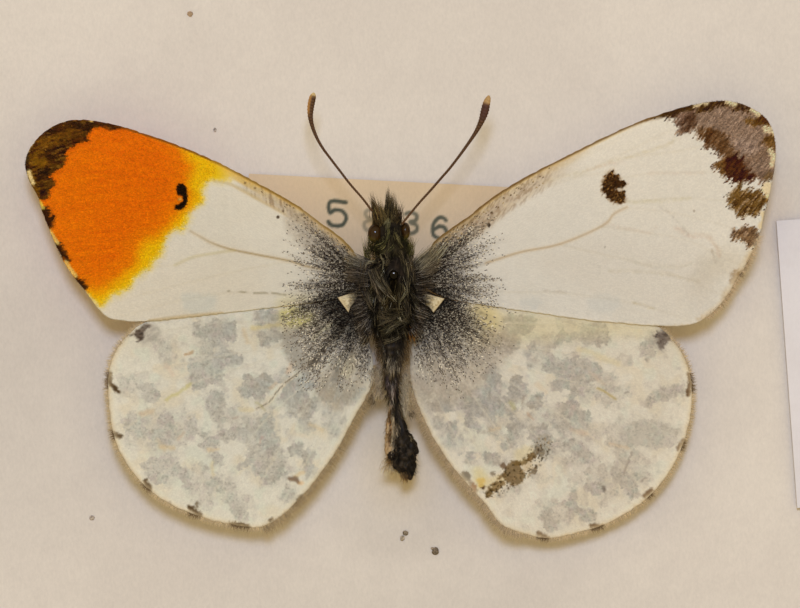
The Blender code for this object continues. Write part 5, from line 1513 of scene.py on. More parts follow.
RH_BLOTCH = [
    [(503, 318), (512, 314), (524, 314), (534, 318), (536, 326), (530, 333), (520, 334), (512, 336), (504, 330)],
    [(486, 340), (498, 337), (510, 336), (520, 340), (523, 346), (515, 351), (500, 350), (490, 348)],
    [(528, 342), (534, 340), (536, 346), (536, 352), (530, 350)],
    [(552, 342), (556, 334), (564, 330), (572, 332), (577, 336), (572, 342), (562, 344), (556, 347)],
    [(578, 328), (586, 324), (598, 322), (606, 326), (611, 334), (610, 341), (602, 345), (592, 345), (584, 345), (578, 340)],
    [(543, 362), (548, 353), (553, 353), (556, 362), (564, 358), (576, 355), (586, 357), (592, 362), (600, 366), (605, 374), (600, 379), (590, 379), (584, 384), (584, 396), (578, 396), (572, 392), (560, 390), (556, 394), (550, 391), (549, 384), (556, 380), (556, 374), (548, 372), (543, 368)],
    [(640, 344), (645, 337), (652, 334), (656, 340), (656, 350), (652, 356), (646, 360), (640, 357)],
    [(642, 400), (650, 395), (656, 390), (664, 386), (676, 384), (686, 386), (686, 394), (676, 396), (668, 398), (660, 402), (652, 406), (645, 406)],
    [(482, 372), (488, 367), (496, 368), (501, 374), (501, 382), (496, 387), (488, 386), (482, 380)],
    [(460, 396), (468, 392), (478, 386), (488, 387), (500, 389), (502, 396), (510, 398), (518, 404), (519, 412), (510, 415), (498, 416), (486, 414), (474, 417), (462, 414), (458, 404)],
    [(431, 402), (440, 399), (450, 401), (455, 406), (450, 413), (440, 415), (432, 411)],
    [(508, 390), (513, 384), (512, 376), (518, 374), (522, 380), (526, 386), (531, 390), (528, 398), (520, 400), (512, 398), (507, 396)],
    [(528, 396), (536, 393), (544, 394), (544, 402), (538, 408), (530, 406)],
    [(563, 402), (568, 396), (575, 396), (580, 402), (580, 410), (588, 412), (592, 418), (590, 426), (582, 430), (572, 430), (564, 424), (558, 416), (562, 410)],
    [(509, 418), (514, 414), (520, 420), (526, 422), (528, 428), (521, 432), (518, 440), (514, 448), (506, 450), (500, 444), (506, 438), (509, 430)],
    [(529, 432), (536, 427), (544, 426), (551, 430), (552, 438), (548, 446), (538, 447), (530, 442)],
    [(551, 424), (558, 420), (565, 423), (562, 431), (554, 432)],
    [(561, 442), (568, 439), (578, 441), (586, 445), (592, 452), (594, 460), (588, 465), (580, 460), (572, 454), (563, 450)],
    [(621, 424), (632, 421), (646, 422), (658, 421), (668, 424), (676, 430), (678, 438), (672, 446), (660, 448), (646, 446), (634, 446), (624, 444), (620, 436)],
    [(611, 466), (616, 461), (622, 463), (623, 474), (620, 484), (614, 482), (611, 475)],
    [(624, 472), (632, 470), (637, 478), (640, 488), (637, 498), (630, 500), (625, 494), (622, 484)],
    [(585, 485), (592, 482), (600, 484), (606, 488), (605, 494), (596, 494), (588, 492)],
    [(571, 486), (576, 482), (579, 490), (577, 498), (576, 506), (572, 513), (565, 511), (563, 503), (568, 498), (571, 492)],
    [(576, 508), (584, 505), (590, 509), (597, 514), (595, 521), (588, 524), (580, 520), (576, 514)],
    [(539, 512), (545, 506), (552, 508), (553, 515), (560, 519), (559, 527), (550, 531), (542, 527), (540, 520)],
    [(463, 417), (469, 415), (474, 419), (478, 425), (482, 430), (477, 434), (470, 431), (465, 425)],
    [(445, 424), (452, 419), (458, 424), (457, 434), (451, 440), (447, 434)],
    [(464, 454), (471, 450), (477, 455), (474, 463), (470, 469), (465, 464)],
    [(480, 452), (488, 451), (496, 455), (501, 460), (497, 465), (488, 464), (482, 460)],
]
RH_FAINT = [
    [(558, 320), (572, 319), (578, 325), (570, 331), (560, 330)],
    [(617, 358), (628, 356), (634, 362), (624, 367)],
    [(422, 404), (428, 402), (432, 408), (430, 418), (424, 420)],
    [(521, 400), (528, 399), (528, 408), (522, 411)],
    [(595, 428), (603, 426), (605, 435), (597, 437)],
    [(603, 401), (612, 400), (613, 407), (605, 409)],
    [(560, 459), (572, 458), (574, 467), (563, 469)],
    [(638, 466), (644, 468), (650, 476), (649, 483), (643, 482), (638, 474)],
    [(438, 433), (446, 431), (449, 442), (442, 448)],
    [(498, 492), (508, 486), (518, 487), (520, 493), (510, 500), (500, 500)],
    [(531, 474), (538, 471), (543, 477), (540, 483), (533, 483)],
    [(504, 456), (510, 452), (515, 455), (512, 461), (505, 463)],
    [(612, 422), (621, 421), (621, 428), (613, 428)],
    [(418, 378), (428, 374), (434, 386), (430, 396), (422, 396)],
    [(586, 436), (598, 436), (600, 444), (590, 445)],
    [(540, 412), (548, 410), (552, 418), (544, 422)],
    [(600, 496), (606, 495), (608, 506), (602, 508)],
    [(472, 346), (484, 342), (489, 352), (484, 366), (474, 362)],
    [(436, 374), (448, 372), (456, 388), (446, 400), (438, 392)],
    [(408, 374), (420, 376), (424, 392), (416, 400), (409, 390)],
    [(482, 384), (502, 384), (508, 392), (496, 398), (482, 394)],
    [(450, 398), (462, 394), (464, 412), (452, 414)],
    [(500, 408), (512, 406), (516, 420), (508, 424), (500, 418)],
    [(516, 412), (534, 414), (548, 424), (546, 434), (530, 434), (518, 428)],
    [(548, 408), (566, 404), (572, 424), (592, 424), (600, 432), (598, 446), (580, 444), (560, 438), (550, 426)],
    [(584, 388), (596, 384), (606, 372), (618, 376), (612, 390), (596, 400), (586, 400)],
    [(604, 426), (622, 420), (624, 446), (608, 446)],
    [(676, 426), (690, 424), (690, 446), (678, 448)],
    [(634, 452), (648, 456), (652, 474), (648, 488), (638, 482)],
    [(616, 446), (634, 446), (638, 470), (624, 474), (616, 462)],
    [(588, 460), (600, 458), (606, 474), (600, 486), (590, 480)],
    [(560, 456), (576, 454), (588, 468), (582, 484), (572, 484), (562, 470)],
    [(544, 446), (560, 440), (566, 450), (556, 462), (544, 458)],
    [(534, 504), (548, 498), (562, 504), (574, 512), (568, 524), (550, 520)],
    [(600, 484), (614, 480), (618, 494), (606, 500)],
    [(536, 336), (552, 334), (556, 348), (542, 354), (536, 348)],
    [(604, 388), (628, 384), (634, 394), (612, 402)],
    [(484, 416), (502, 414), (506, 432), (496, 440), (486, 430)],
    [(430, 416), (444, 414), (448, 428), (438, 434), (430, 426)],
    [(448, 438), (460, 432), (468, 446), (462, 456), (450, 450)],
    [(524, 350), (546, 352), (546, 364), (530, 368)],
]


def shards(P, size, seed):
    """The nearest of a jittered grid of seeds to each point, and a number from 0 to 1 for that seed."""
    gx, gy = np.floor(P[:, 0] / size), np.floor(P[:, 1] / size)
    best, S, h = np.full(len(P), 1e9), P.copy(), np.zeros(len(P))
    for i in (-1, 0, 1):
        for j in (-1, 0, 1):
            cx, cy = gx + i, gy + j
            s = np.stack([(cx + 0.5 + 0.95 * (hash01(cx, cy, seed) - 0.5)) * size, (cy + 0.5 + 0.95 * (hash01(cx, cy, seed + 1) - 0.5)) * size], 1)
            q = ((P - s) ** 2).sum(1)
            m = q < best
            best[m], S[m], h[m] = q[m], s[m], hash01(cx, cy, seed + 2)[m]
    return S, h


def marbling(C, P, strong, faint, seed, cool=(173, 167, 152), warm=(179, 167, 148), blue=(171, 170, 160), pale=(190, 181, 164), veins=()):
    """Greyish blotches with torn, angular outlines that run into one another, broken up scale by scale."""
    Q = warp(P, 2.6, 5.0, seed) + 1.6 * np.stack([grainy(P, seed + 1, 2.2), grainy(P, seed + 2, 2.2)], 1)
    S, h = shards(P + 0.9 * np.stack([grainy(P, seed + 43, 1.5), grainy(P, seed + 44, 1.5)], 1) + 1.2 * np.stack([grainy(P, seed + 47, 4.0), grainy(P, seed + 48, 4.0)], 1), 6.2, seed + 41)
    k, pad = 1.7, 8.0
    none = math.exp(-pad / k)

    def blotches(polys):
        out = []
        for at in (Q, S):
            total = np.zeros(len(P))
            for poly in polys:
                total += np.exp(-np.maximum(patch(at, poly, pad), -pad) / k) - none
            out.append(-k * np.log(np.maximum(total, none)))
        return 0.42 * out[0] + 0.58 * out[1] + 2.6 * (h - 0.5)

    d = blotches(strong)
    cover = smooth(1.3, -0.9, d)
    d2 = blotches(faint)
    patchy = 0.34 + 0.50 * smooth(-0.45, 0.45, fbm(P[:, 0] / 6, P[:, 1] / 6, seed + 11, 2))
    cover = np.maximum(cover, patchy * smooth(3.0, -1.4, d2))
    stray = smooth(0.22, 0.60, fbm(P[:, 0] / 8, P[:, 1] / 8, seed + 5, 2)) * 0.36
    # narrow bridges of grey between neighbours
    bridge = 0.6 * smooth(5.0, 1.5, d) * smooth(0.05, 0.55, fbm(P[:, 0] / 6, P[:, 1] / 6, seed + 15, 2))
    cover = np.maximum(np.maximum(cover, stray), bridge)
    for vein in veins:
        s, _ = stroke(warp(P, 0.8, 3.0, seed + 51), vein, 6.0)
        cover = cover * (1 - 0.50 * np.exp(-((s / 1.15) ** 2)))
    grey = np.tile(np.array(cool, float), (len(P), 1))
    lay(grey, 0.8 * smooth(-0.25, 0.35, fbm(P[:, 0] / 17, P[:, 1] / 17, seed + 9, 2)), warm)
    lay(grey, 0.6 * smooth(0.05, 0.5, fbm(P[:, 0] / 12, P[:, 1] / 12, seed + 19, 2)), blue)
    # paler towards the outer margin
    out = np.hypot(P[:, 0] - 394, P[:, 1] - 318)
    lay(grey, smooth(110, 250, out), pale)
    lay(grey, 0.5 * smooth(0.1, 0.5, fbm(P[:, 0] / 7, P[:, 1] / 7, seed + 23, 2)), (176, 176, 158))
    lay(grey, 0.4 * smooth(0.15, 0.5, fbm(P[:, 0] / 6, P[:, 1] / 6, seed + 27, 2)), (184, 166, 156))
    grey += (7.5 * grainy(P, seed + 21, 1.3) + 4.0 * grainy(P, seed + 29, 2.6) + 9.0 * (h - 0.5))[:, None]
    gaps = smooth(0.25, 0.85, grainy(P, seed + 6, 1.45)) * 0.34 + smooth(0.1, 0.6, fbm(P[:, 0] / 3.2, P[:, 1] / 3.2, seed + 7, 2)) * 0.22
    lay_share = np.clip(cover * (1 - gaps), 0, 1)
    C += lay_share[:, None] * (grey - C)
    dots = smooth(0.30, 0.9, -grainy(P, seed + 8, 1.35)) * cover
    lay(C, 0.52 * dots, (138, 131, 116))
    # clumps of darker scales
    clumps = smooth(0.18, 0.5, fbm(P[:, 0] / 3.4, P[:, 1] / 3.4, seed + 31, 2)) * smooth(-0.1, 0.4, fbm(P[:, 0] / 15, P[:, 1] / 15, seed + 33, 2)) * cover
    lay(C, 0.42 * clumps * (0.6 + 0.6 * grainy(P, seed + 35, 1.5)), (130, 121, 106))
    C += (4.2 * grainy(P, seed + 37, 1.5))[:, None]
    return cover


def hem(C, P, far, seed):
    """A worn, brownish hem round the open margins."""
    edge = far + 0.9 * fbm(P[:, 0] / 5, P[:, 1] / 5, seed, 2)
    low = smooth(324, 350, P[:, 1])
    lay(C, 0.40 * smooth(6.0, 1.0, edge) * low, (212, 192, 156))
    lay(C, 0.40 * smooth(2.6, 0.2, edge + 0.8 * grainy(P, seed + 3, 1.6)) * low, (198, 172, 130))


def paint_lh(P, far):
    C = ground(P, 461, (211, 202, 181), 2.5)
    lay(C, 0.6 * smooth(0.0, 0.5, fbm(P[:, 0] / 16, P[:, 1] / 16, 463, 2)), (210, 195, 166))
    lay(C, 0.5 * smooth(0.1, 0.5, fbm(P[:, 0] / 13, P[:, 1] / 13, 465, 2)), (203, 202, 180))
    vein_tint(C, P, "lh", 3.5)
    marbling(C, P, LH_BLOTCH, LH_FAINT, 471, veins=VEINS["lh"])
    lay(C, 0.55 * smooth(9, 3, far) * smooth(300, 340, P[:, 1]), (213, 204, 180))
    # the dark tuft at the front corner
    d = area(combed(warp(P, 2.0, 3.0, 481), (1.0, -0.7), 2.6, 1.3, 483), [(128, 337), (136, 330), (146, 323), (149, 326), (146, 332), (143, 340), (138, 343), (136, 336)], 10)
    lay(C, smooth(1.4, -2.2, d) * 0.88, (80, 68, 58))
    lay(C, 0.8 * smooth(0.0, 0.6, grainy(P, 484, 1.6)) * smooth(0.5, -2.0, d), (38, 30, 26))
    lay(C, 0.5 * smooth(5, -3, area(P, [(142, 326), (154, 325), (160, 334), (150, 342), (142, 342)], 12)) * (0.7 + 0.5 * lanes(P, (1.0, -0.7), 1.4, 7, 487)), (150, 141, 126))
    # marks along the margin
    for line, w, share in (
        ([(109.6, 373), (109.2, 380), (110.6, 384.5), (114.6, 387.6), (117.6, 391.4)], 2.3, 0.92), ([(111, 434), (120, 436)], 2.8, 0.8), ([(145, 481), (150, 489)], 2.5, 0.9),
        ([(190, 508), (200, 515)], 2.7, 0.9), ([(231, 524), (249, 527)], 2.5, 0.95), ([(270, 520), (273, 519)], 1.9, 0.75), ([(296, 505), (301, 496)], 2.3, 0.8),
        ([(170, 502), (171, 506)], 1.4, 0.45), ([(197, 503), (197, 508)], 1.4, 0.55),
    ):
        d, _ = stroke(warp(P, 1.4, 2.2, 485), line, 10)
        lay(C, share * smooth(w + 1.3, w - 1.6, d + 0.7 * grainy(P, 486, 1.4)), (66, 49, 30))
    # an old split along a rib, and yellowed ribs
    d, along = stroke(P, [(309, 361), (304, 367), (297, 374), (285, 383), (276, 393), (269, 402), (257, 408.5)], 8)
    lay(C, smooth(1.0, 0.1, d) * (0.80 - 0.30 * along) * smooth(-0.55, 0.1, vnoise(P[:, 0] / 2.0, P[:, 1] / 2.0, 488)), (84, 68, 50))
    lay(C, 0.35 * smooth(3.2, 1.0, d) * smooth(0.6, 1.2, d), (214, 192, 158))
    d, _ = stroke(P, [(238, 417), (233, 418.5)], 8)
    lay(C, 0.32 * smooth(1.8, 0.3, d), (140, 116, 98))
    for line, share, rgb, w in (
        ([(166, 400), (178, 393), (191, 384)], 0.45, (184, 172, 98), 2.6),
        ([(185, 355), (193, 352)], 0.55, (170, 128, 84), 2.4),
        ([(141, 414), (152, 411)], 0.45, (196, 164, 126), 5.0),
        ([(158, 440), (164, 450)], 0.35, (196, 170, 136), 4.0),
        ([(178, 440), (184, 432)], 0.35, (190, 160, 130), 2.2),
        ([(255, 402), (265, 410)], 0.4, (160, 150, 100), 2.0),
        ([(160, 447), (174, 448)], 0.40, (202, 172, 122), 3.4),
        ([(208, 450), (218, 449)], 0.40, (204, 172, 124), 3.0),
        ([(166, 365), (172, 374)], 0.35, (206, 178, 152), 4.4),
        ([(262, 437), (260, 444)], 0.4, (190, 150, 132), 1.8),
        ([(212, 462), (213, 474)], 0.35, (204, 182, 132), 3.0),
        ([(292, 364), (288, 372)], 0.45, (206, 168, 132), 4.0),
        ([(270, 388), (276, 384)], 0.40, (202, 170, 134), 3.4),
        ([(244, 330), (248, 342)], 0.40, (198, 172, 130), 4.4),
        ([(252, 328), (280, 325)], 0.45, (206, 184, 120), 3.4),
        ([(310, 424), (322, 430)], 0.40, (206, 180, 134), 4.0),
        ([(240, 409), (252, 410)], 0.35, (210, 186, 132), 3.6),
        ([(296, 476), (304, 472)], 0.40, (206, 170, 112), 3.0),
    ):
        d, _ = stroke(warp(P, 1.4, 3.5, 493), line, 9)
        lay(C, share * smooth(w, w * 0.1, d), rgb)
    d = area(warp(P, 1.5, 2.5, 489), [(286, 478), (292, 476), (298, 478), (300, 484), (296, 482), (290, 481)], 8)
    lay(C, 0.75 * smooth(1.2, -1.6, d + 0.8 * grainy(P, 490, 1.5)), (106, 84, 66))
    lay(C, 0.5 * smooth(3.6, 0.5, np.hypot((P[:, 0] - 301) / 1.5, P[:, 1] - 483)), (208, 164, 108))
    lay(C, 0.5 * smooth(12, -6, area(P, [(282, 312), (300, 306), (312, 314), (318, 326), (300, 330), (284, 326)], 16)), (218, 200, 138))
    lay(C, 0.45 * smooth(6, -3, area(P, [(340, 360), (350, 352), (356, 362), (348, 376), (341, 372)], 12)), (214, 198, 140))
    hem(C, P, far, 497)
    # grey, grainy blotch and yellowed strip outside the dark root
    Q = warp(P, 2.4, 5.0, 551)
    m = smooth(4, -3, area(Q, [(286, 330), (306, 327), (326, 334), (330, 350), (316, 372), (294, 368), (284, 348)], 12))
    lay(C, 0.72 * m, (166, 156, 139))
    C += (m * 14.0 * grainy(P, 553, 1.4))[:, None]
    lay(C, 0.55 * smooth(4, -4, area(Q, [(280, 311), (300, 308), (314, 314), (306, 325), (286, 325)], 12)), (206, 194, 104))
    m = smooth(8, -5, area(Q, [(346, 350), (368, 342), (366, 372), (352, 398), (334, 408), (316, 392), (326, 372)], 14))
    lay(C, m * (0.55 + 0.3 * lanes(P, (-0.35, 0.94), 1.3, 8.0, 555)), (172, 157, 134))
    C += (m * 11.0 * grainy(P, 565, 1.4))[:, None]
    roots(C, P, -1, True)
    # streaks that run out from the root
    for line, w, share, rgb in (
        ([(352, 318), (338, 334), (324, 350), (311, 367)], 4.0, 0.72, (66, 58, 48)),
        ([(356, 322), (348, 344), (340, 362), (336, 378)], 7.0, 0.50, (84, 80, 74)),
        ([(313, 339), (322, 331), (331, 324)], 3.6, 0.62, (214, 202, 158)),
        ([(326, 352), (336, 342), (346, 330), (350, 324)], 1.9, 0.55, (196, 194, 180)),
        ([(336, 352), (342, 348), (346, 342)], 2.6, 0.50, (206, 194, 182)),
        ([(340, 368), (345, 358), (350, 350)], 1.6, 0.45, (176, 176, 168)),
    ):
        d, along = stroke(warp(P, 1.6, 3.5, 557), line, 12)
        lay(C, share * smooth(w, w * 0.2, d) * (0.75 + 0.45 * grainy(P, 559, 1.5)), rgb)
    return np.clip(C, 4, 245)


def paint_rh(P, far):
    C = ground(P, 491, (213, 201, 179), 2.5)
    lay(C, 0.6 * smooth(0.0, 0.5, fbm(P[:, 0] / 16, P[:, 1] / 16, 493, 2)), (211, 195, 167))
    lay(C, 0.5 * smooth(0.1, 0.5, fbm(P[:, 0] / 13, P[:, 1] / 13, 495, 2)), (206, 202, 180))
    vein_tint(C, P, "rh", 3.5)
    marbling(C, P, RH_BLOTCH, RH_FAINT, 501, (170, 160, 145), (178, 163, 142), (167, 164, 154), (188, 175, 156), VEINS["rh"])
    lay(C, 0.35 * smooth(8, -6, area(P, [(619, 423), (646, 420), (670, 424), (679, 436), (670, 448), (634, 448), (620, 440)], 12)), (200, 190, 170))
    lay(C, 0.55 * smooth(9, 3, far) * smooth(300, 340, P[:, 1]), (214, 203, 180))
    # the strip that shows below the forewing is yellower
    lay(C, 0.4 * smooth(14, -6, area(P, [(470, 312), (560, 316), (640, 324), (650, 330), (560, 336), (480, 340)], 20)), (208, 190, 140))
    d = area(combed(warp(P, 2.4, 3.5, 511), (1.0, 0.6), 2.6, 1.3, 513), [(655, 334), (661, 329), (668, 328), (674, 336), (669, 342), (664, 350), (659, 349), (656, 341)], 10)
    lay(C, 0.85 * smooth(1.4, -2.8, d), (92, 80, 72))
    lay(C, 0.8 * smooth(0.0, 0.6, grainy(P, 512, 1.6)) * smooth(0.5, -2.0, d), (52, 42, 36))
    lay(C, 0.45 * smooth(7, -3, d) * (0.7 + 0.5 * lanes(P, (1.0, 0.6), 1.4, 7, 517)), (140, 130, 118))
    for line, w, share in (
        ([(689, 374), (690, 384), (688, 394)], 2.5, 0.85), ([(678, 448), (684, 441)], 2.4, 0.8), ([(645, 496), (651, 490)], 2.6, 0.85),
        ([(592, 526), (602, 526)], 2.8, 0.85), ([(538, 533), (549, 538)], 2.4, 0.7), ([(470, 482), (476, 490)], 2.2, 0.5),
    ):
        d, _ = stroke(warp(P, 1.4, 2.2, 515), line, 10)
        lay(C, share * smooth(w + 1.0, w - 1.8, d + 0.7 * grainy(P, 516, 1.4)), (80, 56, 34))
    for line, share, rgb, w in (
        ([(580, 349), (592, 353), (606, 359), (618, 363)], 0.34, (208, 186, 134), 5.0),
        ([(598, 389), (606, 393), (616, 399)], 0.6, (172, 148, 88), 2.0),
        ([(522, 403), (524, 396)], 0.45, (146, 126, 108), 1.8),
        ([(527, 413), (533, 419)], 0.45, (174, 138, 108), 1.8),
        ([(510, 402), (514, 408)], 0.40, (186, 176, 112), 3.4),
        ([(571, 414), (574, 406)], 0.35, (194, 164, 150), 3.4),
        ([(572, 430), (586, 434)], 0.35, (206, 174, 140), 4.6),
        ([(632, 452), (628, 463), (624, 474)], 0.4, (132, 116, 100), 1.8),
        ([(641, 482), (646, 478)], 0.45, (128, 112, 98), 1.6),
        ([(624, 393), (628, 392)], 0.45, (116, 100, 86), 1.6),
        ([(603, 487), (604, 491)], 0.55, (104, 92, 82), 2.0),
        ([(490, 430), (500, 428)], 0.3, (206, 176, 130), 2.6),
        ([(610, 444), (628, 448)], 0.35, (206, 176, 136), 3.0),
        ([(590, 372), (604, 384)], 0.30, (206, 178, 146), 3.4),
        ([(536, 384), (546, 392)], 0.40, (210, 186, 152), 4.0),
    ):
        d, _ = stroke(warp(P, 1.4, 3.5, 519), line, 9)
        lay(C, share * smooth(w, w * 0.1, d), rgb)
    # the eaten, stained patch by the inner margin
    Q = warp(P, 1.6, 3.2, 521)
    lay(C, 0.45 * smooth(5, -4, area(Q, [(474, 470), (482, 470), (488, 480), (484, 488), (476, 486)], 10)), (208, 186, 118))
    lay(C, 0.55 * smooth(2.4, -1, area(Q, [(478, 479), (483, 479), (484, 485), (480, 486)], 8)), (206, 164, 76))
    lay(C, 0.50 * smooth(3, -3, area(Q, [(488, 480), (500, 474), (506, 478), (502, 486), (490, 488)], 10)), (206, 184, 134))
    lay(C, 0.45 * smooth(3, -3, area(Q, [(514, 452), (526, 446), (536, 450), (530, 460), (518, 464)], 10)), (208, 186, 134))
    lay(C, 0.40 * smooth(2, -2, area(Q, [(522, 464), (530, 462), (532, 468), (526, 472)], 8)), (190, 158, 112))
    for poly, rgb, share in (
        ([(503, 474), (506, 467), (512, 461), (519, 462), (522, 469), (526, 474), (523, 480), (517, 486), (511, 484), (505, 479)], (118, 97, 66), 0.92),
        ([(514, 463), (520, 461), (530, 457), (532, 460), (522, 465), (515, 466)], (112, 88, 50), 0.7),
        ([(527, 460), (529, 454), (534, 451), (537, 453), (535, 459), (530, 462)], (102, 80, 50), 0.88),
        ([(533, 450), (536, 441), (542, 437), (550, 440), (549, 448), (544, 456), (538, 456)], (150, 142, 126), 0.45),
        ([(485, 494), (489, 489), (494, 488), (493, 494), (488, 499)], (88, 68, 36), 0.85),
        ([(490, 489), (494, 483), (500, 480), (505, 483), (500, 489), (496, 491)], (108, 84, 50), 0.75),
        ([(497, 478), (500, 475), (505, 473), (505, 476), (500, 479)], (104, 80, 48), 0.7),
        ([(530, 473), (533, 469), (537, 468), (536, 472), (532, 475)], (92, 76, 56), 0.75),
        ([(534, 449), (537, 446), (543, 449), (545, 454), (541, 457), (536, 453)], (92, 78, 58), 0.5),
        ([(490, 472), (494, 470), (496, 473), (493, 476)], (98, 82, 62), 0.6),
        ([(480.6, 487.4), (483.6, 486.2), (485, 488.4), (482.4, 490)], (60, 38, 22), 0.9),
        ([(471, 485), (476, 484), (476, 492), (472, 491)], (136, 92, 64), 0.7),
        ([(461, 474), (468, 471), (471, 477), (465, 481)], (112, 100, 82), 0.8),
        ([(500, 466), (504, 463), (506, 468), (502, 470)], (90, 66, 46), 0.7),
    ):
        lay(C, 0.95 * share * smooth(0.8, -1.0, area(Q, poly, 10) + 1.2 * grainy(P, 525, 1.5)), rgb)
    lay(C, 0.8 * smooth(0.5, 0.85, grainy(P, 535, 1.3)) * smooth(3, -3, area(P, [(530, 450), (536, 440), (546, 438), (551, 446), (545, 456), (534, 458)], 12)), (62, 52, 38))
    stain = smooth(2, -2, area(P, [(484, 490), (500, 478), (508, 464), (524, 458), (540, 436), (553, 440), (546, 458), (530, 476), (514, 488), (492, 498)], 8))
    lay(C, 0.80 * smooth(0.15, 0.7, grainy(P, 523, 1.5)) * stain, (44, 33, 18))
    lay(C, 0.55 * smooth(0.2, 0.8, grainy(P, 527, 1.6)) * stain, (164, 134, 94))
    lay(C, 0.5 * smooth(12, -6, area(P, [(470, 306), (488, 304), (496, 320), (492, 340), (476, 344), (468, 330)], 16)), (212, 184, 112))
    hem(C, P, far, 529)
    # warm grey grain outside the dark root
    m = smooth(9, -7, area(warp(P, 2.4, 5.0, 561), [(412, 346), (450, 338), (496, 330), (516, 346), (492, 372), (462, 398), (432, 408), (414, 392)], 14))
    lay(C, 0.60 * m, (171, 155, 134))
    C += (m * 15.0 * grainy(P, 563, 1.4))[:, None]
    roots(C, P, 1, True)
    return np.clip(C, 4, 245)


def under_fore(orange):
    def paint(P, far):
        C = ground(P, 531, (206, 199, 180))
        if orange:
            lay(C, smooth(6, -6, area(P, LF_ORANGE, 20)), (216, 150, 70))
        lay(C, 0.6 * smooth(0.0, 0.4, fbm(P[:, 0] / 10, P[:, 1] / 10, 533, 2)) * smooth(300, 330, np.abs(P[:, 0] - PIN_AT[0])), (150, 152, 110))
        return np.clip(C, 4, 245)
    return paint


def under_hind(strong):
    def paint(P, far):
        C = ground(P, 541, (214, 209, 192))
        Q = warp(P, 3.0, 7.0, 543)
        for poly in strong:
            lay(C, 0.85 * smooth(1.5, -1.5, patch(Q, poly, 8)), (142, 146, 92))
        return np.clip(C, 4, 245)
    return paint


GAP = 1.18
EDGES = {
    "lh": wing("lh", "wing_hind_left", LEFT_HINDWING, "mottled_wing", "hindwing_left", paint_lh, under_hind(LH_BLOTCH), GAP * 1.06),
    "rh": wing("rh", "wing_hind_right", RIGHT_HINDWING, "mottled_wing", "hindwing_right", paint_rh, under_hind(RH_BLOTCH), GAP * 1.06),
    "lf": wing("lf", "wing_fore_left", LEFT_FOREWING, "orange_wing", "forewing_left", paint_lf, under_fore(True), GAP),
    "rf": wing("rf", "wing_fore_right", RIGHT_FOREWING, "white_wing", "forewing_right", paint_rf, under_fore(False), GAP),
}


# ------------------------------------------------------------------ strands
def strands(name, roots, tips, bow, radius, root_rgb, tip_rgb, slot, segs=4, material=None, flat=1.0, smooth_shade=True):
    """Tapered closed hairs from roots to tips, bowed sideways by bow; all in metres."""
    k = len(roots)
    t = np.linspace(0, 1, segs + 1)
    axis = tips - roots
    length = np.linalg.norm(axis, axis=1, keepdims=True) + 1e-9
    u = axis / length
    helper = np.where(np.abs(u[:, 2:3]) > 0.9, np.array([[1.0, 0, 0]]), np.array([[0, 0, 1.0]]))
    s = np.cross(u, helper)
    s /= np.linalg.norm(s, axis=1, keepdims=True) + 1e-9
    w = np.cross(s, u)
    rings = []
    for i, ti in enumerate(t[:-1]):
        c = roots + axis * ti + bow * (4 * ti * (1 - ti)) * 1.0
        r = (radius * (1 - ti**1.6) + radius * 0.10)[:, None] if np.ndim(radius) else radius * (1 - ti**1.6 * 0.9)
        for a in (math.pi / 2, math.pi / 2 + 2.0944, math.pi / 2 + 4.1888):
            rings.append(c + r * (math.cos(a) * s + math.sin(a) * flat * w))
    V = np.stack(rings + [tips], 1)
    per = 3 * segs + 1
    o = (np.arange(k) * per)[:, None]
    F = [o + np.array([2, 1, 0])]
    for i in range(segs - 1):
        a0, b0 = 3 * i, 3 * (i + 1)
        for j in range(3):
            m = (j + 1) % 3
            F.append(o + np.array([a0 + j, a0 + m, b0 + m]))
            F.append(o + np.array([a0 + j, b0 + m, b0 + j]))
    a0 = 3 * (segs - 1)
    for j in range(3):
        F.append(o + np.array([a0 + j, a0 + (j + 1) % 3, 3 * segs]))
    obj = mesh_object(name, V.reshape(-1, 3), [np.concatenate(F)], material or hair_mat, smooth_shade)
    C = np.zeros((k, per, 3))
    for i, ti in enumerate(t[:-1]):
        C[:, 3 * i : 3 * i + 3] = (root_rgb + (tip_rgb - root_rgb) * ti)[:, None]
    C[:, -1] = tip_rgb
    set_colour(obj, "tint", lin_array(C.reshape(-1, 3)))
    if slot:
        piece(obj, slot)
    return obj


def joined(name, objs, slot, *replaced):
    """Several meshes as one piece."""
    V, F3, C, mats, at = [], [], [], [], 0
    for o in objs:
        m = o.data
        co = np.empty(len(m.vertices) * 3, np.float32)
        m.vertices.foreach_get("co", co)
        m.calc_loop_triangles()
        tri = np.empty(len(m.loop_triangles) * 3, np.int32)
        m.loop_triangles.foreach_get("vertices", tri)
        col = np.empty(len(m.vertices) * 4, np.float32)
        m.attributes["tint"].data.foreach_get("color", col)
        V.append(co.reshape(-1, 3))
        F3.append(tri.reshape(-1, 3) + at)
        C.append(col.reshape(-1, 4)[:, :3])
        at += len(m.vertices)
    obj = mesh_object(name, np.vstack(V), [np.vstack(F3)], objs[0].data.materials[0], True)
    set_colour(obj, "tint", np.vstack(C))
    for o in objs:
        bpy.data.objects.remove(o, do_unlink=True)
    piece(obj, slot, *replaced)
    return obj


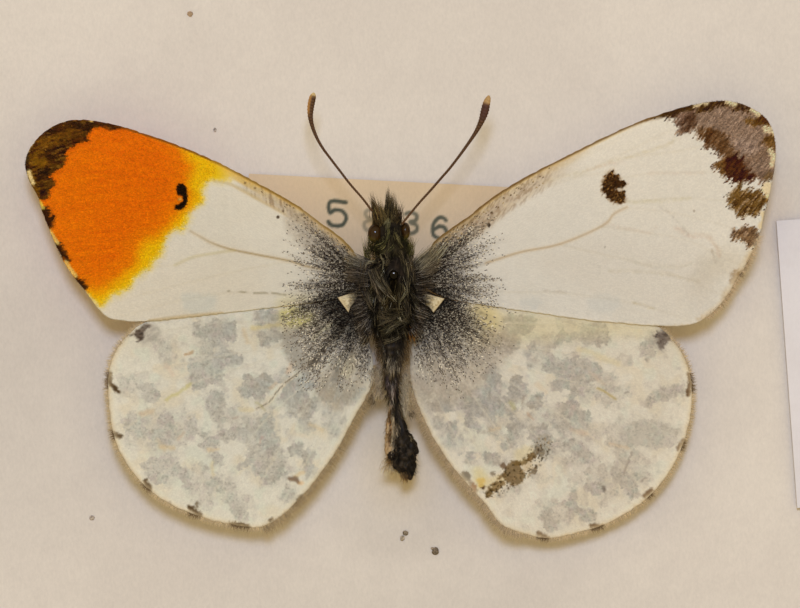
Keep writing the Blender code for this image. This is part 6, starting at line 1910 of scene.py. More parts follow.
def loft(name, centres, ru, rv, sides, tint, material, dent=None, up=(0, 0, 1)):
    """A closed body along a path: rings of half width ru and half height rv, with round ends."""
    c = np.asarray(centres, float)
    n_ring = len(c)
    tan = np.gradient(c, axis=0)
    tan /= np.linalg.norm(tan, axis=1, keepdims=True)
    u = np.cross(tan, np.array(up, float))
    u /= np.linalg.norm(u, axis=1, keepdims=True)
    v = np.cross(u, tan)
    a = np.linspace(0, 2 * math.pi, sides, endpoint=False)
    ring = c[:, None] + ru[:, None, None] * np.cos(a)[None, :, None] * u[:, None] + rv[:, None, None] * np.sin(a)[None, :, None] * v[:, None]
    if dent is not None:
        f = dent(np.arange(n_ring)[:, None] / (n_ring - 1), a[None])
        ring = c[:, None] + (ring - c[:, None]) * f[..., None]
    V = np.vstack([ring.reshape(-1, 3), c[:1], c[-1:]])
    idx = np.arange(n_ring * sides).reshape(n_ring, sides)
    nxt = np.roll(idx, -1, axis=1)
    quads = np.stack([idx[:-1].ravel(), nxt[:-1].ravel(), nxt[1:].ravel(), idx[1:].ravel()], 1)
    first, last = n_ring * sides, n_ring * sides + 1
    t0 = np.stack([np.full(sides, first), nxt[0], idx[0]], 1)
    t1 = np.stack([np.full(sides, last), idx[-1], nxt[-1]], 1)
    obj = mesh_object(name, V, [quads, np.vstack([t0, t1])], material, True)
    set_colour(obj, "tint", lin_array(tint(V, np.append(np.repeat(np.linspace(0, 1, n_ring), sides), [0, 1]), np.append(np.tile(a, n_ring), [0, 0]))))
    return obj


def blob(name, centre, radii, tint, material, n_lat=48, n_lon=72, dent=None):
    """A rounded lump with its own relief."""
    lat = np.linspace(-math.pi / 2, math.pi / 2, n_lat)[1:-1]
    lon = np.linspace(0, 2 * math.pi, n_lon, endpoint=False)
    A, B = np.meshgrid(lat, lon, indexing="ij")
    N = np.stack([np.cos(A) * np.cos(B), np.cos(A) * np.sin(B), np.sin(A)], 2).reshape(-1, 3)
    N = np.vstack([N, [[0, 0, -1]], [[0, 0, 1]]])
    f = dent(N) if dent is not None else np.ones(len(N))
    V = np.array(centre) + N * np.array(radii) * f[:, None]
    rows = n_lat - 2
    idx = np.arange(rows * n_lon).reshape(rows, n_lon)
    nxt = np.roll(idx, -1, axis=1)
    quads = np.stack([idx[:-1].ravel(), nxt[:-1].ravel(), nxt[1:].ravel(), idx[1:].ravel()], 1)
    s, t = rows * n_lon, rows * n_lon + 1
    t0 = np.stack([np.full(n_lon, s), nxt[0], idx[0]], 1)
    t1 = np.stack([np.full(n_lon, t), idx[-1], nxt[-1]], 1)
    obj = mesh_object(name, V, [quads, np.vstack([t0, t1])], material, True)
    set_colour(obj, "tint", lin_array(tint(V, N)))
    return obj


def px3(px, py, z):
    """Points of the view's grid at heights z (metres), as an (n, 3) array."""
    x, y = to_world(np.asarray(px, float), np.asarray(py, float), np.asarray(z, float))
    return np.stack([x, y, np.broadcast_to(z, np.shape(x))], 1)


rng = np.random.RandomState(41)


def pick(k, palette, weights):
    idx = rng.choice(len(palette), size=k, p=np.array(weights) / sum(weights))
    return np.array(palette, float)[idx] * (1 + 0.16 * rng.randn(k, 1))


# ------------------------------------------------------------------- antennae
def feeler(name, path, radii, tint, node):
    line = catmull([(x, y, r) for (x, y), r in zip(path, radii)], False, 24)
    line = resample(line, 0.55)
    px, py, r = line[:, 0], line[:, 1], np.maximum(line[:, 2], 0.15)
    s = np.linspace(0, 1, len(px))
    z = (14.1 + 0.3 * s) * MM
    run = np.concatenate([[0], np.cumsum(np.hypot(np.diff(px), np.diff(py)))])
    ring = 1 + 0.085 * np.cos(run / 3.1 * 2 * math.pi) * (1 - smooth(0.9, 1.0, s))
    ru = r * PLAN * ring
    rv = ru * (1 - 0.42 * smooth(0.72, 0.9, s))
    c = px3(px, py, z)
    obj = loft(name, c, ru, rv, 12, lambda V, t, a: tint(t, a, np.interp(t, s, run)), skin_mat)
    piece(obj, "antenna", node)


def feeler_tint(side):
    def tint(t, a, run):
        C = np.tile(np.array([80.0, 54.0, 30.0]), (len(t), 1))
        C += 14 * np.cos(run / 3.1 * 2 * math.pi)[:, None]
        lay(C, 0.25 * smooth(0.35, 0.0, t), (108, 78, 48))
        club = smooth(0.80, 0.87, t)
        if side < 0:
            inner = smooth(0.1, 0.7, -np.cos(a))
            lay(C, club * inner, (178, 128, 66))
            lay(C, smooth(0.955, 0.985, t), (196, 168, 112))
        else:
            lay(C, club * 0.8, (74, 46, 36))
            lay(C, smooth(0.925, 0.955, t) * 0.9, (186, 148, 92))
        return np.clip(C, 10, 240)
    return tint


feeler(
    "ringed_antenna_left",
    [(372, 211), (363, 199), (350, 184), (340, 171), (330, 158), (322, 147), (316, 136), (312, 125), (310.4, 116), (310.6, 108), (311.8, 101), (313.2, 95.5), (314, 92.6)],
    [1.15, 1.1, 1.15, 1.2, 1.25, 1.35, 1.6, 2.0, 2.6, 3.3, 3.5, 2.9, 0.7], feeler_tint(-1), "antenna_left",
)
feeler(
    "ringed_antenna_right",
    [(402, 224), (410, 214), (420, 202), (430, 191), (440, 179.5), (450, 168), (460, 155), (470, 141), (476.5, 131), (481.5, 121), (484.5, 112), (486.4, 104), (488.2, 98.5), (489, 95.4)],
    [1.15, 1.1, 1.15, 1.2, 1.25, 1.3, 1.4, 1.65, 2.1, 3.0, 4.0, 3.7, 2.6, 0.8], feeler_tint(1), "antenna_right",
)


# ----------------------------------------------------------------------- body
def dark_tint(rgb, swing, seed, size=0.12 * MM):
    def tint(V, N):
        f = fbm(V[:, 0] / size, V[:, 1] / size + V[:, 2] / size * 0.7, seed, 3)
        C = np.array(rgb, float) * (1 + swing * f[:, None])
        return np.clip(C, 4, 240)
    return tint


def lumpy(seed, size, amount):
    def dent(N):
        return 1 + amount * fbm(N[:, 0] / size + 3 * N[:, 2], N[:, 1] / size - 2 * N[:, 2], seed, 3)
    return dent


THORAX_C, THORAX_R = np.array([-0.15, -1.15, 12.95]) * MM, np.array([1.38, 2.80, 1.62]) * MM
HEAD_C = np.array([-0.20, 2.62, 13.1]) * MM

thorax_core = blob("thorax_core", THORAX_C, THORAX_R, dark_tint((40, 32, 24), 0.5, 601), hair_mat, 56, 84, lumpy(603, 0.35, 0.07))


def on_ellipsoid(k, centre, radii, low_z=-0.2, seed=0):
    local = np.random.RandomState(seed)
    out = []
    while len(out) < k:
        v = local.randn(k, 3)
        v /= np.linalg.norm(v, axis=1, keepdims=True)
        out.extend(v[v[:, 2] > low_z])
    N = np.array(out[:k])
    return centre + N * radii * 0.96, N


# short coat over the whole thorax, combed back and out
k = 5200
R0, N0 = on_ellipsoid(k, THORAX_C, THORAX_R, -0.15, 611)
side = np.sign(N0[:, 0:1])
swirl = fbm(R0[:, 0] / (0.9 * MM), R0[:, 1] / (1.3 * MM), 613, 2)
comb = np.stack([0.30 * N0[:, 0] + 0.55 * swirl + 0.12 * rng.randn(k), -0.95 + 0.65 * smooth(0.35, 0.9, N0[:, 1]) + 0.20 * rng.randn(k), 0.10 * N0[:, 2] + 0.06 * rng.randn(k)], 1)
comb += 0.16 * N0 * np.array([1.2, 0.6, 0.8])
comb /= np.linalg.norm(comb, axis=1, keepdims=True)
L0 = (0.55 + 0.45 * rng.rand(k, 1)) * MM
tips = R0 + comb * L0
flat_out = np.where(N0[:, 0:1] < 0, -1, 1)
bow = N0 * 0.08 * MM + 0.05 * MM * rng.randn(k, 3)
col = pick(k, [(17, 13, 7), (36, 29, 19), (82, 72, 51), (140, 129, 102)], [5, 4, 2.2, 0.8])
clump = smooth(0.05, 0.45, fbm(R0[:, 0] / (0.35 * MM), R0[:, 1] / (0.75 * MM), 615, 2))[:, None]
col = col * (0.78 + 0.75 * clump) + clump * np.array([[16.0, 15, 9]])
coat = strands("thorax_coat", R0, tips, bow, np.full(k, 0.0150 * MM) * (0.7 + 0.6 * rng.rand(k)), col * 0.75, np.clip(col * 1.15, 0, 235), None, 3)


def lock(name, guide, spread, count, length, rgb, z0, lift, radius=0.015, jitter=0.30):
    """A lock of hairs along a guide line that gathers to its tip; the guide's points are steps of the view's grid."""
    line = resample(catmull(guide, False, 10), 1.0)
    n_line = len(line)
    t = rng.rand(count) ** 1.3 * max(0.0, 1 - 0.6 * length / max(n_line, 1))
    i0 = (t * (n_line - 1)).astype(int)
    i1 = np.clip(i0 + (length * (0.55 + 0.8 * rng.rand(count))).astype(int), 0, n_line - 1)
    across = spread * rng.randn(count) * 0.5
    gather = 0.35 + 0.5 * rng.rand(count)
    def at(i, share):
        j = np.clip(i + 1, 0, n_line - 1)
        h = np.clip(i - 1, 0, n_line - 1)
        d = line[j] - line[h]
        d /= np.linalg.norm(d, axis=1, keepdims=True) + 1e-9
        return line[i] + np.stack([-d[:, 1], d[:, 0]], 1) * (across * share)[:, None]
    a, b = at(i0, np.ones(count)), at(i1, gather) + 0.22 * spread * rng.randn(count, 2)
    z = (z0 + lift * rng.rand(count)) * MM
    za, zb = z, z + 0.06 * MM * rng.randn(count)
    A, B = px3(a[:, 0], a[:, 1], za), px3(b[:, 0], b[:, 1], zb)
    base = np.array(rgb, float)[None] * np.clip(1.06 + 1.45 * jitter * rng.randn(count, 1), 0.30, 1.95)
    mid = at(np.clip((i0 + i1) // 2, 0, n_line - 1), (1 + gather) / 2) - (a + b) / 2 + 0.10 * spread * rng.randn(count, 2)
    bw = np.stack([mid[:, 0] * PLAN, -mid[:, 1] * PLAN, 0.05 * MM * np.ones(count)], 1)
    return strands(name, A, B, bw, np.full(count, radius * MM) * (0.6 + 0.7 * rng.rand(count)), np.clip(base * 0.75, 4, 240), np.clip(base * 1.2, 4, 245), None, 3)


def thorax_top(px, py):
    """The height of the thorax's coat, in mm, at a place of the grid."""
    X, Y = to_world(px, py, 14.5 * MM)
    q = 1 - ((X - THORAX_C[0]) / (THORAX_R[0] * 1.12)) ** 2 - ((Y - THORAX_C[1]) / (THORAX_R[1] * 1.06)) ** 2
    return (THORAX_C[2] + THORAX_R[2] * 1.10 * math.sqrt(max(q, 0.02))) / MM


LOCKS = [
    # guide, spread, count, length, colour, height over the coat
    ([(380, 254), (383.5, 263), (381, 273)], 1.6, 16, 12, (128, 118, 88), 0.14),
    ([(386, 250), (388, 260), (386, 268)], 3.0, 40, 10, (84, 74, 54), 0.08),
    ([(373, 268), (378, 278), (386, 289), (394, 302)], 4.6, 70, 18, (92, 82, 62), 0.08),
    ([(373, 277), (380, 287), (388, 295), (397, 303)], 1.5, 17, 15, (150, 140, 116), 0.20),
    ([(370, 270), (374, 282), (379, 296), (385, 308)], 3.2, 50, 16, (104, 92, 72), 0.12),
    ([(364, 268), (369, 262), (377, 262)], 2.4, 34, 10, (126, 116, 92), 0.12),
    ([(366, 262), (364, 280), (368, 300), (374, 318)], 5.0, 110, 18, (80, 68, 50), 0.03),
    ([(366, 292), (371, 306), (381, 318)], 4.4, 60, 14, (86, 76, 58), 0.08),
    ([(399, 302), (404, 296), (407, 288)], 2.2, 18, 9, (128, 120, 94), 0.18),
    ([(409, 254), (412, 276), (410, 306)], 5.0, 100, 18, (78, 67, 48), 0.03),
    ([(404, 258), (408, 276), (407, 292)], 3.0, 40, 14, (92, 82, 60), 0.08),
    ([(400, 250), (404, 262), (405, 276)], 3.4, 50, 12, (80, 70, 50), 0.08),
    ([(401, 298), (406, 308), (408, 320)], 4.0, 50, 11, (86, 76, 58), 0.08),
    ([(378, 310), (390, 314), (404, 311)], 6.0, 60, 12, (78, 70, 52), 0.08),
    ([(380, 306), (386, 318), (396, 328)], 5.0, 60, 13, (74, 64, 48), 0.06),
    ([(381, 334), (389, 329), (399, 322), (411, 317)], 7.0, 110, 16, (76, 69, 50), 0.16),
    ([(385, 334), (394, 327), (409, 320)], 3.6, 30, 15, (116, 107, 85), 0.30),
    ([(377, 326), (387, 321), (400, 316)], 3.4, 40, 13, (92, 83, 64), 0.22),
    ([(383, 341), (394, 338), (408, 330)], 3.0, 50, 14, (104, 95, 74), 0.16),
    ([(376, 346), (388, 342), (404, 336)], 6.0, 90, 14, (66, 57, 43), 0.04),
    ([(382, 348), (392, 344), (403, 341)], 2.2, 26, 10, (112, 102, 80), 0.14),
    # a short lock of pale hairs on the rear band: painted highlight where the band catches the light
    ([(399, 317), (400.5, 321.5)], 1.8, 8, 5, (184, 172, 136), 0.42),
]
neck = blob("neck", (-0.12 * MM, 1.62 * MM, 12.95 * MM), (1.08 * MM, 0.85 * MM, 1.0 * MM), dark_tint((44, 37, 22), 0.5, 605), hair_mat, 30, 48, lumpy(607, 0.4, 0.08))
parts = [thorax_core, neck, coat]
for i, (guide, spread, count, length, rgb, over) in enumerate(LOCKS):
    mid = guide[len(guide) // 2]
    parts.append(lock(f"lock{i}", guide, spread, count, length, rgb, max(thorax_top(*mid), 13.5) - 0.12 + over, 0.22))

# long side hairs that lie out over the wing roots
for sgn, cx in ((-1, 366.0), (1, 414.5)):
    k = 900
    t = rng.rand(k) ** 1.25
    ys = 269 + 65 * t
    fan = np.interp(t, [0, 0.15, 0.4, 0.7, 1.0], [-20, -6, 8, 32, 58] if sgn < 0 else [-36, -16, 4, 28, 54]) + 12 * rng.randn(k)
    L = (7 + 15 * rng.rand(k)) * np.interp(t, [0, 0.45, 1.0], [1.30, 1.15, 0.75])
    a = np.radians(fan)
    rx = cx + sgn * rng.rand(k) * -6.0
    tx, ty = rx + sgn * np.cos(a) * L, ys + np.sin(a) * L
    za = (13.50 + 0.30 * rng.rand(k)) * MM
    zb = (13.10 + 0.14 * rng.rand(k)) * MM
    col = pick(k, [(26, 21, 15), (66, 56, 45), (112, 99, 84), (172, 160, 140)], [3.8, 3.4, 2.5, 1.4])
    parts.append(strands(f"side_hair_{'l' if sgn < 0 else 'r'}", px3(rx, ys, za), px3(tx, ty, zb), np.tile([0, 0, 0.10 * MM], (k, 1)) + 0.05 * MM * rng.randn(k, 3), np.full(k, 0.012 * MM), col * 0.8, col * 1.1, None, 4))
# orange-brown tuft at the right hind corner, golden olive tufts behind the eyes, grey ones at the front of the wing roots
for (x0, y0, x1, y1), (dx, dy), count, rgb, z in (
    ((406, 322, 413, 331), (2.5, 12), 70, (132, 90, 40), 13.4),
    ((373, 324, 380, 334), (-2.0, 11), 50, (78, 60, 36), 13.3),
    ((365, 250, 371, 264), (-2.5, -11), 80, (92, 84, 44), 13.3),
    ((368, 240, 380, 256), (-0.5, -8), 150, (74, 68, 32), 13.35),
    ((370, 244, 382, 258), (3.0, -8), 90, (52, 46, 26), 13.5),
    ((407, 248, 413, 262), (2.0, -11), 90, (104, 94, 48), 13.3),
    ((399, 240, 410, 256), (1.0, -8), 150, (80, 72, 36), 13.35),
    ((398, 244, 408, 258), (-2.0, -8), 80, (50, 44, 26), 13.5),
    ((360, 260, 371, 272), (-17, -7), 170, (134, 124, 104), 13.38),
    ((360, 268, 372, 280), (-18, 0), 120, (104, 92, 76), 13.34),
    ((411, 262, 421, 274), (15, -15), 190, (150, 138, 110), 13.38),
    ((414, 268, 424, 280), (18, -10), 120, (118, 104, 82), 13.34),
    ((420, 258, 434, 268), (14, -17), 90, (168, 154, 122), 13.16),
    ((414, 278, 424, 290), (16, -2), 60, (92, 80, 64), 13.2),
):
    a = np.stack([x0 + (x1 - x0) * rng.rand(count), y0 + (y1 - y0) * rng.rand(count)], 1)
    b = a + np.array([dx, dy]) * (0.5 + 0.9 * rng.rand(count, 1)) + 1.8 * rng.randn(count, 2)
    base = np.array(rgb, float)[None] * np.clip(1 + 0.28 * rng.randn(count, 1), 0.3, 1.6)
    parts.append(strands("tuft", px3(a[:, 0], a[:, 1], (z + 0.25 * rng.rand(count)) * MM), px3(b[:, 0], b[:, 1], (z + 0.02 + 0.14 * rng.rand(count)) * MM), np.tile([0, 0, 0.06 * MM], (count, 1)) + 0.03 * MM * rng.randn(count, 3), np.full(count, 0.0125 * MM), np.clip(base * 0.75, 4, 240), np.clip(base * 1.15, 4, 240), None, 3))
joined("hairy_thorax", parts, "dark_hair", "thorax")

# head: core, eyes and the brush of hairs on the palps
parts = [blob("head_core", HEAD_C, (0.80 * MM, 0.70 * MM, 0.78 * MM), dark_tint((36, 30, 22), 0.4, 621), hair_mat, 30, 44, lumpy(623, 0.4, 0.06))]
for (tx, ty), (bx, by), spread, count, rgb in (
    ((371.0, 194.5), (378, 224), 1.5, 110, (58, 52, 40)),
    ((374.5, 199.0), (380, 224), 1.8, 80, (70, 62, 46)),
    ((379.5, 199.5), (382, 224), 1.7, 90, (84, 78, 58)),
    ((388.3, 187.5), (388, 222), 1.3, 120, (52, 50, 40)),
    ((392.8, 191.5), (391, 222), 1.4, 90, (66, 62, 50)),
    ((396.5, 199.5), (395, 223), 1.8, 110, (62, 58, 46)),
    ((400.5, 206.0), (398, 224), 2.0, 90, (54, 48, 38)),
    ((384.0, 206.0), (385, 224), 3.0, 100, (96, 92, 70)),
    ((376.0, 208.0), (379, 226), 2.6, 80, (72, 64, 46)),
    ((391.0, 208.0), (391, 226), 3.6, 120, (74, 72, 58)),
    ((386.0, 216.0), (386, 232), 4.0, 110, (92, 88, 66)),
    ((395.0, 216.0), (394, 232), 4.0, 90, (60, 56, 44)),
):
    b = np.array([bx, by]) + rng.randn(count, 2) * np.array([3.0, 3.0])
    short = 0.55 + 0.5 * rng.rand(count, 1) ** 0.6
    count = int(count * 0.72)
    b, short = b[:count], short[:count]
    tpos = np.array([tx, ty]) + rng.randn(count, 2) * np.array([spread * 1.15, 2.4])
    e = b + (tpos - b) * np.minimum(short, 1.0)
    e[:, 0] += (1 - np.minimum(short[:, 0], 1)) * rng.randn(count) * 2.5
    zb, ze = (13.05 + 0.45 * rng.rand(count)) * MM, (13.25 + 0.35 * rng.rand(count)) * MM
    base = np.array(rgb, float)[None] * np.array([[1.34, 1.18, 0.92]]) * np.clip(1 + 0.34 * rng.randn(count, 1), 0.3, 1.8)
    parts.append(strands("palp", px3(b[:, 0], b[:, 1], zb), px3(e[:, 0], e[:, 1], ze), 0.03 * MM * rng.randn(count, 3), np.full(count, 0.0145 * MM), np.clip(base * 0.75, 4, 240), np.clip(base * 1.12, 4, 240), None, 3))
# forehead and nape
k = 800
a = np.stack([391 + 8.5 * rng.randn(k) * 0.6, 226 + 26 * rng.rand(k)], 1)
b = a + np.stack([1.5 * rng.randn(k), 4 + 8 * rng.rand(k)], 1)
col = pick(k, [(32, 26, 17), (52, 44, 28), (84, 76, 48), (112, 102, 66)], [5, 3, 1.4, 0.5])
zc = 13.86 - 0.0035 * (a[:, 0] - 391) ** 2
parts.append(strands("nape", px3(a[:, 0], a[:, 1], (zc - 0.08) * MM), px3(b[:, 0], b[:, 1], (zc + 0.12 * rng.rand(k)) * MM), np.tile([0, 0, 0.06 * MM], (k, 1)), np.full(k, 0.015 * MM), col * 0.75, np.clip(col * 1.15, 0, 240), None, 3))
for i, (guide, spread, count, length, rgb) in enumerate((
    ([(376, 248), (384, 244), (388, 236), (388, 227)], 2.4, 44, 14, (104, 98, 60)),
    ([(380, 254), (390, 250), (396, 244)], 2.4, 30, 12, (80, 74, 46)),
    ([(402, 248), (398, 240), (394, 230)], 2.4, 34, 14, (86, 78, 50)),
    ([(391, 256), (390, 246), (391, 234)], 4.0, 40, 14, (66, 58, 38)),
    ([(386, 232), (387, 226), (389, 218)], 4.0, 40, 10, (104, 98, 70)),
)):
    parts.append(lock(f"nape_lock{i}", guide, spread, count, length, rgb, 13.86, 0.16))
joined("hairy_head", parts, "dark_hair", "head")

n = Nodes("glossy_eye")
base = n.new("ShaderNodeAttribute", attribute_name="tint").outputs["Color"]
facet = n.voronoi(n.coords(), 30000.0)
eye_mat = n.done(base, 0.10, n.bump(facet.outputs["Distance"], 0.05, 0.00001), specular_ior_level=0.22)
for name, (ex, ey), radii, sgn in (("eye_left", (375.2, 233.6), (0.46, 0.60, 0.50), -1), ("eye_right", (405.4, 231.0), (0.30, 0.53, 0.46), 1)):
    c = px3([ex], [ey], 13.25 * MM)[0]

    def eye_tint(V, N, sgn=sgn):
        C = np.tile(np.array([46.0, 28.0, 9.0]), (len(V), 1))
        edge = smooth(0.55, 0.98, np.hypot(N[:, 0], N[:, 1]))
        lay(C, 0.7 * edge, (66, 44, 16))
        lay(C, 0.75 * smooth(0.25, 0.85, -N[:, 1] + 0.35 * sgn * N[:, 0]), (96, 80, 28))
        lay(C, 0.5 * smooth(0.3, 0.8, N[:, 1]), (30, 18, 8))
        C *= (1 + 0.25 * fbm(N[:, 0] * 7, N[:, 1] * 7, 631, 3))[:, None]
        return np.clip(C, 4, 230)

    eye = blob(name, c, np.array(radii) * MM, eye_tint, eye_mat, 36, 54)
    piece(eye, "dark_skin")

# ------------------------------------------------------------------- abdomen
STATIONS = [
    (392.0, 326, 15.0, 0.85), (392.4, 336, 16.0, 1.00), (392.8, 344, 14.8, 1.00), (392.8, 351, 12.6, 0.92), (392.6, 360, 10.4, 0.80),
    (392.4, 369, 8.7, 0.72), (391.9, 377, 8.0, 0.64), (391.8, 384, 7.6, 0.58), (392.6, 391, 5.6, 0.48), (394.0, 399, 4.2, 0.38),
    (395.3, 406, 3.5, 0.32), (397.0, 412, 3.4, 0.32), (399.4, 418, 3.9, 0.36), (401.4, 426, 5.2, 0.46), (402.2, 434, 6.8, 0.62),
    (404.0, 440, 9.6, 0.78), (405.6, 446, 11.0, 0.88), (404.6, 452, 11.6, 0.90), (403.6, 458, 12.4, 0.88), (405.2, 464, 10.6, 0.78), (408.0, 470, 7.4, 0.58), (409.8, 475, 4.6, 0.38), (410.4, 480, 1.2, 0.12),
]
line = resample(catmull([(x, y, w, h) for x, y, w, h in STATIONS], False, 10), 0.8)
zc = np.interp(line[:, 1], [328, 380, 420, 480], [12.9, 12.75, 12.5, 12.35]) * MM
spine = px3(line[:, 0], line[:, 1], zc)


def wrinkled(t, a):
    y = 328 + 153 * t
    fold = 0.14 * fbm(np.broadcast_to(a * 2.6, np.broadcast_shapes(np.shape(t), np.shape(a))), np.broadcast_to(y / 16.0, np.broadcast_shapes(np.shape(t), np.shape(a))), 641, 3)
    lump = smooth(425, 440, y) * (0.40 * fbm(a * 1.9 + 0 * t, y / 7.0 + 0 * a, 643, 3) + 0.20 * fbm(a * 5.0 + 0 * t, y / 2.6 + 0 * a, 645, 2))
    ribs = 0.035 * np.sin(y / 7.2 * 2 * math.pi) * smooth(330, 345, y) * smooth(425, 400, y)
    return 1 + fold + lump + ribs


def belly_tint(V, t, a):
    y = 328 + 153 * t
    C = np.tile(np.array([30.0, 23.0, 16.0]), (len(V), 1))
    lay(C, 0.5 * smooth(0.0, 0.5, fbm(a * 3.0, y / 26, 651, 3)), (70, 60, 47))
    # a greyish-violet band across the middle: partly the skin's own purplish tint, partly painted sheen
    lay(C, 0.6 * smooth(356, 368, y) * smooth(400, 388, y), (70, 58, 56))
    lay(C, 0.7 * smooth(0.05, 0.45, fbm(a * 7.0, y / 40, 653, 2)) * smooth(440, 400, y), (88, 78, 64))
    lay(C, 0.8 * smooth(425, 445, y), (27, 21, 15))
    lay(C, 0.55 * smooth(425, 440, y) * smooth(0.0, 0.4, fbm(a * 4.0, y / 6, 655, 3)), (78, 64, 46))
    # lighter violet patches in the same band: partly the skin's own tint, partly painted sheen
    lay(C, 0.5 * smooth(366, 376, y) * smooth(398, 388, y) * smooth(-0.1, 0.4, fbm(a * 3.0, y / 9, 657, 2)), (104, 88, 92))
    return np.clip(C, 4, 230)


parts = [loft("abdomen_core", spine, line[:, 2] * PLAN, line[:, 3] * MM, 44, belly_tint, skin_mat, wrinkled)]
# the torn, tan side skin hangs on at the left
flap = resample(catmull([(393.5, 399, 1.2), (392.2, 406, 2.8), (391.6, 414, 3.6), (391.0, 424, 4.4), (390.6, 434, 4.9), (390.0, 444, 5.0), (389.2, 452, 4.4), (388.6, 457, 1.6)], False, 10), 0.7)
zf = (12.62 + 0.10 * np.sin(flap[:, 1] / 3.2)) * MM


def flap_tint(V, t, a):
    C = np.tile(np.array([172.0, 144.0, 104.0]), (len(V), 1))
    edge = np.abs(np.cos(a))
    lay(C, 0.7 * smooth(0.70, 0.97, edge), (116, 86, 46))
    lay(C, 0.7 * smooth(0.0, 0.5, fbm(t * 7, a * 6.0, 661, 3)), (118, 84, 46))
    lay(C, 0.6 * smooth(0.1, 0.5, fbm(t * 9 + 4, a * 7.0, 663, 2)), (206, 182, 146))
    return np.clip(C, 4, 240)


parts.append(loft("side_skin", px3(flap[:, 0], flap[:, 1], zf), flap[:, 2] * PLAN, np.full(len(flap), 0.10 * MM), 26, flap_tint, skin_mat, lambda t, a: 1 + 0.28 * fbm(t * 22 + 0 * a, a * 1.2 + 0 * t, 665, 3)))
parts.append(blob("side_lump", px3([393.0], [454.6], 12.58 * MM)[0], (0.34 * MM, 0.30 * MM, 0.28 * MM), dark_tint((36, 26, 16), 0.4, 667), skin_mat, 22, 32, lumpy(669, 0.4, 0.22)))
k = 2200
t = rng.rand(k)
ys = 334 + 140 * t
hw = np.interp(ys, line[:, 1], line[:, 2])
u = rng.rand(k) * 2 - 1
xs = np.interp(ys, line[:, 1], line[:, 0]) + u * hw * 0.9
zs = np.interp(ys, line[:, 1], zc) + np.interp(ys, line[:, 1], line[:, 3]) * MM * np.sqrt(1 - (u * 0.9) ** 2) * 0.97
side_hair = np.abs(u) > 0.72
e = np.stack([xs + np.where(side_hair, 4.5, 2.0) * u + 1.5 * rng.randn(k), ys + np.where(ys > 420, 2 + 4 * rng.rand(k), 5 + 8 * rng.rand(k))], 1)
col = pick(k, [(36, 29, 20), (58, 49, 36), (96, 86, 66)], [5, 3, 1.0])
col[ys > 420] *= 0.72
edge_hair = side_hair & (ys < 385)
col[edge_hair] = np.array([112, 92, 62]) * (0.6 + 0.6 * rng.rand(int(edge_hair.sum()), 1))
parts.append(strands("belly_hair", px3(xs, ys, zs), px3(e[:, 0], e[:, 1], zs + 0.06 * MM * rng.rand(k) - 0.05 * MM), np.tile([0, 0, 0.05 * MM], (k, 1)), np.full(k, 0.012 * MM), col * 0.8, col * 1.1, None, 2, skin_mat))
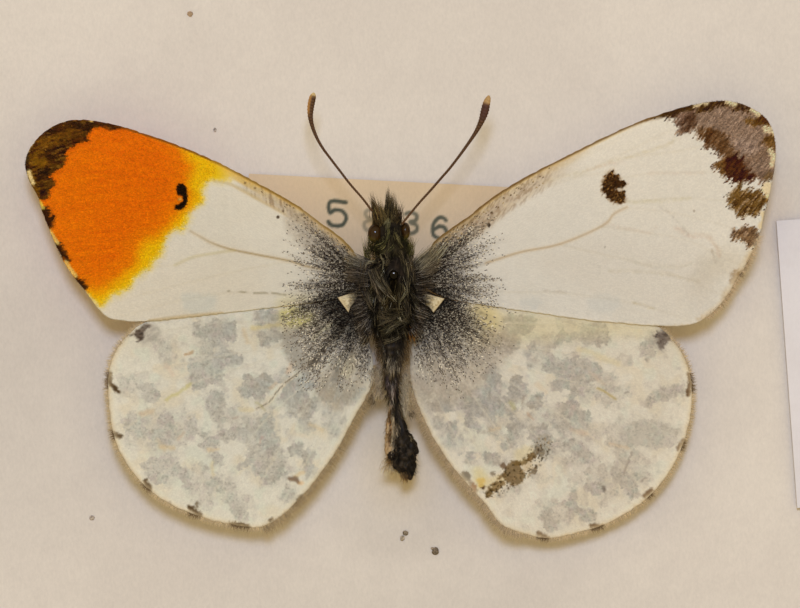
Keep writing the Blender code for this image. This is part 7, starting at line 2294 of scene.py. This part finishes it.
# x, y of the roots, spread, direction, length, count, colour, height
for (x0, y0), (sx, sy), (dx, dy), count, rgb, z0, jitter in (
    ((390.5, 428), (2.2, 17), (-1.2, 6.5), 420, (150, 122, 84), 12.62, 0.28),
    ((388.4, 434), (1.2, 18), (-2.4, 4.6), 130, (150, 118, 76), 12.55, 0.26),
    ((390.6, 428), (0.9, 19), (-1.7, 2.6), 110, (104, 66, 28), 12.76, 0.30),
    ((393.2, 430), (1.0, 22), (-0.4, 7.5), 150, (206, 182, 144), 12.76, 0.12),
    ((378.6, 382), (6.0, 15), (-1.6, 7.5), 600, (204, 180, 144), 12.42, 0.13),
    ((372.5, 399), (3.0, 5), (-2.0, 5.0), 60, (128, 110, 84), 12.48, 0.20),
    ((404.5, 394), (5.0, 21), (1.6, 9.0), 700, (208, 186, 150), 12.42, 0.13),
    ((411.5, 414), (3.4, 4), (1.6, 4.6), 60, (130, 112, 86), 12.48, 0.20),
    ((393.5, 420), (1.4, 16), (-1.0, 8.0), 120, (186, 160, 122), 12.70, 0.18),
    ((391.5, 396), (1.4, 9), (0.6, 10.0), 60, (176, 154, 130), 12.92, 0.20),
    ((395.0, 463), (9.0, 6), (-3.0, 7.5), 520, (222, 192, 148), 12.30, 0.12),
    ((391.0, 458), (3.6, 5), (-3.0, 4.0), 120, (150, 116, 70), 12.40, 0.24),
    ((406.0, 473), (4.6, 4), (-0.5, 8.0), 220, (204, 168, 116), 12.34, 0.16),
    ((406.5, 474), (3.6, 4), (0.2, 6.0), 80, (110, 84, 52), 12.62, 0.30),
    ((403.5, 452), (7.0, 9), (1.0, 4.5), 420, (78, 62, 42), 12.98, 0.45),
    ((411.5, 449), (3.6, 7), (2.6, 3.5), 160, (104, 84, 58), 12.86, 0.35),
    ((405.0, 467), (6.0, 7), (0.4, 6.5), 260, (110, 88, 58), 12.72, 0.40),
    ((399.5, 418), (2.4, 14), (1.6, 8.0), 150, (92, 78, 58), 12.80, 0.35),
    ((392.0, 358), (8.0, 14), (0.4, 11.0), 260, (112, 98, 76), 13.52, 0.35),
    ((391.5, 352), (7.0, 18), (0.4, 11.0), 90, (176, 160, 132), 13.60, 0.22),
    ((391.5, 382), (4.6, 9), (0.8, 10.0), 150, (118, 100, 88), 13.22, 0.35),
    ((392.4, 386), (1.6, 13), (1.0, 9.0), 30, (196, 176, 158), 13.30, 0.18),
    ((396.5, 436), (3.0, 14), (1.0, 8.0), 70, (150, 132, 104), 12.96, 0.26),
    ((408.0, 441), (3.6, 6), (4.4, 5.6), 130, (140, 124, 92), 12.98, 0.28),
    ((405.0, 344), (3.4, 12), (2.6, 9.0), 190, (142, 114, 76), 13.10, 0.25),
    ((379.0, 346), (2.8, 12), (-2.0, 10.0), 130, (128, 104, 74), 13.10, 0.25),
):
    a = np.stack([x0 + sx * rng.randn(count) * 0.55, y0 + sy * (2 * rng.rand(count) - 1)], 1)
    b = a + np.array([dx, dy]) * (0.35 + 0.9 * rng.rand(count, 1)) + 1.3 * rng.randn(count, 2)
    base = np.array(rgb, float)[None] * np.clip(1 + jitter * rng.randn(count, 1), 0.25, 1.9)
    z = z0 + 0.10 * rng.rand(count)
    parts.append(strands("body_hair", px3(a[:, 0], a[:, 1], z * MM), px3(b[:, 0], b[:, 1], (z - 0.04 + 0.10 * rng.rand(count)) * MM), 0.03 * MM * rng.randn(count, 3), np.full(count, 0.0115 * MM), np.clip(base * 0.85, 4, 240), np.clip(base * 1.1, 4, 240), None, 2, skin_mat, 0.4 if z0 <= 12.78 else 1.0, z0 > 12.78))
joined("withered_abdomen", parts, "dark_skin", "abdomen")


# --------------------------------------------------------------- loose scales
def radial(key, P):
    rx, ry = ROOT[key]
    return np.arctan2(P[:, 1] - ry, P[:, 0] - rx)


def on_wing(P, key, inset=1.0):
    poly = catmull(plan_px({"lf": LEFT_FOREWING, "rf": RIGHT_FOREWING, "lh": LEFT_HINDWING, "rh": RIGHT_HINDWING}[key]), True, 6)
    keep = inside(P, poly)
    d, _ = seg_distance(P[keep], poly, np.roll(poly, -1, axis=0))
    idx = np.where(keep)[0][d > inset]
    return idx


def covers_hind(P, side):
    poly = catmull(plan_px(LEFT_FOREWING if side < 0 else RIGHT_FOREWING), True, 6)
    return inside(P, poly)


SPREAD = 1.22
for sgn, fore, hind, box in ((-1, "lf", "lh", (282, 205, 372, 392)), (1, "rf", "rh", (414, 190, 520, 400))):
    P = scatter(box, SPREAD * 0.84, 701 + sgn)
    rho = basal_density(P, sgn, False)
    n1 = vnoise(P[:, 0] / 2.6, P[:, 1] / 2.6, 703)
    dxr, dyr = (P[:, 0] - (414.0 if sgn > 0 else 370.0)) * sgn, P[:, 1] - 283.0
    angle = np.degrees(np.arctan2(dyr, dxr))
    rays = vnoise(angle / 1.6, np.hypot(dxr, dyr) / 26.0, 717 + sgn)
    keep = dice(P, 705) < np.clip(rho * 0.98 + 0.5 * coal(P, sgn) + (0.20 * n1 + 0.34 * rays) * smooth(0.03, 0.3, rho), 0, 0.94)
    P = P[keep]
    flap_d = cream_flap(P, sgn)
    P = P[flap_d > 1.0]
    rim_d, _ = line_distance(P, catmull(plan_px((LEFT_FOREWING if sgn < 0 else RIGHT_FOREWING)[:11]), False, 8))
    P = P[dice(P, 706) < smooth(1.5, 6.0, rim_d) + 0.06]
    idx = on_wing(P, fore, 0.8)
    for key, part in ((fore, P[idx]), (hind, None)):
        if part is None:
            rest = np.setdiff1d(np.arange(len(P)), idx)
            rest = rest[~covers_hind(P[rest], sgn)]
            part = P[rest]
            part = part[on_wing(part, key, 0.8)]
        rr = dice(part, 707)
        near_body = smooth(0.25, 0.9, basal_density(part, sgn, False))[:, None]
        dim = np.array([[104.0, 93, 77]]) + near_body * (np.array([[34.0, 28, 21]]) - np.array([[104.0, 93, 77]]))
        mid = np.array([[124.0, 112, 92]]) + near_body * (np.array([[84.0, 75, 62]]) - np.array([[124.0, 112, 92]]))
        light = np.array([[212.0, 198, 170]]) + near_body * (np.array([[150.0, 140, 120]]) - np.array([[212.0, 198, 170]]))
        shade = np.where(rr[:, None] < 0.47, dim, np.where(rr[:, None] < 0.72, mid, light))
        shade = shade * (1 - 0.52 * coal(part, sgn)[:, None]) * (1 + 0.36 * (dice(part, 709)[:, None] - 0.5))
        direct = radial(key, part) + 0.9 * (dice(part, 711) - 0.5) + 0.5 * vnoise(part[:, 0] / 3.5, part[:, 1] / 3.5, 719)
        kites(f"root_scales_{key}", part, wing_height(key, part), direct, 2.2, 1.0, shade, "mottled_wing" if key in ("lh", "rh") else ("orange_wing" if key == "lf" else "white_wing"), 0.025, 0.0, 713)

# dark scales of the white wing's tip, spots and crossvein mark
P = scatter((648, 96, 780, 286), SPREAD * 0.98, 721)
P = P[on_wing(P, "rf", 0.6)]
Q = warp(P, 1.8, 5.0, 131) + 0.6 * np.stack([grainy(P, 132, 1.7), grainy(P, 133, 1.7)], 1)
Q = combed(Q, (-0.62, 0.78), 4.2, 1.15, 134)
d = np.minimum(np.minimum(area(Q, RF_APEX, 12, 3), area(Q, RF_SPOT2, 12, 3)), area(Q, RF_SPOT3, 12, 3))
keep = dice(P, 723) < smooth(2.2, -1.2, d) * 0.9
PS = P[keep]
P2 = scatter((600, 170, 630, 206), SPREAD * 0.9, 725)
D2 = combed(P2 + 1.2 * np.stack([grainy(P2, 146, 1.4), grainy(P2, 147, 1.4)], 1), (-0.62, 0.78), 2.6, 1.2, 149)
P2 = P2[dice(P2, 726) < 0.9 * smooth(0.9, -2.2, area(D2, RF_DISCAL, 8))]
C1 = paint_rf(PS, np.full(len(PS), 9.0))
C1 = np.clip(C1 * (0.82 + 0.42 * dice(PS, 727)[:, None]), 18, 210)
# outside the dark, only single dark scales
out = d[keep] > 0.6
C1[out] = np.array([92, 66, 44]) * (0.8 + 0.5 * dice(PS[out], 729)[:, None])
C2 = np.where(dice(P2, 732)[:, None] < 0.24, np.array([[108.0, 76, 38]]), np.array([[58.0, 35, 13]])) * (0.55 + 0.9 * dice(P2, 731)[:, None])
PA, CA = np.vstack([PS, P2]), np.vstack([C1, C2])
kites("dark_scales_right", PA, wing_height("rf", PA), 0.45 * radial("rf", PA) + 0.55 * math.atan2(-0.78, 0.62) + 0.3 * (dice(PA, 733) - 0.5), 2.9, 1.35, CA, "white_wing", 0.03, 0.0, 735)

# the orange patch and its dark golden tip
P = scatter((22, 112, 216, 312), SPREAD * 1.12, 741)
P = P[on_wing(P, "lf", 0.7)]
Q = warp(P, 2.2, 8.0, 33) + 1.1 * np.stack([grainy(P, 61, 1.6), grainy(P, 62, 1.6)], 1)
Q = combed(Q, (-1.0, 0.16), 1.1, 1.3, 35)
keep = dice(P, 743) < smooth(2.0, -4.0, area(Q, LF_YELLOW, 12)) * 0.8
P = P[keep]
C1 = paint_lf(P, np.full(len(P), 9.0))
C1 = np.clip(C1 * (0.90 + 0.2 * dice(P, 745)[:, None]), 3, 240)
kites("colour_scales_left", P, wing_height("lf", P), radial("lf", P) + 0.25 * (dice(P, 747) - 0.5), 2.5, 1.4, C1, "orange_wing", 0.022, 0.0, 749)

# flecks along both front edges
for key, outline, span, seed in (("lf", LEFT_FOREWING[:11], (250, 352), 751), ("rf", RIGHT_FOREWING[:10], (436, 556), 761)):
    edge_line = catmull(plan_px(outline), False, 8)
    lo, hi = edge_line.min(0), edge_line.max(0)
    P = scatter((span[0], lo[1] - 2, span[1], hi[1] + 26), SPREAD, seed)
    P = P[on_wing(P, key, 0.7)]
    d, _ = line_distance(P, edge_line)
    wide = 13 if key == "lf" else 20
    n1 = fbm(P[:, 0] / 2.6, P[:, 1] / 2.6, seed + 1, 2)
    fade = smooth(250, 318, P[:, 0]) if key == "lf" else smooth(556, 486, P[:, 0])
    prob = 0.36 * smooth(wide, 2.5, d) * smooth(1.6, 3.2, d) * smooth(-0.1, 0.5, n1) * (0.25 + 0.75 * fade)
    P = P[dice(P, seed + 2) < prob]
    pal = np.array([[128, 106, 76], [154, 132, 98], [104, 84, 60], [190, 164, 118]], float)
    C1 = pal[(dice(P, seed + 3) * 3.999).astype(int)]
    kites(f"edge_scales_{key}", P, wing_height(key, P), radial(key, P), 2.6, 1.2, C1, "orange_wing" if key == "lf" else "white_wing", 0.03, 0.0, seed + 4)

# pale bare lobes at the wing roots
for sgn in (-1, 1):
    poly = [(337.5, 297.5), (345, 295), (354.5, 292.5), (358.5, 294), (355, 301), (350.5, 307), (348.5, 312.5), (343, 305)] if sgn < 0 else [(422, 294), (426, 293.5), (435, 296), (444.5, 298.5), (440, 304.5), (433.5, 312.5), (429, 307), (424, 303)]
    edge = resample(np.array(poly, float), 0.6, True)
    inner, far = fill_points(edge, 0.8, 0.45)
    tris = triangulate(edge, inner)
    key = "lf" if sgn < 0 else "rf"
    P = np.vstack([edge, inner])
    far = np.concatenate([np.zeros(len(edge)), far])
    top = wing_height(key, P) + (0.06 + 0.16 * smooth(0, 4, far) + 0.03 * fbm(P[:, 0] / 3, P[:, 1] / 3, 771, 2)) * MM
    low_z = wing_height(key, P) - 0.02 * MM
    x, y = to_world(P[:, 0], P[:, 1], WING_REF)
    a, b, c = P[tris[:, 0]], P[tris[:, 1]], P[tris[:, 2]]
    cross = (b[:, 0] - a[:, 0]) * (c[:, 1] - a[:, 1]) - (b[:, 1] - a[:, 1]) * (c[:, 0] - a[:, 0])
    tris = tris.copy()
    tris[cross > 0] = tris[cross > 0][:, ::-1]
    n_p, m = len(P), len(edge)
    i = np.arange(m)
    j = (i + 1) % m
    turn = ((edge[:, 0] * np.roll(edge[:, 1], -1)) - (np.roll(edge[:, 0], -1) * edge[:, 1])).sum()
    rim = np.stack([i, j, j + n_p, i + n_p], 1)
    if turn < 0:
        rim = rim[:, ::-1]
    obj = mesh_object(f"pale_lobe_{'left' if sgn < 0 else 'right'}", np.vstack([np.stack([x, y, top], 1), np.stack([x, y, low_z], 1)]), [tris, tris[:, ::-1] + n_p, rim], scale_mat)
    C = np.tile(np.array([208.0, 190.0, 150.0]), (n_p, 1))
    C += 10 * fbm(P[:, 0] / 2.5, P[:, 1] / 2.5, 773, 2)[:, None]
    lay(C, 0.5 * smooth(0.2, 0.6, grainy(P, 775, 1.4)), (150, 124, 84))
    lay(C, 0.4 * smooth(1.2, 0, far), (140, 116, 82))
    # the underside takes the top's colours darkened by a fifth: painted shade
    set_colour(obj, "tint", lin_array(np.vstack([C, C * 0.8])))
    piece(obj, "orange_wing" if sgn < 0 else "white_wing")

# ------------------------------------------------------------ fringe of hairs
FRINGE = {
    "lf": (LEFT_FOREWING[15:29], [(47, 217, 12), (63, 251, 10), (81, 283, 8), (27, 160, 10)], (214, 198, 158)),
    "rf": (RIGHT_FOREWING[10:25], [(688, 108, 9), (713, 101, 10), (741, 105, 8), (762, 118, 7), (775, 142, 6), (772, 168, 9), (766, 202, 10), (757, 236, 8), (737, 272, 5), (700, 325, 6)], (206, 186, 146)),
    "lh": (LEFT_HINDWING[2:22], [(109, 380, 9), (114, 435, 5), (148, 486, 6), (195, 512, 7), (240, 526, 10), (271, 520, 3), (298, 501, 6)], (196, 173, 133)),
    "rh": (RIGHT_HINDWING[2:22], [(690, 383, 10), (681, 445, 6), (648, 494, 5), (597, 527, 7), (543, 535, 7)], (196, 172, 132)),
    "rw": (RIGHT_FOREWING[10:25], [(737, 272, 4), (702, 324, 4)], (202, 176, 138)),
}
# the inner-margin fringes are a darker brown than the outer ones: partly the hairs' own tan, partly painted shade of
# the shaded band beside the abdomen
INNER = {"li": (LEFT_HINDWING[17:26], [], (162, 139, 102)), "ri": (RIGHT_HINDWING[17:27], [], (174, 151, 117))}
for key, (outline, marks, pale) in list(FRINGE.items()) + list(INNER.items()):
    place, inner_edge, hind_edge = {"li": "lh", "ri": "rh", "rw": "rf"}.get(key, key), key in INNER, key in ("lh", "rh", "rw")
    reach = 8.0 if inner_edge else ({"lh": 5.6, "rh": 5.2, "rw": 6.6}[key] if hind_edge else 1.5)
    thin = 0.0120 if inner_edge or hind_edge else 0.016
    step = 0.095 if inner_edge else (0.16 if hind_edge else 0.5)
    line = resample(catmull(plan_px(outline), False, 10), step)
    tang = np.gradient(line, axis=0)
    tang /= np.linalg.norm(tang, axis=1, keepdims=True)
    nrm = np.stack([-tang[:, 1], tang[:, 0]], 1)
    rx, ry = {"lh": (250.0, 400.0), "rh": (545.0, 410.0), "lf": (200.0, 220.0), "rf": (600.0, 220.0)}[place]
    away = np.sign(((line - np.array([rx, ry])) * nrm).sum(1))
    nrm *= away[:, None]
    k = len(line)
    if key == "rw":
        low = (line[:, 1] > 236) & (line[:, 0] > 662)
        line, tang, nrm = line[low], tang[low], nrm[low]
        k = len(line)
    worn = smooth(236, 262, line[:, 1]) if key == "rf" else np.zeros(k)
    far_out = (reach + 2.2 * worn)[:, None] * (0.25 + 0.95 * rng.rand(k, 1) ** 1.2)
    start = line - nrm * (0.5 + 1.1 * rng.rand(k, 1))
    end = line + nrm * far_out + tang * 0.40 * far_out * rng.randn(k, 1)
    if inner_edge:
        end[:, 1] += 0.30 * far_out[:, 0]
    z = wing_height(place, line) - 0.05 * MM * rng.rand(k)
    dark = np.zeros(k)
    for mx, my, mr in marks:
        dark = np.maximum(dark, smooth(mr + 1.5, mr - 2.0, np.hypot(line[:, 0] - mx, line[:, 1] - my)))
    col = np.array(pale, float)[None] * (1 + 0.09 * rng.randn(k, 1))
    col = col + worn[:, None] * (np.array([164, 136, 94]) - col) * 0.8
    pale_tip = col + dark[:, None] * (np.array([104, 82, 54]) - col) * 0.30
    col = col + dark[:, None] * (np.array([74, 54, 32]) - col) * (0.80 if place in ("lh", "rh") else 0.85)
    pale_tip = pale_tip if place in ("lh", "rh") else col
    strands(f"fringe_{key}", px3(start[:, 0], start[:, 1], z + 0.002 * MM), px3(end[:, 0], end[:, 1], z - (0.02 + 0.10 * rng.rand(k)) * MM), np.zeros((k, 3)), np.full(k, thin * MM), np.clip(col * 0.97, 4, 245), np.clip(pale_tip, 4, 245), {"lf": "orange_wing", "rf": "white_wing", "lh": "mottled_wing", "rh": "mottled_wing"}[place], 2, scale_mat, 0.35 if inner_edge or hind_edge else 1.0, not (inner_edge or hind_edge))

# --------------------------------------------------------- dirt on the lining
def crumb(name, px, py, radii, rgb, seed):
    c = px3([px], [py], LINING_TOP + radii[2] * MM * 0.55)[0]
    obj = blob(name, c, np.array(radii) * MM, dark_tint(rgb, 0.35, seed, 0.08 * MM), skin_mat, 18, 26, lumpy(seed + 1, 0.5, 0.45))
    return obj


bits = [
    crumb("bit", 402.5, 538, (0.13, 0.15, 0.07), (164, 148, 124), 801),
    crumb("bit", 405.5, 533, (0.16, 0.15, 0.09), (130, 115, 93), 803),
    crumb("bit", 435.5, 551, (0.20, 0.21, 0.12), (112, 97, 77), 805),
    crumb("bit", 432.5, 548.5, (0.10, 0.08, 0.05), (150, 133, 110), 807),
    crumb("bit", 190, 14, (0.16, 0.15, 0.06), (168, 140, 108), 809),
    crumb("bit", 92, 518, (0.15, 0.15, 0.05), (172, 156, 136), 811),
    crumb("bit", 215, 130, (0.09, 0.12, 0.05), (172, 158, 142), 813),
]
joined("crumbs_of_dirt", bits, "dark_skin")
